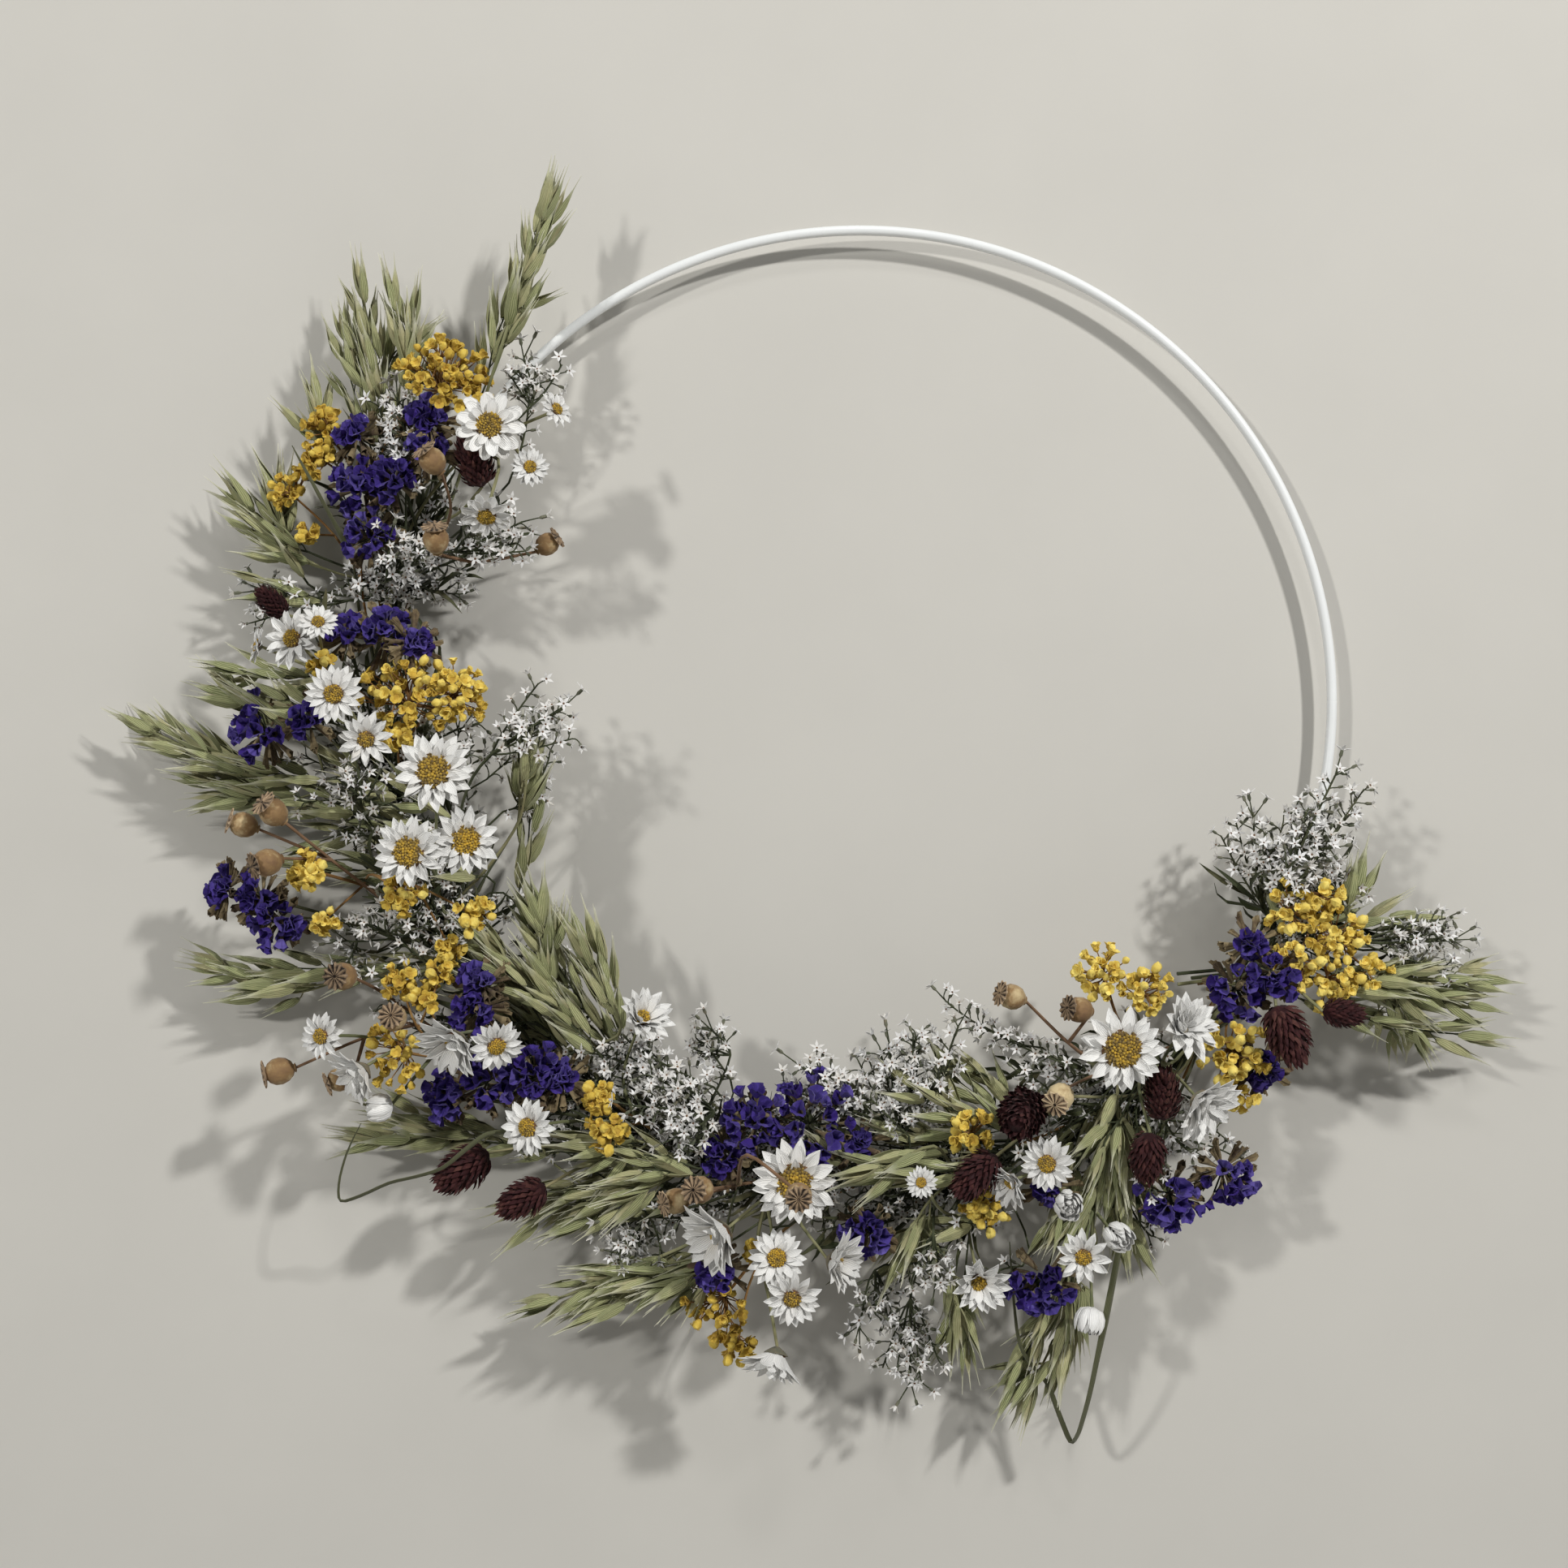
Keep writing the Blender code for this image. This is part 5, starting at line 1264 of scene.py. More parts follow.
def relief_node(tree, shader, height, strength, distance):
    """A bump from a height, in metres, on the shader's normal."""
    relief = node(tree, "Bump")
    relief.inputs["Strength"].default_value = strength
    relief.inputs["Distance"].default_value = distance
    wire_up(tree, (height, relief.inputs["Height"]), (relief.outputs["Normal"], shader.inputs["Normal"]))


def wire_up(tree, *pairs):
    """Link each output to its input."""
    for source, target in pairs:
        tree.links.new(source, target)


def calc(tree, operation, first, second=None, third=None, clamp=False):
    """A math node on sockets or numbers; gives its output."""
    maths = node(tree, "Math", operation=operation, use_clamp=clamp)
    for number, value in enumerate((first, second, third)):
        if value is None:
            continue
        if isinstance(value, (int, float)):
            maths.inputs[number].default_value = value
        else:
            tree.links.new(value, maths.inputs[number])
    return maths.outputs[0]


def blend_colours(tree, factor, first, second):
    """A colour mix on sockets or values; gives its output."""
    mix = node(tree, "Mix", data_type="RGBA")
    for socket, value in ((mix.inputs["Factor"], factor), (mix.inputs["A"], first),
                          (mix.inputs["B"], second)):
        if isinstance(value, (int, float)):
            socket.default_value = value
        elif isinstance(value, tuple):
            socket.default_value = (*value, 1)
        else:
            tree.links.new(value, socket)
    return mix.outputs["Result"]


sample, _, _ = new_group("sample", [("Scale", "Float", 1.0)], [("Value", "Float")])
print("sockets of a sample group:", [socket.name for socket in sample.interface.items_tree])
bpy.data.node_groups.remove(sample)

# %% [markdown]
# Dried petals and husks are never one colour. The first group breaks a colour up in soft patches,
# the second draws the fine lines that run along a husk, and the third ages the whole.

# %% Mottle and veins
def mottle_group():
    """Soft patches in the object's own space."""
    group, given, out = new_group("mottle", [("Scale", "Float", 400.0)], [("Value", "Float")])
    place = node(group, "TexCoord")
    noise = node(group, "TexNoise")
    noise.inputs["Detail"].default_value = 3.0
    noise.inputs["Roughness"].default_value = 0.6
    wire_up(group, (place.outputs["Object"], noise.inputs["Vector"]),
            (given.outputs["Scale"], noise.inputs["Scale"]))
    spread = calc(group, "MULTIPLY_ADD", noise.outputs["Fac"], 2.4, -0.7, clamp=True)
    wire_up(group, (spread, out.inputs["Value"]))
    return group


def veins_group():
    """Lines along a strip, from its UV map, a little wavy and not all alike."""
    group, given, out = new_group(
        "veins", [("Count", "Float", 9.0), ("Waver", "Float", 0.5)], [("Value", "Float"), ("Along", "Float")])
    place = node(group, "UVMap")
    place.uv_map = "UVMap"
    split = node(group, "SeparateXYZ")
    noise = node(group, "TexNoise")
    noise.inputs["Scale"].default_value = 3.0
    wire_up(group, (place.outputs["UV"], split.inputs[0]), (place.outputs["UV"], noise.inputs["Vector"]))
    shift = calc(group, "MULTIPLY", noise.outputs["Fac"], given.outputs["Waver"])
    across = calc(group, "MULTIPLY", split.outputs["X"], given.outputs["Count"])
    wave = calc(group, "SINE", calc(group, "MULTIPLY", calc(group, "ADD", across, shift), TWO_PI))
    wire_up(group, (calc(group, "MULTIPLY_ADD", wave, 0.5, 0.5), out.inputs["Value"]),
            (split.outputs["Y"], out.inputs["Along"]))
    return group


def grown_group():
    """Young, ripe and dry colours, mixed by the copy's tone and a mottle."""
    group, given, out = new_group(
        "grown",
        [("Young", "Color", (0.5, 0.5, 0.5, 1)), ("Ripe", "Color", (0.5, 0.5, 0.5, 1)),
         ("Dry", "Color", (0.5, 0.5, 0.5, 1)), ("Scale", "Float", 300.0), ("Patchy", "Float", 0.3)],
        [("Color", "Color"), ("Patch", "Float")])
    tone = node(group, "Attribute", attribute_name="tone")
    patch = group_node(group, MOTTLE)
    wire_up(group, (given.outputs["Scale"], patch.inputs["Scale"]))
    offset = calc(group, "MULTIPLY", calc(group, "SUBTRACT", patch.outputs["Value"], 0.5),
                  given.outputs["Patchy"])
    level = calc(group, "ADD", tone.outputs["Fac"], offset, clamp=True)
    first = calc(group, "MULTIPLY", level, 2.0, clamp=True)
    second = calc(group, "MULTIPLY_ADD", level, 2.0, -1.0, clamp=True)
    lower = blend_colours(group, first, given.outputs["Young"], given.outputs["Ripe"])
    upper = blend_colours(group, second, lower, given.outputs["Dry"])
    wire_up(group, (upper, out.inputs["Color"]), (patch.outputs["Value"], out.inputs["Patch"]))
    return group


MOTTLE = mottle_group()
VEINS = veins_group()
GROWN = grown_group()
print("groups:", [group.name for group in (MOTTLE, VEINS, GROWN)])

# %% [markdown]
# ## The materials
#
# `plant_material` covers most dried surfaces: the three colours of `grown`, veins that darken or
# lighten it, another colour toward the tip, and a bump from the veins and the mottle together.
# The colours are linear values judged from the photograph.

# %% One recipe for dried surfaces
def plant_material(name, young, ripe, dry, vein=None, veins=9.0, vein_depth=0.5, tip=None,
                   tip_from=0.6, scale=300.0, patchy=0.35, roughness=0.75, sheen=0.1,
                   bump=0.0002, vein_bump=0.5):
    """A dried surface: aged colour, veins along it, a tip of another colour, and relief."""
    material, tree, shader = new_material(name)
    grown = group_node(tree, GROWN, Young=(*young, 1), Ripe=(*ripe, 1), Dry=(*dry, 1),
                       Scale=scale, Patchy=patchy)
    colour = grown.outputs["Color"]
    height = grown.outputs["Patch"]
    if vein:
        lines = group_node(tree, VEINS, Count=veins)
        sharp = calc(tree, "POWER", lines.outputs["Value"], 2.0)
        colour = blend_colours(tree, calc(tree, "MULTIPLY", sharp, vein_depth), colour, vein)
        height = calc(tree, "ADD", calc(tree, "MULTIPLY", height, 1 - vein_bump),
                      calc(tree, "MULTIPLY", lines.outputs["Value"], vein_bump))
        if tip:
            part = calc(tree, "DIVIDE", calc(tree, "SUBTRACT", lines.outputs["Along"], tip_from),
                        1 - tip_from, clamp=True)
            colour = blend_colours(tree, part, colour, tip)
    rough = calc(tree, "MULTIPLY_ADD", grown.outputs["Patch"], 0.2, roughness - 0.1, clamp=True)
    wire_up(tree, (colour, shader.inputs["Base Color"]), (rough, shader.inputs["Roughness"]))
    relief_node(tree, shader, height, 0.6, bump)
    shader.inputs["Sheen Weight"].default_value = sheen
    shader.inputs["Specular IOR Level"].default_value = 0.15
    return material


sample = plant_material("sample", (0.5, 0.4, 0.3), (0.4, 0.3, 0.2), (0.3, 0.2, 0.1), vein=(0.6, 0.5, 0.4))
print("nodes of a veined material:", len(sample.node_tree.nodes))
bpy.data.materials.remove(sample)

# %% [markdown]
# The greens: oat husks with pale lines and tips, straw stalks, and the dark olive of the star
# sprays' twigs and of the leaves deep in the wreath, darkened further as painted shade for that depth.

# %% Greens and straw
HUSK = plant_material("oat_husk", (0.15, 0.18, 0.070), (0.235, 0.25, 0.11), (0.42, 0.38, 0.21),
                      vein=(0.50, 0.50, 0.29), veins=8.0, vein_depth=0.75, tip=(0.74, 0.73, 0.58),
                      tip_from=0.6, roughness=0.6, bump=0.0003)
STRAW = plant_material("straw_stalk", (0.12, 0.14, 0.068), (0.21, 0.205, 0.105), (0.30, 0.235, 0.125),
                       vein=(0.40, 0.38, 0.22), veins=5.0, vein_depth=0.3, scale=120.0)
# These two greens: dark olive of their own, made darker still as painted shade for the depth of the wreath.
GREEN_STALK_AND_SHADE = plant_material("green_stalk", (0.026, 0.033, 0.015), (0.052, 0.060, 0.028),
                             (0.12, 0.105, 0.06), vein=(0.12, 0.13, 0.075), veins=4.0,
                             vein_depth=0.3, scale=150.0)
LEAF_AND_SHADE = plant_material("leaf", (0.028, 0.036, 0.014), (0.052, 0.059, 0.025), (0.12, 0.10, 0.05),
                      vein=(0.105, 0.115, 0.058), veins=7.0, vein_depth=0.4, scale=150.0,
                      roughness=0.6)
BROWN_STALK = plant_material("brown_stalk", (0.13, 0.075, 0.04), (0.17, 0.10, 0.055),
                             (0.26, 0.16, 0.10), vein=(0.30, 0.18, 0.11), veins=4.0,
                             vein_depth=0.4, scale=150.0)
OCHRE_TWIG = plant_material("ochre_twig", (0.28, 0.16, 0.05), (0.22, 0.11, 0.035),
                            (0.14, 0.07, 0.03), vein=(0.34, 0.22, 0.09), veins=3.0,
                            vein_depth=0.3, scale=200.0)
print("stalks and greens:", [material.name for material in
                             (HUSK, STRAW, GREEN_STALK_AND_SHADE, LEAF_AND_SHADE, BROWN_STALK, OCHRE_TWIG)])

# %% [markdown]
# The flowers: papery white for the daisies, with a satin gloss from their fine lines, dull violet
# for the statice over its tan base, and a lemon yellow that dries to ochre.

# %% Whites, violet and yellow
BRACT = plant_material("white_bract", (0.91, 0.91, 0.89), (0.86, 0.85, 0.82), (0.64, 0.57, 0.45),
                       vein=(0.66, 0.66, 0.66), veins=7.0, vein_depth=0.35, scale=220.0,
                       patchy=0.25, roughness=0.55, sheen=0.25, bump=0.00022, vein_bump=0.8)
STAR_WHITE = plant_material("star_white", (0.80, 0.80, 0.80), (0.70, 0.69, 0.67), (0.50, 0.46, 0.38),
                            scale=500.0, patchy=0.3, roughness=0.7, bump=0.0001)
# The calyx's own grey-green, made darker as painted shade for the gaps between the stars.
CALYX_AND_SHADE = plant_material("grey_calyx", (0.09, 0.10, 0.065), (0.16, 0.16, 0.115), (0.24, 0.19, 0.125),
                       scale=700.0, patchy=0.7, roughness=0.8)
VIOLET = plant_material("statice_violet", (0.034, 0.015, 0.165), (0.056, 0.035, 0.225),
                        (0.12, 0.092, 0.33), scale=260.0, patchy=0.6, roughness=0.7,
                        sheen=0.1, bump=0.0003)
FAN = plant_material("tan_fan", (0.23, 0.18, 0.10), (0.16, 0.12, 0.065), (0.09, 0.06, 0.04),
                     scale=600.0, patchy=0.9, roughness=0.8)
LEMON = plant_material("yellow_bud", (0.88, 0.72, 0.19), (0.64, 0.45, 0.07), (0.34, 0.20, 0.03),
                       scale=450.0, patchy=0.5, roughness=0.65, bump=0.0002)
GOLD = plant_material("disc_gold", (0.60, 0.38, 0.04), (0.40, 0.27, 0.05), (0.16, 0.11, 0.045),
                      scale=1500.0, patchy=0.8, roughness=0.8)
RING = plant_material("disc_ring", (0.12, 0.06, 0.03), (0.16, 0.09, 0.045), (0.24, 0.17, 0.10),
                      scale=900.0, patchy=0.6, roughness=0.85)
print("flowers:", [material.name for material in (BRACT, STAR_WHITE, CALYX_AND_SHADE, VIOLET, FAN, LEMON, GOLD, RING)])

# %% [markdown]
# The seed heads: tan capsules, mottled and darker with age, with crowns whose hollows between the
# rays are painted nearly black as shade, and the dark red-brown of canary grass.

# %% Browns and burgundy
CAPSULE = plant_material("poppy_capsule", (0.62, 0.50, 0.29), (0.28, 0.175, 0.08),
                         (0.19, 0.11, 0.06), scale=260.0, patchy=0.7, roughness=0.65,
                         bump=0.0003)
# The crown's third colour, nearly black, is painted shade for the hollows between its rays; the other two are
# its tan.
CROWN_AND_RAY_SHADE = plant_material("poppy_crown", (0.60, 0.48, 0.31), (0.38, 0.27, 0.17), (0.010, 0.006, 0.005),
                       scale=500.0, patchy=0.4, roughness=0.8)
SCALE_RED = plant_material("burgundy_scale", (0.022, 0.006, 0.007), (0.045, 0.012, 0.013),
                           (0.10, 0.040, 0.032), scale=500.0, patchy=0.6, roughness=0.7,
                           sheen=0.05)
BLADE_GREEN = plant_material("blade_green", (0.075, 0.080, 0.038), (0.11, 0.11, 0.055),
                             (0.18, 0.14, 0.085), vein=(0.17, 0.17, 0.10), veins=9.0,
                             vein_depth=0.5, scale=90.0, roughness=0.5)
print("seed heads:", [material.name for material in (CAPSULE, CROWN_AND_RAY_SHADE, SCALE_RED, BLADE_GREEN)])

# %% [markdown]
# ## One of each head
#
# Each head is modelled once, standing at the origin with its stem end at the bottom and +Z the
# way it faces. `splay` sets a strip round the stem: a lean of 0 lies flat, 90 degrees stands up.
# A strip's rows are kept as shares of its length, half width and lift, for strips of any size.

# %% Rows from shares
def rows_of(table, length, half, lift):
    """Rows for a blade from shares of its length, half width and lift."""
    return [(a * length, b * half, c * lift) for a, b, c in table]


print("rows of a 10 mm strip, mm:", rows_of([(0, 1, 0), (1, 0.5, 0.2)], 10, 2, 1))

# %% [markdown]
# An oat spikelet is two long boat-shaped husks, one inside the other, with a thin pale one
# between. Dry ones gape in a V, so there is a closed, a half open and an open one.

# %% Oat spikelets
OAT_LENGTH = 22 * MM
OAT_ROWS = [(0, 0.25, 0), (0.08, 0.75, -0.6), (0.24, 1, -1), (0.42, 0.84, -0.9),
            (0.6, 0.44, -0.5), (0.74, 0.13, -0.15), (1, 0.02, 0.1)]


def oat_spikelet(name, gape, seed):
    draw = random.Random(seed)
    husk = dressed(blade("husk", rows_of(OAT_ROWS, OAT_LENGTH, 2.3 * MM, 1.8 * MM), cup=0.75), HUSK)
    inner = dressed(
        blade("inner husk", rows_of(OAT_ROWS, 0.94 * OAT_LENGTH, 1.6 * MM, 1.2 * MM), cup=0.5), HUSK)
    parts = [
        placed(husk, splay(0, math.radians(90 - gape)), 0.1),
        placed(husk, splay(math.pi, math.radians(90 - gape), size=draw.uniform(0.86, 0.94)), 0.25),
        placed(inner, splay(math.pi / 2, math.radians(90 - 0.4 * gape)), 0.75),
    ]
    discard(husk, inner)
    return smooth(joined(name, parts))


SPIKELETS = [oat_spikelet("spikelet", gape, seed) for seed, gape in enumerate((1, 3, 6, 11))]
print("faces of a spikelet:", len(SPIKELETS[0].data.polygons))

# %% [markdown]
# A tiny star flower: five narrow pointed lobes on a grey-green tube, dark in the middle. There are
# hundreds, so it has only a few dozen faces.

# %% Star flowers
STAR_LOBE = [(0, 0.6, 0), (0.45, 1, 0.6), (1, 0.08, 0)]
STAR_TUBE = 2.4 * MM


def star_flower(name, lean, seed):
    draw = random.Random(seed)
    lobe = dressed(blade("lobe", rows_of(STAR_LOBE, 2.5 * MM, 0.52 * MM, 0.2 * MM), across=1, cup=0),
                   STAR_WHITE)
    tube = dressed(turned("tube", 5, [(0.25 * MM, 0), (0.62 * MM, 0.9 * MM), (0.5 * MM, STAR_TUBE)]),
                   CALYX_AND_SHADE)
    eye = dressed(turned("eye", 5, [(0.5 * MM, STAR_TUBE), (0.2 * MM, STAR_TUBE + 0.35 * MM)]), RING)
    parts = [tube, eye]
    for i in range(5):
        turn = TWO_PI * i / 5 + draw.uniform(-0.1, 0.1)
        tip_lean = math.radians(lean + draw.uniform(-10, 10))
        parts.append(placed(lobe, splay(turn, tip_lean, 0.3 * MM, STAR_TUBE), draw.uniform(0, 0.3)))
    discard(lobe)
    return joined(name, parts)


STARS_MADE = [star_flower("star", lean, seed) for seed, lean in enumerate((12, 28, 48))]
print("faces of a star:", len(STARS_MADE[0].data.polygons))

# %% [markdown]
# The yellow flowers come shut, as pleated balls, and open, as a cup of six blunt petals. Pleats
# are every other vertex of a ring drawn inward.

# %% Yellow buds
def pleat(obj, sides, inward, low, high, lift=0.0):
    """Draw every other column of a turned form inward and up."""
    edit(obj)

    def in_column(v):
        column = round(math.atan2(v.co.y, v.co.x) / (TWO_PI / sides))
        return column % 2 == 0 and low < v.co.z < high and v.co.xy.length > 1e-6

    pick(obj, in_column)
    bpy.ops.transform.resize(value=(inward, inward, 1), center_override=(0, 0, 0))
    if lift:
        bpy.ops.transform.translate(value=(0, 0, lift))
    only(obj)


def crumple(obj, amount, seed, above=-1.0):
    """Shift the vertices above a height a little, each its own way."""
    edit(obj)
    pick(obj, lambda v: v.co.z > above)
    bpy.ops.transform.vertex_random(offset=amount, seed=seed)
    only(obj)


def yellow_bud(name):
    rings = [(0.4, 0), (1.3, 0.6), (1.75, 1.7), (1.6, 2.8), (0.9, 3.5), (0.2, 3.7)]
    bud = dressed(turned(name, 10, scaled(rings, MM)), LEMON)
    pleat(bud, 10, 0.76, 0.3 * MM, 3.6 * MM)
    crumple(bud, 0.3 * MM, 5)
    set_tone(bud, 0.0)
    return smooth(bud, 45)


def yellow_flower(name, lean, seed):
    draw = random.Random(seed)
    petal_rows = [(0, 0.6, 0), (0.5, 1, 0.5), (0.85, 0.85, 0.2), (1, 0.35, -0.3)]
    petal = dressed(blade("petal", rows_of(petal_rows, 2.3 * MM, 1.0 * MM, 0.4 * MM), across=1, cup=0),
                    LEMON)
    base = dressed(turned("base", 6, [(0.35 * MM, 0), (1.1 * MM, 0.9 * MM), (1.1 * MM, 1.8 * MM)]),
                   LEMON)
    parts = [placed(base, Matrix(), 0.35)]
    for i in range(6):
        turn = TWO_PI * i / 6 + draw.uniform(-0.15, 0.15)
        up = math.radians(lean + draw.uniform(-15, 15))
        parts.append(placed(petal, splay(turn, up, 0.5 * MM, 1.1 * MM, draw.uniform(-0.4, 0.4)),
                            draw.uniform(0, 0.25)))
    discard(petal, base)
    return joined(name, parts)


YELLOW_HEADS = [yellow_bud("shut"), yellow_flower("cup", 66, 1), yellow_flower("open", 46, 2)]
print("faces of the yellow heads:", [len(head.data.polygons) for head in YELLOW_HEADS])

# %% [markdown]
# A statice floret is a papery funnel: tan and ribbed below, violet and crumpled at the rim.
# `vertex_random` crumples the rim, with another seed for each variant.

# %% Statice florets
FLORET_SIZE = 9 * MM
FLORET_SIDES = 14
FLORET_TOP = 10 * MM


def papery_funnel(name, rings, inward, pleat_from, lift, crumple_from, amount, seed):
    """An open funnel from rings in mm, pleated toward its rim, with the rim crumpled."""
    form = turned(name, FLORET_SIDES, scaled(rings, MM), fill="NOTHING")
    pleat(form, FLORET_SIDES, inward, pleat_from, FLORET_TOP, lift)
    crumple(form, amount, seed, above=crumple_from)
    finish_modifier(form, "SOLIDIFY", thickness=THIN_PAPER, offset=0.0)
    set_tone(form, 0.0)
    return form


def statice_floret(name, seed):
    """Tan and narrow below, violet and ruffled at the rim."""
    rings = [(0.35, 0), (0.6, 2.6), (1.1, 4.8), (2.2, 6.6), (3.5, 8.3)]
    floret = papery_funnel(name, rings, 0.74, 6 * MM, 0.9 * MM, 6 * MM, 0.8 * MM, seed)
    two_toned(floret, FAN, VIOLET, 4.6 * MM)
    return floret


def calyx_tuft(name):
    """The bare calyx of a faded floret: a pleated tan funnel with a ragged rim."""
    rings = [(0.3, 0), (0.6, 2.4), (1.0, 5.0), (1.5, 7.6)]
    return dressed(papery_funnel(name, rings, 0.4, 4 * MM, 1.3 * MM, 7 * MM, 0.5 * MM, 6), FAN)


CALYX_TUFT = calyx_tuft("tuft")
FLORETS = [statice_floret("floret", seed) for seed in (3, 8, 14, 21)]
print("faces of a floret:", len(FLORETS[0].data.polygons))

# %% [markdown]
# The golden disc of an everlasting daisy is a dome of tiny florets. They follow the golden turn, as
# in a sunflower, and darken or lighten toward the rim.

# %% A disc of tiny florets
def disc_of_florets(disc, height, count, grain_size, seed, rim_tone, colour):
    """A dome covered by tiny florets in the golden spiral."""
    draw = random.Random(seed)
    grain = dressed(turned("grain", 5, [(0.5, 0), (0.6, 0.5), (0.15, 1.1)]), colour)
    parts = []
    for i in range(count):
        part = math.sqrt((i + 0.5) / count)
        reach = disc * part
        rise = height * math.sqrt(max(0, 1 - 0.9 * part * part))
        turn = GOLDEN_TURN * i
        outward = Vector((math.cos(turn), math.sin(turn), 0))
        way = (outward * part * 0.9 + Vector((0, 0, 1))).normalized()
        place = outward * reach + Vector((0, 0, rise))
        tone = draw.uniform(0, 0.75) + rim_tone * part ** 3
        matrix = stand(place, way, turn) @ Matrix.Scale(grain_size * draw.uniform(0.8, 1.25), 4)
        parts.append(placed(grain, matrix, tone))
    discard(grain)
    return parts


print("the golden turn between two florets, degrees:", round(math.degrees(GOLDEN_TURN), 1))

# %% [markdown]
# The whole flower is layers of papery white bracts, each layer shorter and steeper than the one
# below, round the disc. The big ones carry a wide mottled disc, the small ones a small one in a
# dark ring. Every bract gets its own turn, lean and length from a seeded draw.

# %% Whole daisies
DAISY_RADIUS = 10 * MM
POINTED = [(0, 0.35, 0), (0.2, 0.72, 0.4), (0.45, 1, 0.7), (0.7, 0.88, 0.6), (0.88, 0.45, 0.1),
           (1, 0.04, -0.5)]
BLUNT = [(0, 0.35, 0), (0.2, 0.75, 0.4), (0.45, 1, 0.7), (0.72, 1.05, 0.5), (0.92, 0.75, 0.1),
         (1, 0.25, -0.3)]


def daisy(name, bract, layers, disc, grains, rim_tone, seed, sweep=0.0, half_width=0.2):
    """Bracts in layers of (count, length, lean), round a disc of this share of the width."""
    draw = random.Random(seed)
    radius = DAISY_RADIUS
    strip = dressed(blade("bract", rows_of(bract, radius, half_width * radius, 0.06 * radius), across=4,
                          cup=0.3, thick=THIN_PAPER), BRACT)
    parts = []
    for number, (count, length, lean) in enumerate(layers):
        for i in range(count):
            turn = TWO_PI * (i + 0.5 * (number % 2)) / count + draw.uniform(-0.07, 0.07)
            up = math.radians(lean + draw.uniform(-6, 7) + sweep * math.cos(turn))
            start = 0.2 * radius
            size = (length - 0.2) * draw.uniform(0.92, 1.06)
            matrix = splay(turn, up, start, (0.16 + 0.035 * number) * radius,
                           draw.uniform(-0.3, 0.3), size)
            parts.append(placed(strip, matrix, draw.uniform(0, 0.35)))
    discard(strip)
    foot = [(0.07, 0), (0.2, 0.08), (0.3, 0.16), (0.36, 0.22)]
    cup_part = dressed(turned("foot", 12, scaled(foot, radius)), CALYX_AND_SHADE)
    set_tone(cup_part, 0.6)
    parts.append(cup_part)
    if disc:
        base = [(disc, 0.18), (disc * 1.12, 0.27), (disc * 0.92, 0.36), (disc * 0.3, 0.42)]
        dome = dressed(turned("dome", 20, scaled(base, radius)), RING)
        parts.append(dome)
        grain_size = disc * radius * 1.95 / math.sqrt(grains)
        florets = disc_of_florets(disc * radius * 0.95, 0.2 * radius, grains, grain_size, seed,
                                  rim_tone, GOLD)
        for floret in florets:
            floret.data.transform(Matrix.Translation((0, 0, 0.22 * radius)))
        parts += florets
    return smooth(joined(name, parts), 60)


DAISY_KINDS = {
    "wide": daisy("wide", POINTED, [(13, 1.0, 2), (12, 0.95, 11), (9, 0.76, 22)], 0.44, 120, 0.5, 11),
    "wide_cupped": daisy("wide_cupped", POINTED, [(13, 1.0, 8), (12, 0.93, 20), (8, 0.72, 36)],
                         0.42, 110, 0.5, 12),
    "small": daisy("small", POINTED, [(11, 1.0, 3), (11, 0.94, 12), (5, 0.68, 24)], 0.29, 64, 0.0, 13),
    "small_cupped": daisy("small_cupped", POINTED, [(11, 1.0, 12), (10, 0.9, 26), (6, 0.64, 42)],
                          0.27, 56, 0.1, 14),
    "blunt": daisy("blunt", BLUNT, [(11, 1.0, 5), (10, 0.95, 16), (7, 0.72, 32)], 0.36, 90, 0.1, 15,
                   half_width=0.23),
    "side_seen": daisy("side_seen", POINTED, [(11, 1.15, 34), (10, 1.1, 48), (8, 1.0, 62)], 0.26, 40,
                       0.0, 17, sweep=12),
    "half_open": daisy("half_open", POINTED, [(12, 1.3, 30), (11, 1.25, 46), (10, 1.1, 60), (7, 0.9, 72)],
                       0.0, 0, 0.0, 16, sweep=30),
}
print("faces of the daisies:", {k: len(v.data.polygons) for k, v in DAISY_KINDS.items()})

# %% [markdown]
# A closed bud is the same flower before it opens: wide bracts lie round a ball. Their rows follow
# the ball's side, so standing them up at 90 degrees wraps them round it.

# %% Closed buds
BALL_ROWS = [(0, 0.3, -0.25), (0.35, 0.8, -0.85), (0.9, 1, -1), (1.4, 0.85, -0.94),
             (1.8, 0.5, -0.78), (2.05, 0.06, -0.6)]


def closed_bud(name):
    draw = random.Random(31)
    radius = 4 * MM
    strip = dressed(blade("bract", rows_of(BALL_ROWS, radius, 0.46 * radius, radius), across=4,
                          cup=0.5, thick=THIN_PAPER), BRACT)
    parts = []
    for count, size, height in ((7, 0.96, -0.1), (6, 0.82, 0.2), (6, 0.66, 0.5), (5, 0.48, 0.85),
                                (4, 0.3, 1.2)):
        for i in range(count):
            turn = TWO_PI * i / count + 0.6 * size + draw.uniform(-0.1, 0.1)
            lean = math.radians(86 + draw.uniform(-12, 6))
            parts.append(placed(strip, splay(turn, lean, 0, height * radius, 0, size),
                                draw.uniform(0, 0.5)))
    foot = dressed(turned("foot", 8, [(0.5 * MM, 0), (1.4 * MM, 0.7 * MM), (1.2 * MM, 1.2 * MM)]), CALYX_AND_SHADE)
    discard(strip)
    return smooth(joined(name, parts + [foot]), 60)


CLOSED_BUD = closed_bud("closed_bud")
print("faces of the closed bud:", len(CLOSED_BUD.data.polygons))

# %% [markdown]
# A poppy capsule is a dry barrel with a flat lid of rays. It is turned from one disc. Drawing in
# every other column gives the barrel its faint ribs and the lid its scallops.

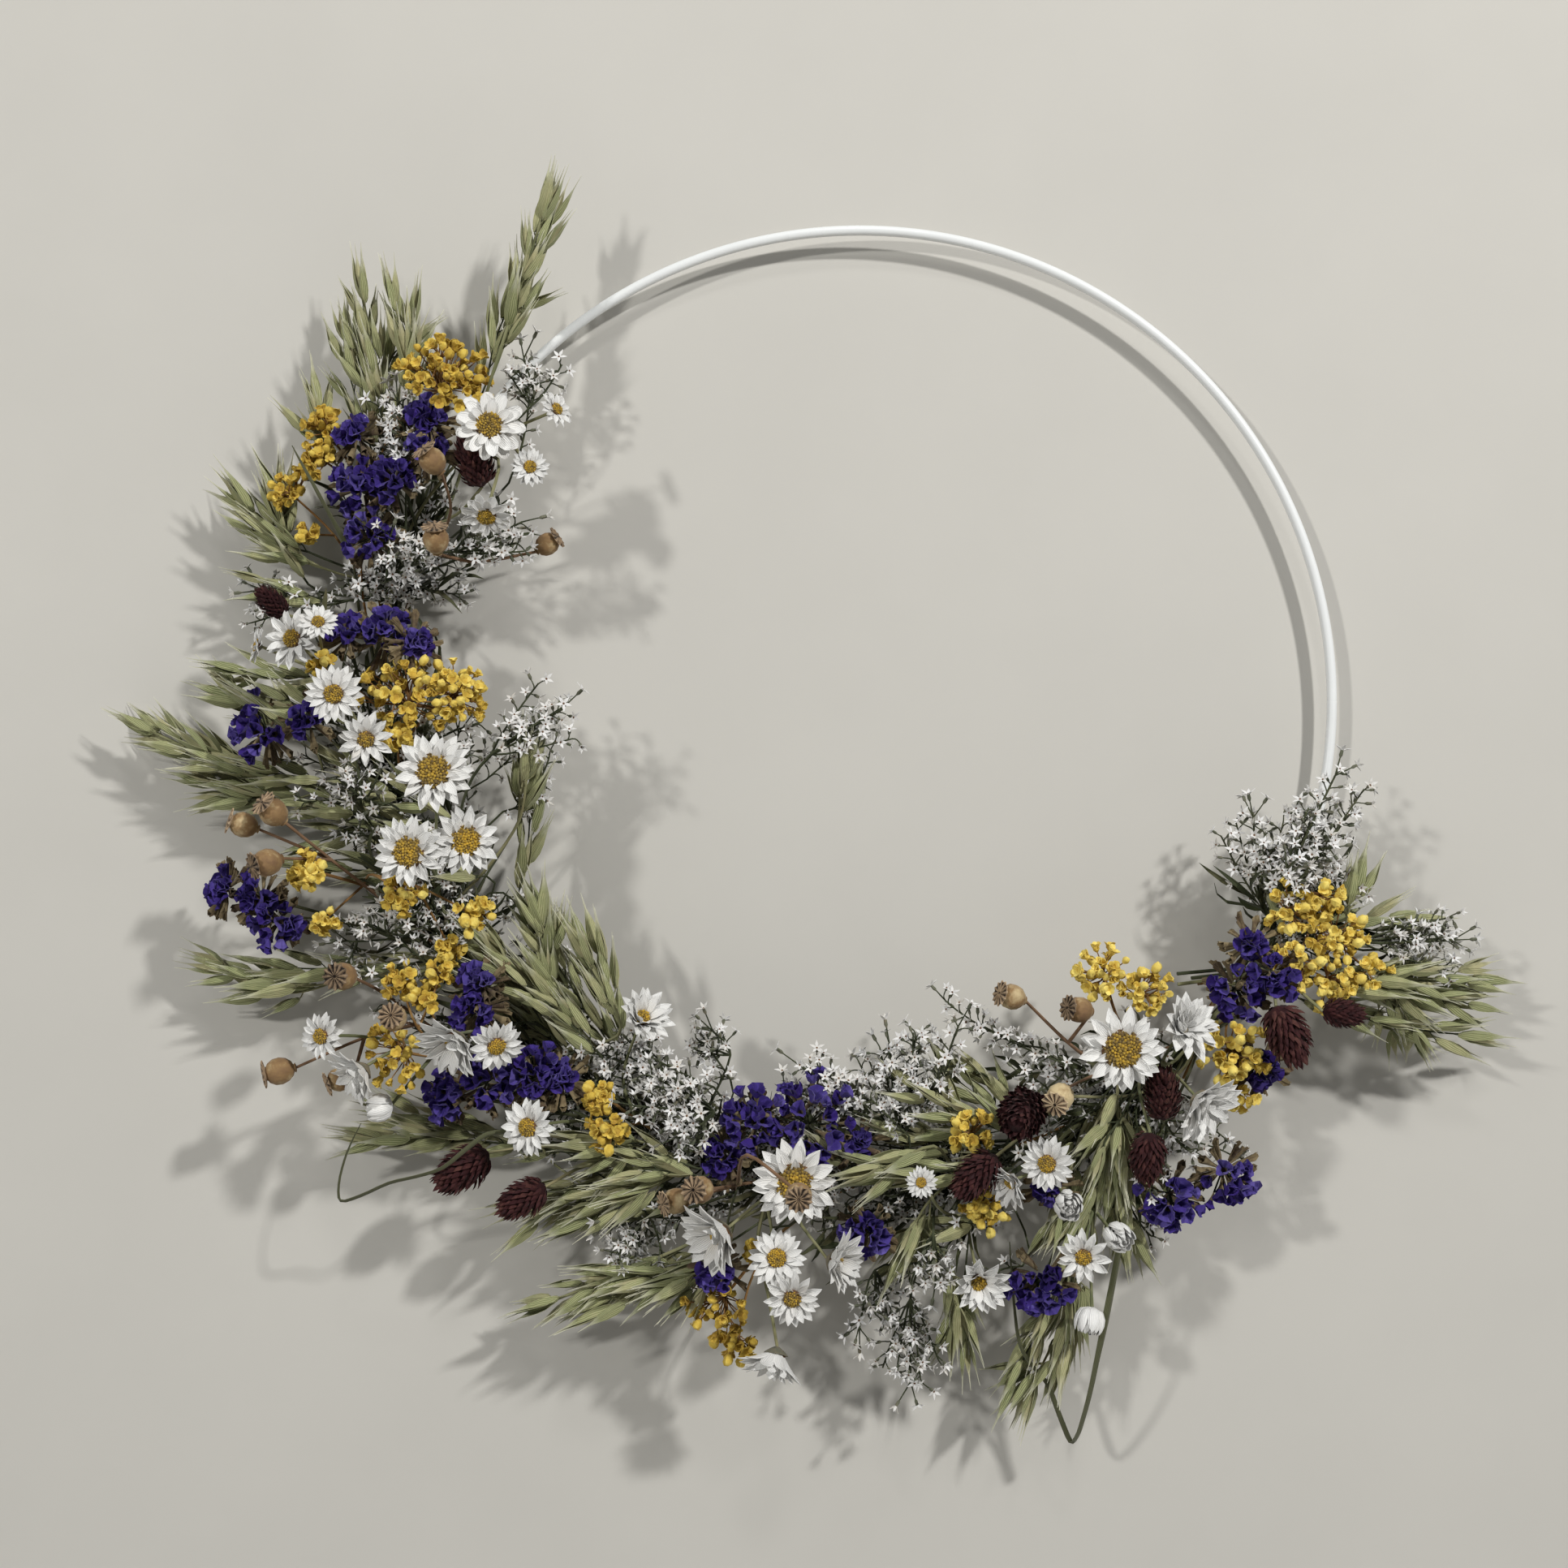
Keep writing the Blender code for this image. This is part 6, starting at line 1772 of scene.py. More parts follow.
# %% Poppy capsules
POPPY_SIDES = 24
POPPY_RINGS = [(0.1, 0), (0.17, 0.03), (0.12, 0.08), (0.25, 0.14), (0.39, 0.3), (0.46, 0.52),
               (0.44, 0.74), (0.33, 0.92), (0.22, 0.99), (0.25, 1.02), (0.48, 1.06), (0.47, 1.1),
               (0.34, 1.12), (0.06, 1.14)]


def poppy_capsule(name, width):
    capsule = turned(name, POPPY_SIDES, scaled(POPPY_RINGS, width))
    pleat(capsule, POPPY_SIDES, 0.96, 0.2 * width, 0.95 * width)
    pleat(capsule, POPPY_SIDES, 0.82, 1.04 * width, 1.12 * width, -0.02 * width)
    pleat(capsule, POPPY_SIDES, 0.86, 1.11 * width, 1.2 * width, -0.06 * width)
    two_toned(capsule, CAPSULE, CROWN_AND_RAY_SHADE, width)
    set_tone(capsule, 0.0)
    tones_with_ray_shade = capsule.data.attributes["tone"]
    # The drawn-in columns of the lid get tone 1, the crown's nearly black colour: painted shade in the
    # hollows between the rays.
    for vertex in capsule.data.vertices:
        column = round(math.atan2(vertex.co.y, vertex.co.x) / (TWO_PI / POPPY_SIDES))
        if vertex.co.z > 1.04 * width and column % 2 == 0:
            tones_with_ray_shade.data[vertex.index].value = 1.0
    return smooth(capsule, 40)


POPPY_WIDTH = 9 * MM
POPPY = poppy_capsule("capsule", POPPY_WIDTH)
print("faces of the capsule:", len(POPPY.data.polygons))

# %% [markdown]
# Canary grass has an egg-shaped head of overlapping pointed scales. They follow the golden turn up
# a spindle and point to its tip.

# %% Canary grass heads
PHALARIS_LENGTH = 28 * MM
SCALE_ROWS = [(0, 0.5, 0), (0.4, 1, -1), (0.75, 0.6, -0.7), (1, 0.05, 0.3)]


def phalaris_head(name, count):
    draw = random.Random(41)
    length = PHALARIS_LENGTH
    rings = [(0.03, 0), (0.18, 0.08), (0.25, 0.35), (0.23, 0.62), (0.14, 0.82), (0.01, 0.93)]
    core = dressed(turned("core", 9, scaled(rings, length)), SCALE_RED)
    scale = dressed(blade("scale", rows_of(SCALE_ROWS, 6.0 * MM, 1.3 * MM, 0.8 * MM), cup=0.5,
                          thick=THIN_PAPER), SCALE_RED)
    parts = [core]
    for i in range(count):
        part = (i + 0.5) / count
        swell = 0.3 * math.sin(math.pi * (0.14 + 0.8 * part)) ** 0.6 * length
        lean = math.radians(36 + 36 * part + draw.uniform(-12, 12))
        matrix = splay(GOLDEN_TURN * i, lean, 0.72 * swell, (0.02 + 0.78 * part) * length,
                       draw.uniform(-0.4, 0.4), draw.uniform(0.8, 1.1))
        parts.append(placed(scale, matrix, draw.uniform(0, 0.6)))
    discard(scale)
    return joined(name, parts)


PHALARIS_HEAD = phalaris_head("canary_head", 150)
print("faces of a canary grass head:", len(PHALARIS_HEAD.data.polygons))

# %% [markdown]
# ## Stalks
#
# A plant's tree is cut into lines, each going on through the straightest joint. The lines become
# one curve object with a round section, which is then turned into a mesh.

# %% Stalks from the tree
def strands(plant):
    """The tree as lines of joints; at a fork the straightest way goes on."""
    lines = []
    waiting = [[plant.root]]
    while waiting:
        line = waiting.pop()
        while line[-1].next:
            joint = line[-1]
            onward = sorted(joint.next, key=lambda child: -joint.way.dot(
                (child.place - joint.place).normalized()))
            waiting += [[joint, child] for child in onward[1:]]
            line.append(onward[0])
        lines.append(line)
    return lines


def stalk_mesh(name, lines, material, roundness=1):
    """Round stalks along lines of (points, first radius, last radius), as one mesh."""
    only()
    bpy.ops.curve.primitive_bezier_curve_add()
    stalk = bpy.context.object
    stalk.name = name
    curve = stalk.data
    curve.splines.clear()
    curve.bevel_depth = 1 * MM
    curve.bevel_resolution = roundness
    curve.use_fill_caps = True
    for points, first, last in lines:
        spline = curve.splines.new("POLY")
        spline.points.add(len(points) - 1)
        for i, point in enumerate(points):
            spline.points[i].co = (*point, 1)
            spline.points[i].radius = (first + (last - first) * i / (len(points) - 1)) / MM
    bpy.ops.object.convert(target="MESH")
    stalk = bpy.context.object
    edit(stalk)
    bpy.ops.mesh.select_all(action="SELECT")
    bpy.ops.mesh.remove_doubles(threshold=0.01 * MM)
    only(stalk)
    dressed(stalk, material)
    return smooth(stalk, 60)


def plain_lines(plant):
    """Every strand of a plant, smoothed, with its thickness."""
    lines = []
    for strand in strands(plant):
        points = smooth_through([joint.place for joint in strand], 4)
        first = 0.62 * MM if strand[1].radius > 0.5 * MM else 0.42 * MM
        lines.append((points, first, 0.75 * first))
    return lines


print("strands of the first plant:", len(strands(PLANTS[0])))

# %% [markdown]
# ## More heads than the solids carry
#
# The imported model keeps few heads, enough for its weight and collision. The real sprays are much
# fuller. Extra heads go along the same twigs, and `loose_fit` keeps them out of other plants.

# %% Room for extra heads
LOW = Vector(CAD_BOX[0])
HIGH = Vector(CAD_BOX[1])


def loose_fit(plant, matrix, beads, into_others, into_own):
    """True where extra beads stay in the box and hardly touch what is there."""
    placed_beads = moved_beads(matrix, beads)
    points, radii = placed_beads
    inside = np.all(points - radii[:, None] > np.array(LOW)) and np.all(
        points + radii[:, None] < np.array(HIGH))
    if not inside:
        return False
    start = matrix.translation
    if ROOM.clearance(plant.owner, placed_beads, [(start, 1.0)]) < -into_others:
        return False
    if ROOM.clearance(plant.owner, placed_beads, [(start, 3 * MM)]) < -into_own:
        return False
    ROOM.take(plant.owner, placed_beads)
    return True


def line_length(points):
    return sum((b - a).length for a, b in zip(points, points[1:]))


def spray_line(plant, joints):
    """A smooth line along a spray, from the joint below its first."""
    below = next(item for line in strands(plant) for item in line if joints[0] in item.next)
    return smooth_through([below.place] + [joint.place for joint in joints], 6)


def stations(points, spacing, first_share=0.0):
    """Places with directions at even steps along a line, from this share of it on."""
    whole = line_length(points)
    wanted = np.arange(first_share * whole, whole, spacing)
    found = []
    done = 0.0
    number = 0
    for a, b in zip(points, points[1:]):
        step = (b - a).length
        while number < len(wanted) and wanted[number] <= done + step:
            part = (wanted[number] - done) / max(step, 1e-9)
            found.append((a.lerp(b, part), (b - a).normalized()))
            number += 1
        done += step
    return found


def pedicel(start, way, end, arrive):
    """A short bent stalk from a twig to the foot of a head."""
    reach = (end - start).length
    return bezier(start, start + way * 0.4 * reach, end - arrive * 0.35 * reach, end, 4)


def of_plant(rows, plant):
    """This plant's sprays or clusters, without the plant itself."""
    return [row[1:] for row in rows if row[0] is plant]


print("places at 4 mm steps along the first spray:", len(stations(spray_line(*SPRAYS[0][:2]), 4 * MM)))

# %% [markdown]
# The finish starts from what the solids carry: every head with the joint that it grows from. And
# a spray gets companion twigs, which leave with it and fan away.

# %% What the solids carry
def shapes_of(plant):
    """Every head that the solid carries, with the joint that it grows from."""
    found = []
    waiting = [plant.root]
    while waiting:
        joint = waiting.pop()
        waiting += joint.next
        found += [(joint, shape) for shape in joint.shapes]
    return found


def solid_heads(table):
    """How many heads the solids of one kind carry."""
    return sum(len(shapes_of(plant)) for plant in PLANTS if plant.name in table)


def beside(points, draw, aside, back):
    """A line that leaves with another and fans away from it."""
    way = (points[-1] - points[0]).normalized()
    across = way.cross(TOWARD_VIEWER).normalized()
    shift = across * draw.uniform(-aside, aside) - TOWARD_VIEWER * draw.uniform(-0.2, 1) * back
    length = draw.uniform(0.7, 1.02)
    line = []
    for i, point in enumerate(points):
        part = i / (len(points) - 1)
        line.append(points[0].lerp(point, length) + shift * part ** 0.8)
    return line


print("spikelets of the solids:", solid_heads(OATS))

# %% [markdown]
# An oat spray carries its spikelets on short bent stalks, alternately round the twig and all leaning
# on to the tip. Each place tries a few turns for its spikelet, and stays empty if none has room.
# Each read spray gets one companion twig beside it.

# %% Oats with all their spikelets
OAT_SPACING = 4.0 * MM
OAT_COMPANIONS = 1
EXTRA_SPIKELETS = (15 * MM, 20 * MM)


def fill_with_oats(plant, points, first_share, draw, heads, lines):
    """Spikelets along a line, alternately round it; gives how many found room."""
    turn = draw.uniform(0, TWO_PI)
    hung = 0
    for number, (place, way) in enumerate(stations(points, OAT_SPACING, first_share)):
        size = draw.uniform(*EXTRA_SPIKELETS)
        for attempt in range(7):
            roll = turn + 2.4 * number + 0.8 * attempt
            side = side_way(way, roll)
            direction = (way + side * draw.uniform(0.12, 0.42)).normalized()
            foot = place + (way + side * 0.7) * draw.uniform(1, 3.5) * MM
            beads = shape_beads("spikelet", 0.9 * size)
            if loose_fit(plant, stand(foot, direction, roll), beads, 1.2 * MM, 2.2 * MM):
                heads.append(hung_oat(foot, direction, roll, size, draw))
                lines.append((pedicel(place, way, foot, direction), 0.22 * MM, 0.2 * MM))
                hung += 1
                break
    return hung


def hung_oat(place, direction, roll, size, draw):
    """One of the four spikelets, set at a place."""
    matrix = stand(place, direction, roll) @ Matrix.Scale(size / OAT_LENGTH, 4)
    return placed(draw.choice(SPIKELETS), matrix, draw.uniform(0, 0.6))


def oat_heads(plant, draw, lines):
    """Spikelets at the solid ones' places, and more of them along each spray."""
    heads = []
    for joint, (shape, size, direction, roll) in shapes_of(plant):
        heads.append(hung_oat(joint.place, direction, roll, size, draw))
    for joints, *_ in of_plant(SPRAYS, plant):
        points = spray_line(plant, joints)
        fill_with_oats(plant, points, 0.12, draw, heads, lines)
        for _ in range(OAT_COMPANIONS):
            line = beside(points, draw, 7 * MM, 7 * MM)
            if fill_with_oats(plant, line, 0.2, draw, heads, lines):
                lines.append((line, 0.4 * MM, 0.28 * MM))
    return heads


print("sprays of oats to fill:", sum(row[3] == "spikelet" for row in SPRAYS))

# %% [markdown]
# The star sprays are the finest part of the wreath: dense one-sided rows of tiny flowers that make
# pointed spikes. Four companion twigs fan out round each read one.

# %% Star sprays
STAR_SPACING = 1.7 * MM
STAR_COMPANIONS = 4


def fill_with_stars(plant, points, first_share, draw, heads, lines):
    """Stars in rows along a line, on short stalks; gives how many found room."""
    turn = draw.uniform(0, TWO_PI)
    hung = 0
    for number, (place, way) in enumerate(stations(points, STAR_SPACING, first_share)):
        for attempt in range(5):
            roll = turn + 2.4 * number + 1.1 * attempt
            side = side_way(way, roll)
            reach = draw.uniform(1.2, 4.5) * MM
            foot = place + (way * 0.9 + side).normalized() * reach
            direction = (way * draw.uniform(0.2, 0.9) + side + TOWARD_VIEWER * 0.6).normalized()
            matrix = stand(foot, direction, roll)
            beads = [(0, 0, STAR_TUBE, 1.2 * MM)] + rim_beads(1.5 * MM, STAR_TUBE, 4, 0.6 * MM)
            if loose_fit(plant, matrix, beads, 0.9 * MM, 1.0 * MM):
                size = draw.uniform(0.72, 0.98)
                heads.append(placed(draw.choice(STARS_MADE), matrix @ Matrix.Scale(size, 4),
                                    draw.uniform(0, 0.5)))
                lines.append((pedicel(place, way, foot, direction), 0.24 * MM, 0.2 * MM))
                hung += 1
                break
    return hung


def star_heads(plant, draw, lines):
    """Stars at the solid ones' places, and dense rows up each spray and its companions."""
    heads = []
    for joint, (shape, size, direction, roll) in shapes_of(plant):
        foot = joint.place + direction * (size - STAR_TUBE)
        lines.append(([joint.place, foot], 0.25 * MM, 0.2 * MM))
        matrix = stand(foot, direction, roll) @ Matrix.Scale(draw.uniform(0.85, 1.05), 4)
        heads.append(placed(draw.choice(STARS_MADE), matrix, draw.uniform(0, 0.5)))
    for joints, *_ in of_plant(SPRAYS, plant):
        points = spray_line(plant, joints)
        fill_with_stars(plant, points, 0.1, draw, heads, lines)
        for _ in range(STAR_COMPANIONS):
            line = beside(points, draw, 11 * MM, 7 * MM)
            if fill_with_stars(plant, line, 0.25, draw, heads, lines):
                lines.append((line, 0.36 * MM, 0.26 * MM))
    return heads


print("stars of the solids:", solid_heads(STARS))

# %% [markdown]
# Buds and small open flowers, at the end of a thread-thin stalk each. Fresh and faded bunches differ,
# so every bunch has its own tone.

# %% Yellow clusters
YELLOW_TONES = {1: 0.34, 2: 0.14, 3: 0.1, 4: 0.26, 5: 0.3, 6: 0.36, 7: 0.14, 8: 0.02, 9: 0.02}
BUD_LENGTH = 4 * MM


def cluster_targets(joint, targets, more, draw, widen, from_share=0.0):
    """More targets round a cluster's foot, spread as widely as its own."""
    middle = sum(targets, Vector()) / len(targets)
    facing = (middle - joint.place).normalized()
    reach = sum((target - joint.place).length for target in targets) / len(targets)
    extra = []
    for i in range(more):
        angle = CLUSTER_HALF_ANGLE * widen * math.sqrt(draw.uniform(from_share, 1))
        side = side_way(facing, GOLDEN_TURN * i + draw.uniform(-0.4, 0.4))
        way = facing * math.cos(angle) + side * math.sin(angle)
        extra.append(joint.place + way * reach * draw.uniform(0.62, 1.15))
    return extra


def yellow_heads(plant, draw, lines):
    """Buds and small open flowers, at the solid ones' places and more round each foot."""
    heads = []
    base_tone = YELLOW_TONES[plant.bunch]

    def hang(place, direction, size):
        matrix = stand(place, direction, draw.uniform(0, TWO_PI)) @ Matrix.Scale(size, 4)
        kind = draw.choices(YELLOW_HEADS, (4, 4, 3))[0]
        heads.append(placed(kind, matrix, base_tone + draw.uniform(0, 0.32)))

    for joint, (shape, size, direction, roll) in shapes_of(plant):
        foot = joint.place + direction * (size - 0.85 * BUD_LENGTH)
        lines.append(([joint.place, foot], 0.24 * MM, 0.2 * MM))
        hang(foot, direction, draw.uniform(0.85, 1.05))
    for joint, targets, *_ in of_plant(CLUSTERS, plant):
        for target in cluster_targets(joint, targets, int(4 * len(targets)) + 9, draw, 1.3):
            direction = (target - joint.place).normalized()
            foot = target - direction * BUD_LENGTH
            matrix = stand(foot, direction)
            if loose_fit(plant, matrix, [(0, 0, 2 * MM, 1.5 * MM)], 0.7 * MM, 0.6 * MM):
                hang(foot, direction, draw.uniform(0.7, 1.1))
                bend = side_way(direction, draw.uniform(0, TWO_PI)) * 1.2 * MM
                lines.append((bezier(joint.place, joint.place.lerp(foot, 0.4) + bend,
                                     foot - direction * 2 * MM, foot, 5), 0.24 * MM, 0.18 * MM))
    return heads


print("buds of the solids:", solid_heads(YELLOWS))

# %% [markdown]
# Florets crowd into a ruffled mass, close enough for their rims to press on each other. Bare tan
# calyces stand round its foot and show from the side.

# %% Statice
def floret_beads(size):
    """Room for an extra floret: just its rim, so that florets crowd as the real ones do."""
    return [(0, 0, 0.8 * size, 0.25 * size)] + rim_beads(0.22 * size, 0.9 * size, 4, 0.13 * size)


TUFTS = 20


def statice_heads(plant, draw, lines):
    """Florets packed into ruffled masses."""
    heads = []

    def hang(place, direction, roll, size):
        matrix = stand(place, direction, roll) @ Matrix.Scale(size / FLORET_SIZE, 4)
        heads.append(placed(draw.choice(FLORETS), matrix, draw.uniform(0, 0.8)))

    for joint, (shape, size, direction, roll) in shapes_of(plant):
        hang(joint.place, direction, roll, 0.88 * size)
    for joint, targets, *_ in of_plant(CLUSTERS, plant):
        for target in cluster_targets(joint, targets, int(3 * len(targets)) + 4, draw, 1.15):
            direction = (target - joint.place).normalized()
            size = draw.uniform(5.0, 7.5) * MM
            foot = target - direction * size
            matrix = stand(foot, direction)
            if loose_fit(plant, matrix, floret_beads(size), 1.2 * MM, 2.2 * MM):
                hang(foot, direction, draw.uniform(0, TWO_PI), size)
                lines.append(([joint.place, foot], 0.3 * MM, 0.3 * MM))
        for target in cluster_targets(joint, targets, TUFTS, draw, 1.8, 0.5):
            direction = (target - joint.place).normalized()
            foot = joint.place.lerp(target, 0.3)
            matrix = stand(foot, direction, draw.uniform(0, TWO_PI))
            heads.append(placed(CALYX_TUFT, matrix @ Matrix.Scale(draw.uniform(0.7, 1.0), 4),
                                draw.uniform(0, 0.9)))
    return heads


print("florets of the solids:", solid_heads(STATICE))

# %% [markdown]
# ## Blooms
#
# Which daisy stands where follows the photograph: wide discs in the big ones, small dark-ringed
# ones elsewhere, a blunt ruffled one at the upper left and two half-open ones at the right.

# %% Blooms
HALF_OPEN_AT = [(1458, 1266), (1480, 1357)]
SIDE_SEEN_AT = [(956, 1668), (1026, 1553), (447, 1318), (1205, 1578), (790, 1256), (563, 1280),
                (890, 1518), (1248, 1455)]
BLUNT_AT = [(603, 524), (599, 636), (317, 796)]
PALE_CAPSULE_AT = (1306, 1352)
PIXELS_ASIDE = 22
WIDE_FROM = 20 * MM
SIDE_SEEN_SIZE = 1.4


def seen_at(place):
    """The photograph's pixel in which a place shows."""
    scale = PIXEL * (1 - place.dot(TOWARD_VIEWER) / CAMERA_DISTANCE)
    middle = at(*PHOTO_MIDDLE, 0)
    return Vector((PHOTO_MIDDLE[0] + (place.x - middle.x) / scale,
                   PHOTO_MIDDLE[1] - (place.z - middle.z) / scale))


def daisy_kind(place, size, draw):
    """Which daisy stands here: one that was read at this pixel, or one by size."""
    seen = seen_at(place)
    for kind, spots in (("half_open", HALF_OPEN_AT), ("blunt", BLUNT_AT),
                        ("side_seen", SIDE_SEEN_AT)):
        if any((seen - Vector(spot)).length < PIXELS_ASIDE for spot in spots):
            return kind
    if size > WIDE_FROM:
        return draw.choice(("wide", "wide_cupped"))
    return draw.choice(("small", "small", "small_cupped"))


def open_side_turn(place, direction):
    """The roll that brings a half-open daisy's open side to the lower right."""
    basis = stand(place, direction).to_3x3()
    target = Vector((0.8, 0, -0.6))
    return math.atan2(target.dot(basis.col[1]), target.dot(basis.col[0])) + math.pi


def bloom_heads(plant, draw, lines):
    """Daisies, closed buds, capsules and canary grass at the solid ones' places."""
    heads = []
    for joint, (shape, size, direction, roll) in shapes_of(plant):
        turn = draw.uniform(0, TWO_PI)
        if shape == "daisy":
            kind = daisy_kind(joint.place, size, draw)
            master = DAISY_KINDS[kind]
            if kind == "half_open":
                turn = open_side_turn(joint.place, direction)
            scale, tone = size / (2 * DAISY_RADIUS), draw.uniform(0, 0.2)
            if kind == "side_seen":
                scale *= SIDE_SEEN_SIZE
        elif shape == "closed_bud":
            master, scale, tone = CLOSED_BUD, size / (8 * MM), 0.0
        elif shape == "poppy":
            pale = (seen_at(joint.place) - Vector(PALE_CAPSULE_AT)).length < PIXELS_ASIDE
            master, scale, tone = POPPY, size / POPPY_WIDTH, 0.02 if pale else draw.uniform(0.35, 0.7)
        else:
            master, scale, tone = PHALARIS_HEAD, size / PHALARIS_LENGTH, draw.uniform(0, 0.3)
        heads.append(placed(master, stand(joint.place, direction, turn) @ Matrix.Scale(scale, 4), tone))
    return heads


print("the hoop's middle shows at the pixel:", [round(c) for c in seen_at(HOOP_CENTRE)])

# %% [markdown]
# ## Grass blades
#
# A blade is a grid primitive laid along its line: wide and creased in the middle, narrowing to
# both ends, with a slow turn on the way.

# %% Grass blades
def ribbon(name, points, width, crease, twist):
    """A creased strip along a line, narrowing to its end."""
    only()
    bpy.ops.mesh.primitive_grid_add(x_subdivisions=4, y_subdivisions=len(points) - 1, size=2)
    strip = bpy.context.object
    strip.name = name
    for i, point in enumerate(points):
        before, after = points[max(i - 1, 0)], points[min(i + 1, len(points) - 1)]
        axis = (after - before).normalized()
        part = i / (len(points) - 1)
        across = axis.cross(TOWARD_VIEWER).normalized()
        turn = twist * math.sin(3 * part)
        wide = across * math.cos(turn) + across.cross(axis) * math.sin(turn)
        face = axis.cross(wide).normalized()
        half = width / 2 * min(1, 0.45 + 3 * part) * min(1, 0.06 + 2.4 * (1 - part))
        for column in range(5):
            side = column / 2 - 1
            vertex = strip.data.vertices[i * 5 + column]
            vertex.co = point + wide * side * half + face * (abs(side) - 0.5) * crease * half
    finish_modifier(strip, "SOLIDIFY", thickness=0.25 * MM, offset=0.0)
    return smooth(dressed(strip, BLADE_GREEN), 60)


def blade_heads(plant, draw, lines):
    """The one strip of a blade, from its short stalk on."""
    joint, line, width = STRIPS[plant.name]
    points = smooth_through([joint.place] + line, 3)
    return [ribbon("strip", points, 0.8 * width, 0.6, 1.1)]


print("widths of the blades, mm:", {name: round(row[2] / MM, 1) for name, row in STRIPS.items()})

# %% [markdown]
# ## Dressing every plant
#
# Each plant becomes one piece: its stalks and all its heads joined, in place of its plain solid.

# %% Dress the plants
DRESS_SEED = 500
KINDS = {
    "oats": (oat_heads, STRAW, "oat_straw"),
    "stars": (star_heads, GREEN_STALK_AND_SHADE, "star_white"),
    "yellow": (yellow_heads, OCHRE_TWIG, "yellow_bud"),
    "statice": (statice_heads, GREEN_STALK_AND_SHADE, "statice_violet"),
    "daisies": (bloom_heads, STRAW, "daisy_white"),
    "poppies": (bloom_heads, BROWN_STALK, "poppy_tan"),
    "phalaris": (bloom_heads, STRAW, "phalaris_burgundy"),
    "grass_blade": (blade_heads, BLADE_GREEN, "blade_green"),
}


def kept_in_box(piece):
    """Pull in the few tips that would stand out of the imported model's box."""
    places = np.zeros(3 * len(piece.data.vertices), dtype=np.float32)
    piece.data.vertices.foreach_get("co", places)
    margin = 0.1 * MM
    inside = np.clip(places.reshape(-1, 3), np.array(LOW) + margin, np.array(HIGH) - margin)
    piece.data.vertices.foreach_set("co", inside.astype(np.float32).ravel())
    piece.data.update()
    return piece


def dress(plant):
    """Build one plant's finish, and hand it over in place of the plain solid."""
    draw = random.Random(DRESS_SEED + plant.owner)
    kind = next(kind for kind in KINDS if plant.name.startswith(kind))
    make_heads, stalk_material, slot = KINDS[kind]
    lines = plain_lines(plant)
    heads = make_heads(plant, draw, lines)
    stalks = stalk_mesh("stalks", lines, stalk_material)
    set_tone(stalks, draw.uniform(0.1, 0.6))
    piece = kept_in_box(joined(plant.name + "_fine", [stalks] + heads))
    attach(piece, "root")
    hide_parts(plant.name)
    return len(heads), len(piece.data.polygons)


counts = {plant.name: dress(plant) for plant in PLANTS}
print("heads and faces:", counts)

# %% [markdown]
# ## Greenery between the bunches
#
# Under the flowers lies a thicket that no single head accounts for: thin grey-green twigs with
# narrow leaves and small star calyces. It hides the rod and joins the bunches into one garland.
# Each bunch gets a fan of such twigs from its tie, low over the hoop.

# %% Narrow leaves
LEAF_ROWS = [(0, 0.25, 0), (0.2, 0.8, 0.5), (0.5, 1, 1), (0.8, 0.6, 0.6), (1, 0.04, -0.4)]


def narrow_leaf(name, length, half, lift):
    leaf = blade(name, rows_of(LEAF_ROWS, length, half, lift), cup=0.5)
    return smooth(dressed(leaf, LEAF_AND_SHADE))


LEAVES = [narrow_leaf("leaf", 13 * MM, 1.0 * MM, 1.5 * MM),
          narrow_leaf("leaf", 18 * MM, 0.8 * MM, 3.0 * MM),
          narrow_leaf("leaf", 9 * MM, 1.3 * MM, 0.8 * MM)]
print("faces of a leaf:", len(LEAVES[0].data.polygons))

# %% [markdown]
# Besides the sprays that the solids carry, the photograph shows many more in the depth of the wreath.
# Each row is the foot and the top of one of them, in pixels and mm in front of the hoop.

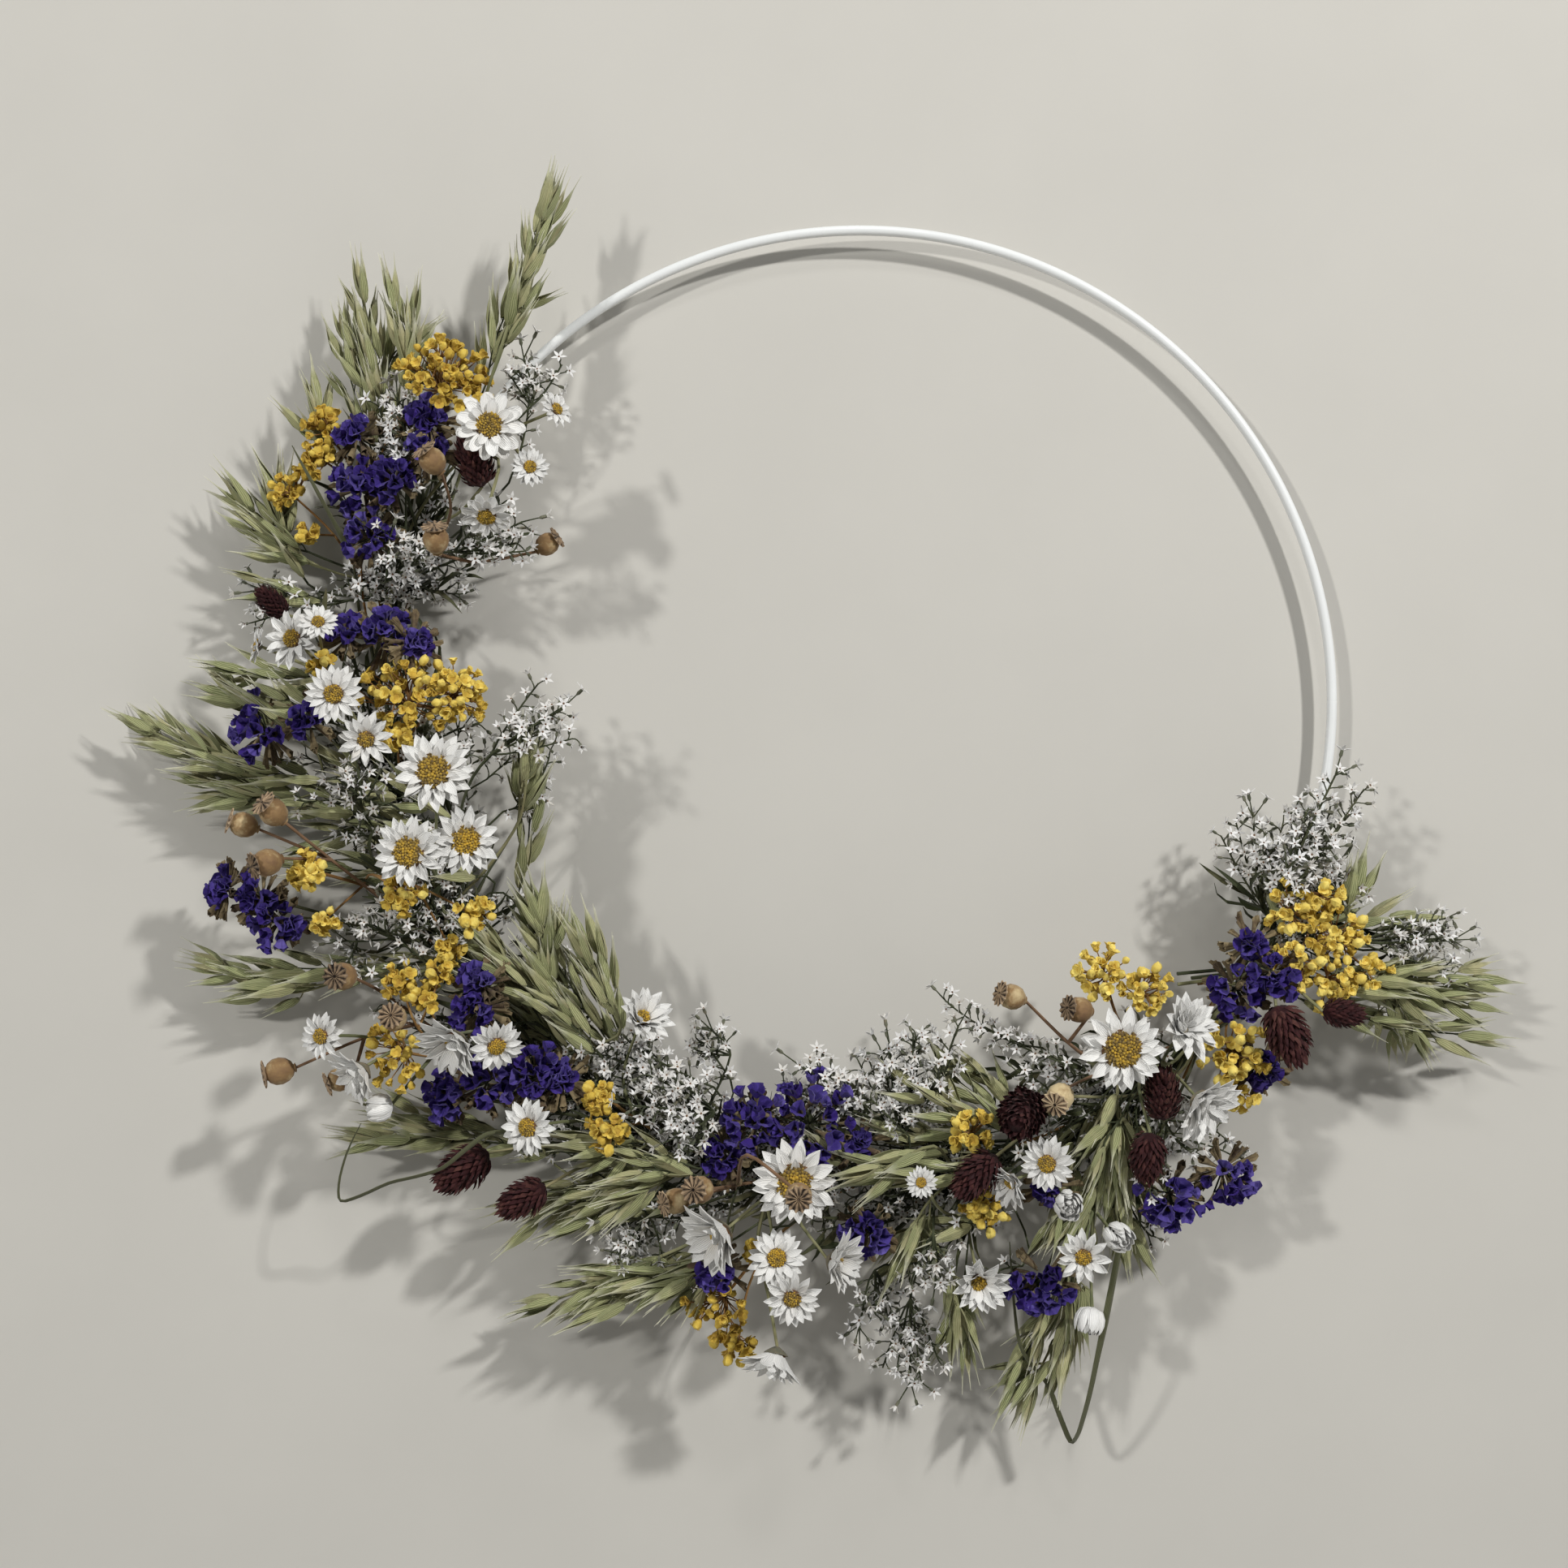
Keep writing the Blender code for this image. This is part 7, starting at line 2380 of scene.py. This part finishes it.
# %% Fuller sprays, read from the photograph
FILL_OATS = read_table((3, 3), """
1: 600 470 18 640 350 14 / 460 560 14 420 380 12 / 470 520 14 500 400 12 / 380 680 10 300 640 8 /
    380 720 10 330 640 10 / 400 740 14 300 720 12
2: 430 840 24 270 822 16 / 400 960 16 250 930 10 / 430 900 26 330 850 24 / 420 990 14 250 980 8
3: 560 1010 20 400 930 18 / 560 1050 18 380 985 18 / 540 1010 16 370 1040 14 / 600 1080 18 440 1060 16 /
    560 1180 16 300 1190 10 / 640 1100 16 652 960 18 / 540 1070 12 340 1060 10
4: 770 1290 20 700 1150 18 / 740 1300 30 600 1180 30 / 760 1300 24 640 1120 24 / 700 1280 14 560 1200 12
5: 860 1440 30 720 1420 34 / 850 1470 22 700 1500 22 / 700 1420 14 500 1400 10 / 860 1450 34 760 1440 38
6: 880 1560 24 760 1560 28 / 880 1540 18 740 1600 14 / 1090 1440 26 1000 1400 28
7: 1250 1400 26 1100 1330 30 / 1240 1380 22 1140 1300 24 / 1240 1440 30 1060 1440 34 /
    1220 1500 28 1090 1560 24 / 1230 1420 24 1080 1390 26 / 1190 1560 20 1180 1670 16 /
    1260 1380 20 1180 1300 18
8: 1385 1340 26 1340 1480 30 / 1390 1360 22 1370 1530 24 / 1370 1400 30 1400 1560 24 /
    1360 1350 22 1310 1430 26 / 1400 1380 20 1430 1500 18 / 1330 1420 26 1290 1540 24 /
    1380 1380 32 1350 1460 34 / 1300 1600 20 1240 1730 12 / 1320 1560 22 1290 1720 16
9: 1640 1200 22 1830 1240 14 / 1640 1220 26 1780 1180 18 / 1600 1230 20 1840 1280 10 /
    1620 1150 20 1760 1130 14 / 1590 1150 18 1550 1060 14
""")

FILL_STARS = read_table((3, 3), """
1: 500 620 30 490 480 30 / 640 560 14 650 440 12 / 540 700 30 470 660 30 / 430 740 16 320 730 12 /
    560 690 24 650 650 26
2: 600 960 18 700 866 18 / 480 990 26 410 950 26 / 560 900 20 620 880 18
3: 540 1200 28 430 1120 32 / 560 1180 26 500 1120 34 / 620 1100 16 690 1130 14 /
    520 1230 24 420 1180 24 / 640 1010 14 690 900 12 / 620 1000 20 680 960 20
4: 640 1260 24 560 1290 24 / 560 1260 18 440 1230 16 / 700 1300 20 640 1360 24
5: 880 1340 24 740 1260 24 / 880 1400 30 780 1330 34 / 900 1330 20 850 1260 20 /
    860 1500 20 740 1490 22 / 860 1370 34 800 1390 38
6: 1080 1360 24 980 1290 22 / 1120 1400 28 1050 1330 30 / 1000 1420 24 900 1330 26
7: 1310 1310 24 1130 1210 20 / 1320 1310 20 1180 1250 24 / 1200 1500 26 1130 1580 28 /
    1260 1560 24 1190 1600 26 / 1120 1560 20 1120 1720 16 / 1290 1340 28 1230 1310 32
8: 1440 1380 26 1530 1410 22 / 1420 1400 24 1440 1450 24 / 1400 1500 20 1440 1530 14 /
    1300 1400 26 1250 1440 24 / 1430 1370 30 1500 1440 30 / 1440 1400 18 1550 1440 14 /
    1430 1420 32 1400 1500 34
9: 1590 1120 20 1600 960 18 / 1580 1110 24 1545 1020 22 / 1700 1170 20 1800 1140 16 /
    1600 1100 14 1650 960 12
""")
print("fuller sprays:", sum(len(rows) for table in (FILL_OATS, FILL_STARS) for _, rows in table.values()))

# %% [markdown]
# Each piece starts with the fuller sprays of its bunch, and then fans out twigs, every other one with
# leaves and every other one with stars, until the rod is hidden.

# %% Greenery
GREENERY_OWNER = 900
GREENERY_TWIGS = {bunch: 28 for bunch in BUNCHES} | {3: 34, 6: 38, 7: 44, 8: 40}
GREENERY_SPAN = {bunch: (6, 26) for bunch in BUNCHES} | {9: (4, 15), 1: (6, 20)}
GREENERY_WIDE = 30 * MM
GREENERY_HIGH = (3 * MM, 24 * MM)


def greenery_target(bunch, draw):
    """A place along the hoop from a tie, in degrees, mm aside and mm in front."""
    degrees, side = BUNCHES[bunch]
    angle = math.radians(degrees + side * draw.uniform(*GREENERY_SPAN[bunch]))
    radius = HOOP_RADIUS + draw.triangular(-GREENERY_WIDE, GREENERY_WIDE, 0)
    lift = draw.uniform(*GREENERY_HIGH)
    return HOOP_CENTRE + Vector((math.cos(angle), 0, math.sin(angle))) * radius + TOWARD_VIEWER * lift


def greenery(bunch):
    """A fan of leafy and starry twigs from one tie, as one piece."""
    draw = random.Random(GREENERY_OWNER + bunch)
    stand_in = Plant("greenery", bunch, GREENERY_OWNER + bunch)
    centre, outward, along = tie_frame(bunch)
    lines, heads = [], []
    for table, fill in ((FILL_OATS, fill_with_oats), (FILL_STARS, fill_with_stars)):
        for foot_seen, top_seen in table[str(bunch)][1]:
            foot, top = at(*foot_seen), at(*top_seen)
            way = (top - foot).normalized()
            start = centre + along * 8 * MM + TOWARD_VIEWER * draw.uniform(4, 7) * MM
            reach = (foot - start).length
            stem = bezier(start, start + along * 0.3 * reach, foot - way * 0.3 * reach, foot, 6)
            sag = side_way(way, draw.uniform(0, TWO_PI)) * draw.uniform(1, 4) * MM
            run = bezier(foot, foot.lerp(top, 0.35) + sag, foot.lerp(top, 0.7) + sag, top - way * 8 * MM, 8)
            lines.append((stem + run[1:], 0.45 * MM, 0.26 * MM))
            fill(stand_in, run, 0.0, draw, heads, lines)
    for number in range(GREENERY_TWIGS[bunch]):
        start = (centre + along * draw.uniform(2, 14) * MM + outward * draw.uniform(-3, 3) * MM
                 + TOWARD_VIEWER * draw.uniform(3, 6) * MM)
        end = greenery_target(bunch, draw)
        bend = outward * draw.uniform(-5, 5) * MM
        points = bezier(start, start + along * 0.35 * (end - start).length, start.lerp(end, 0.7) + bend,
                        end, 9)
        lines.append((points, 0.38 * MM, 0.2 * MM))
        if number % 2:
            fill_with_stars(stand_in, points, 0.35, draw, heads, lines)
            continue
        for place, way in stations(points, 4.2 * MM, 0.3):
            roll = draw.uniform(0, TWO_PI)
            direction = (way + side_way(way, roll) * draw.uniform(0.3, 0.8)).normalized()
            matrix = stand(place, direction, roll) @ Matrix.Rotation(math.pi / 2, 4, "X")
            leaf = draw.choice(LEAVES)
            beads = spindle_beads(9 * MM, 2 * MM, 0.5 * MM, 4)
            if loose_fit(stand_in, stand(place, direction), beads, 1.0 * MM, 2.0 * MM):
                heads.append(placed(leaf, matrix, draw.uniform(0, 0.8)))
    stalks = stalk_mesh("twigs", lines, GREEN_STALK_AND_SHADE, 0)
    set_tone(stalks, 0.3)
    piece = kept_in_box(joined(f"greenery_{bunch}", [stalks] + heads))
    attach(piece, "root")
    return len(heads), len(piece.data.polygons)


print("greenery heads and faces:", {bunch: greenery(bunch) for bunch in BUNCHES})

# %% [markdown]
# ## Hoop and wire
#
# The hoop is a bent and painted steel rod: a torus primitive, a little flattened for a short
# stretch where its two ends were welded and ground. The wire follows the same path as the packed
# one, but rounder.

# %% Hoop
WELD_REACH = 4 * MM
WELD_NARROWING = 0.97


def ridden(piece, node_name):
    """Tie a piece to the body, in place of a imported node."""
    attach(piece, "root")
    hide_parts(node_name)
    return piece


def painted_steel(name, colour, roughness, grain):
    """Gloss paint with a faint waviness and a few duller patches."""
    material, tree, shader = new_material(name)
    patch = group_node(tree, MOTTLE, Scale=grain)
    tint = blend_colours(tree, calc(tree, "MULTIPLY", patch.outputs["Value"], 0.25), colour,
                         tuple(0.8 * c for c in colour))
    rough = calc(tree, "MULTIPLY_ADD", patch.outputs["Value"], 0.15, roughness)
    wire_up(tree, (tint, shader.inputs["Base Color"]), (rough, shader.inputs["Roughness"]))
    relief_node(tree, shader, patch.outputs["Value"], 0.25, 0.2 * MM)
    shader.inputs["Coat Weight"].default_value = 0.4
    shader.inputs["Coat Roughness"].default_value = 0.1
    return material


only()
bpy.ops.mesh.primitive_torus_add(
    major_radius=HOOP_RADIUS, minor_radius=ROD_RADIUS, major_segments=240, minor_segments=14,
    location=HOOP_CENTRE, rotation=(math.pi / 2, 0, 0))
hoop = bpy.context.object
hoop.name = "hoop_fine"
bpy.ops.object.transform_apply()
edit(hoop)
weld = HOOP_CENTRE + Vector((0, 0, -HOOP_RADIUS))
pick(hoop, lambda v: (v.co - weld).length < WELD_REACH)
bpy.ops.transform.resize(value=(1, WELD_NARROWING, 1), center_override=tuple(weld))
only(hoop)
dressed(hoop, painted_steel("hoop_white", (0.86, 0.88, 0.88), 0.22, 60.0))
ridden(smooth(hoop, 60), "hoop")
print("hoop faces:", len(hoop.data.polygons))

# %% [markdown]
# The wire is dark annealed iron, thinner than a stalk, so the plain path as a round curve will do.

# %% Binding wire
wire_line = smooth_through(WIRE, 3)
binding = stalk_mesh("binding_wire_fine", [(wire_line, WIRE_RADIUS, WIRE_RADIUS)],
                     painted_steel("wire_brown", (0.12, 0.10, 0.07), 0.45, 300.0))
set_tone(binding, 0.0)
ridden(binding, "binding_wire")
print("wire length, mm:", round(line_length(wire_line) / MM))

# %% [markdown]
# The patterns that the copies were made from have done their work and go.

# %% Clear the patterns
discard(*LEAVES, *SPIKELETS, *STARS_MADE, *YELLOW_HEADS, *FLORETS, CALYX_TUFT, *DAISY_KINDS.values(),
        CLOSED_BUD, POPPY, PHALARIS_HEAD)

# %% [markdown]
# ## Wall, floor and light
#
# The wreath hangs on a pale wall. Light from the upper left and the upper right gives it the
# double shadows of the photograph. The wall is clear from behind, so that the wreath's back can be
# looked at as well.

# %% Wall and floor
def stage_plane(name, location, rotation, size, colour, clear_behind):
    """A plain plane of the stage, which is seen from one side only if it is clear behind."""
    only()
    bpy.ops.mesh.primitive_plane_add(size=size, location=location, rotation=rotation)
    plane = bpy.context.object
    plane.name = name
    bpy.ops.object.transform_apply()
    material, tree, shader = new_material(name)
    patch = group_node(tree, MOTTLE, Scale=14.0)
    tint = blend_colours(tree, calc(tree, "MULTIPLY", patch.outputs["Value"], 0.5), colour,
                         tuple(0.93 * c for c in colour))
    wire_up(tree, (tint, shader.inputs["Base Color"]))
    shader.inputs["Roughness"].default_value = 0.9
    if clear_behind:
        facing = node(tree, "NewGeometry")
        clear = node(tree, "BsdfTransparent")
        mix = node(tree, "MixShader")
        wire_up(tree, (facing.outputs["Backfacing"], mix.inputs["Fac"]),
                (shader.outputs["BSDF"], mix.inputs[1]), (clear.outputs["BSDF"], mix.inputs[2]),
                (mix.outputs["Shader"], tree.nodes["Material Output"].inputs["Surface"]))
    dressed(plane, material)
    return plane


WALL_GAP = 8 * MM
stage_plane("wall", (0, WALL_GAP, -0.15), (math.pi / 2, 0, 0), 6.0, (0.58, 0.565, 0.525), True)
stage_plane("floor", (0, 0, -1.2), (0, 0, 0), 60.0, (0.62, 0.61, 0.59), False)
print("from the hoop's middle to the wall, mm:", round(WALL_GAP / MM))

# %% [markdown]
# Small bright lamps give shadows with a soft but readable edge. The one on the right is twice as
# strong, so that the shadows to the left are the darker ones. A grey sky fills them a little.

# %% Lamps and sky
def soft_lamp(name, location, size, power, colour):
    """A round lamp that points at the middle of the wreath."""
    lamp_data = bpy.data.lights.new(name, "AREA")
    lamp_data.shape = "DISK"
    lamp_data.size = size
    lamp_data.energy = power
    lamp_data.color = colour
    lamp = bpy.data.objects.new(name, lamp_data)
    lamp.location = location
    aim = Vector((0, 0, -0.17)) - Vector(location)
    lamp.rotation_euler = aim.to_track_quat("-Z", "Y").to_euler()
    bpy.context.scene.collection.objects.link(lamp)
    return lamp


soft_lamp("key_left", (-1.05, -1.4, 0.45), 0.12, 12.5, (1.0, 0.99, 0.96))
soft_lamp("key_right", (1.05, -1.35, 0.85), 0.12, 25.5, (1.0, 0.99, 0.97))
soft_lamp("key_top", (0.1, -1.2, 1.2), 0.2, 3.0, (1.0, 0.99, 0.97))
world = bpy.data.worlds.new("studio")
world.use_nodes = True
world.node_tree.nodes["Background"].inputs["Color"].default_value = (0.90, 0.92, 0.94, 1)
world.node_tree.nodes["Background"].inputs["Strength"].default_value = 0.20
bpy.context.scene.world = world
bpy.context.scene.view_settings.view_transform = "Standard"
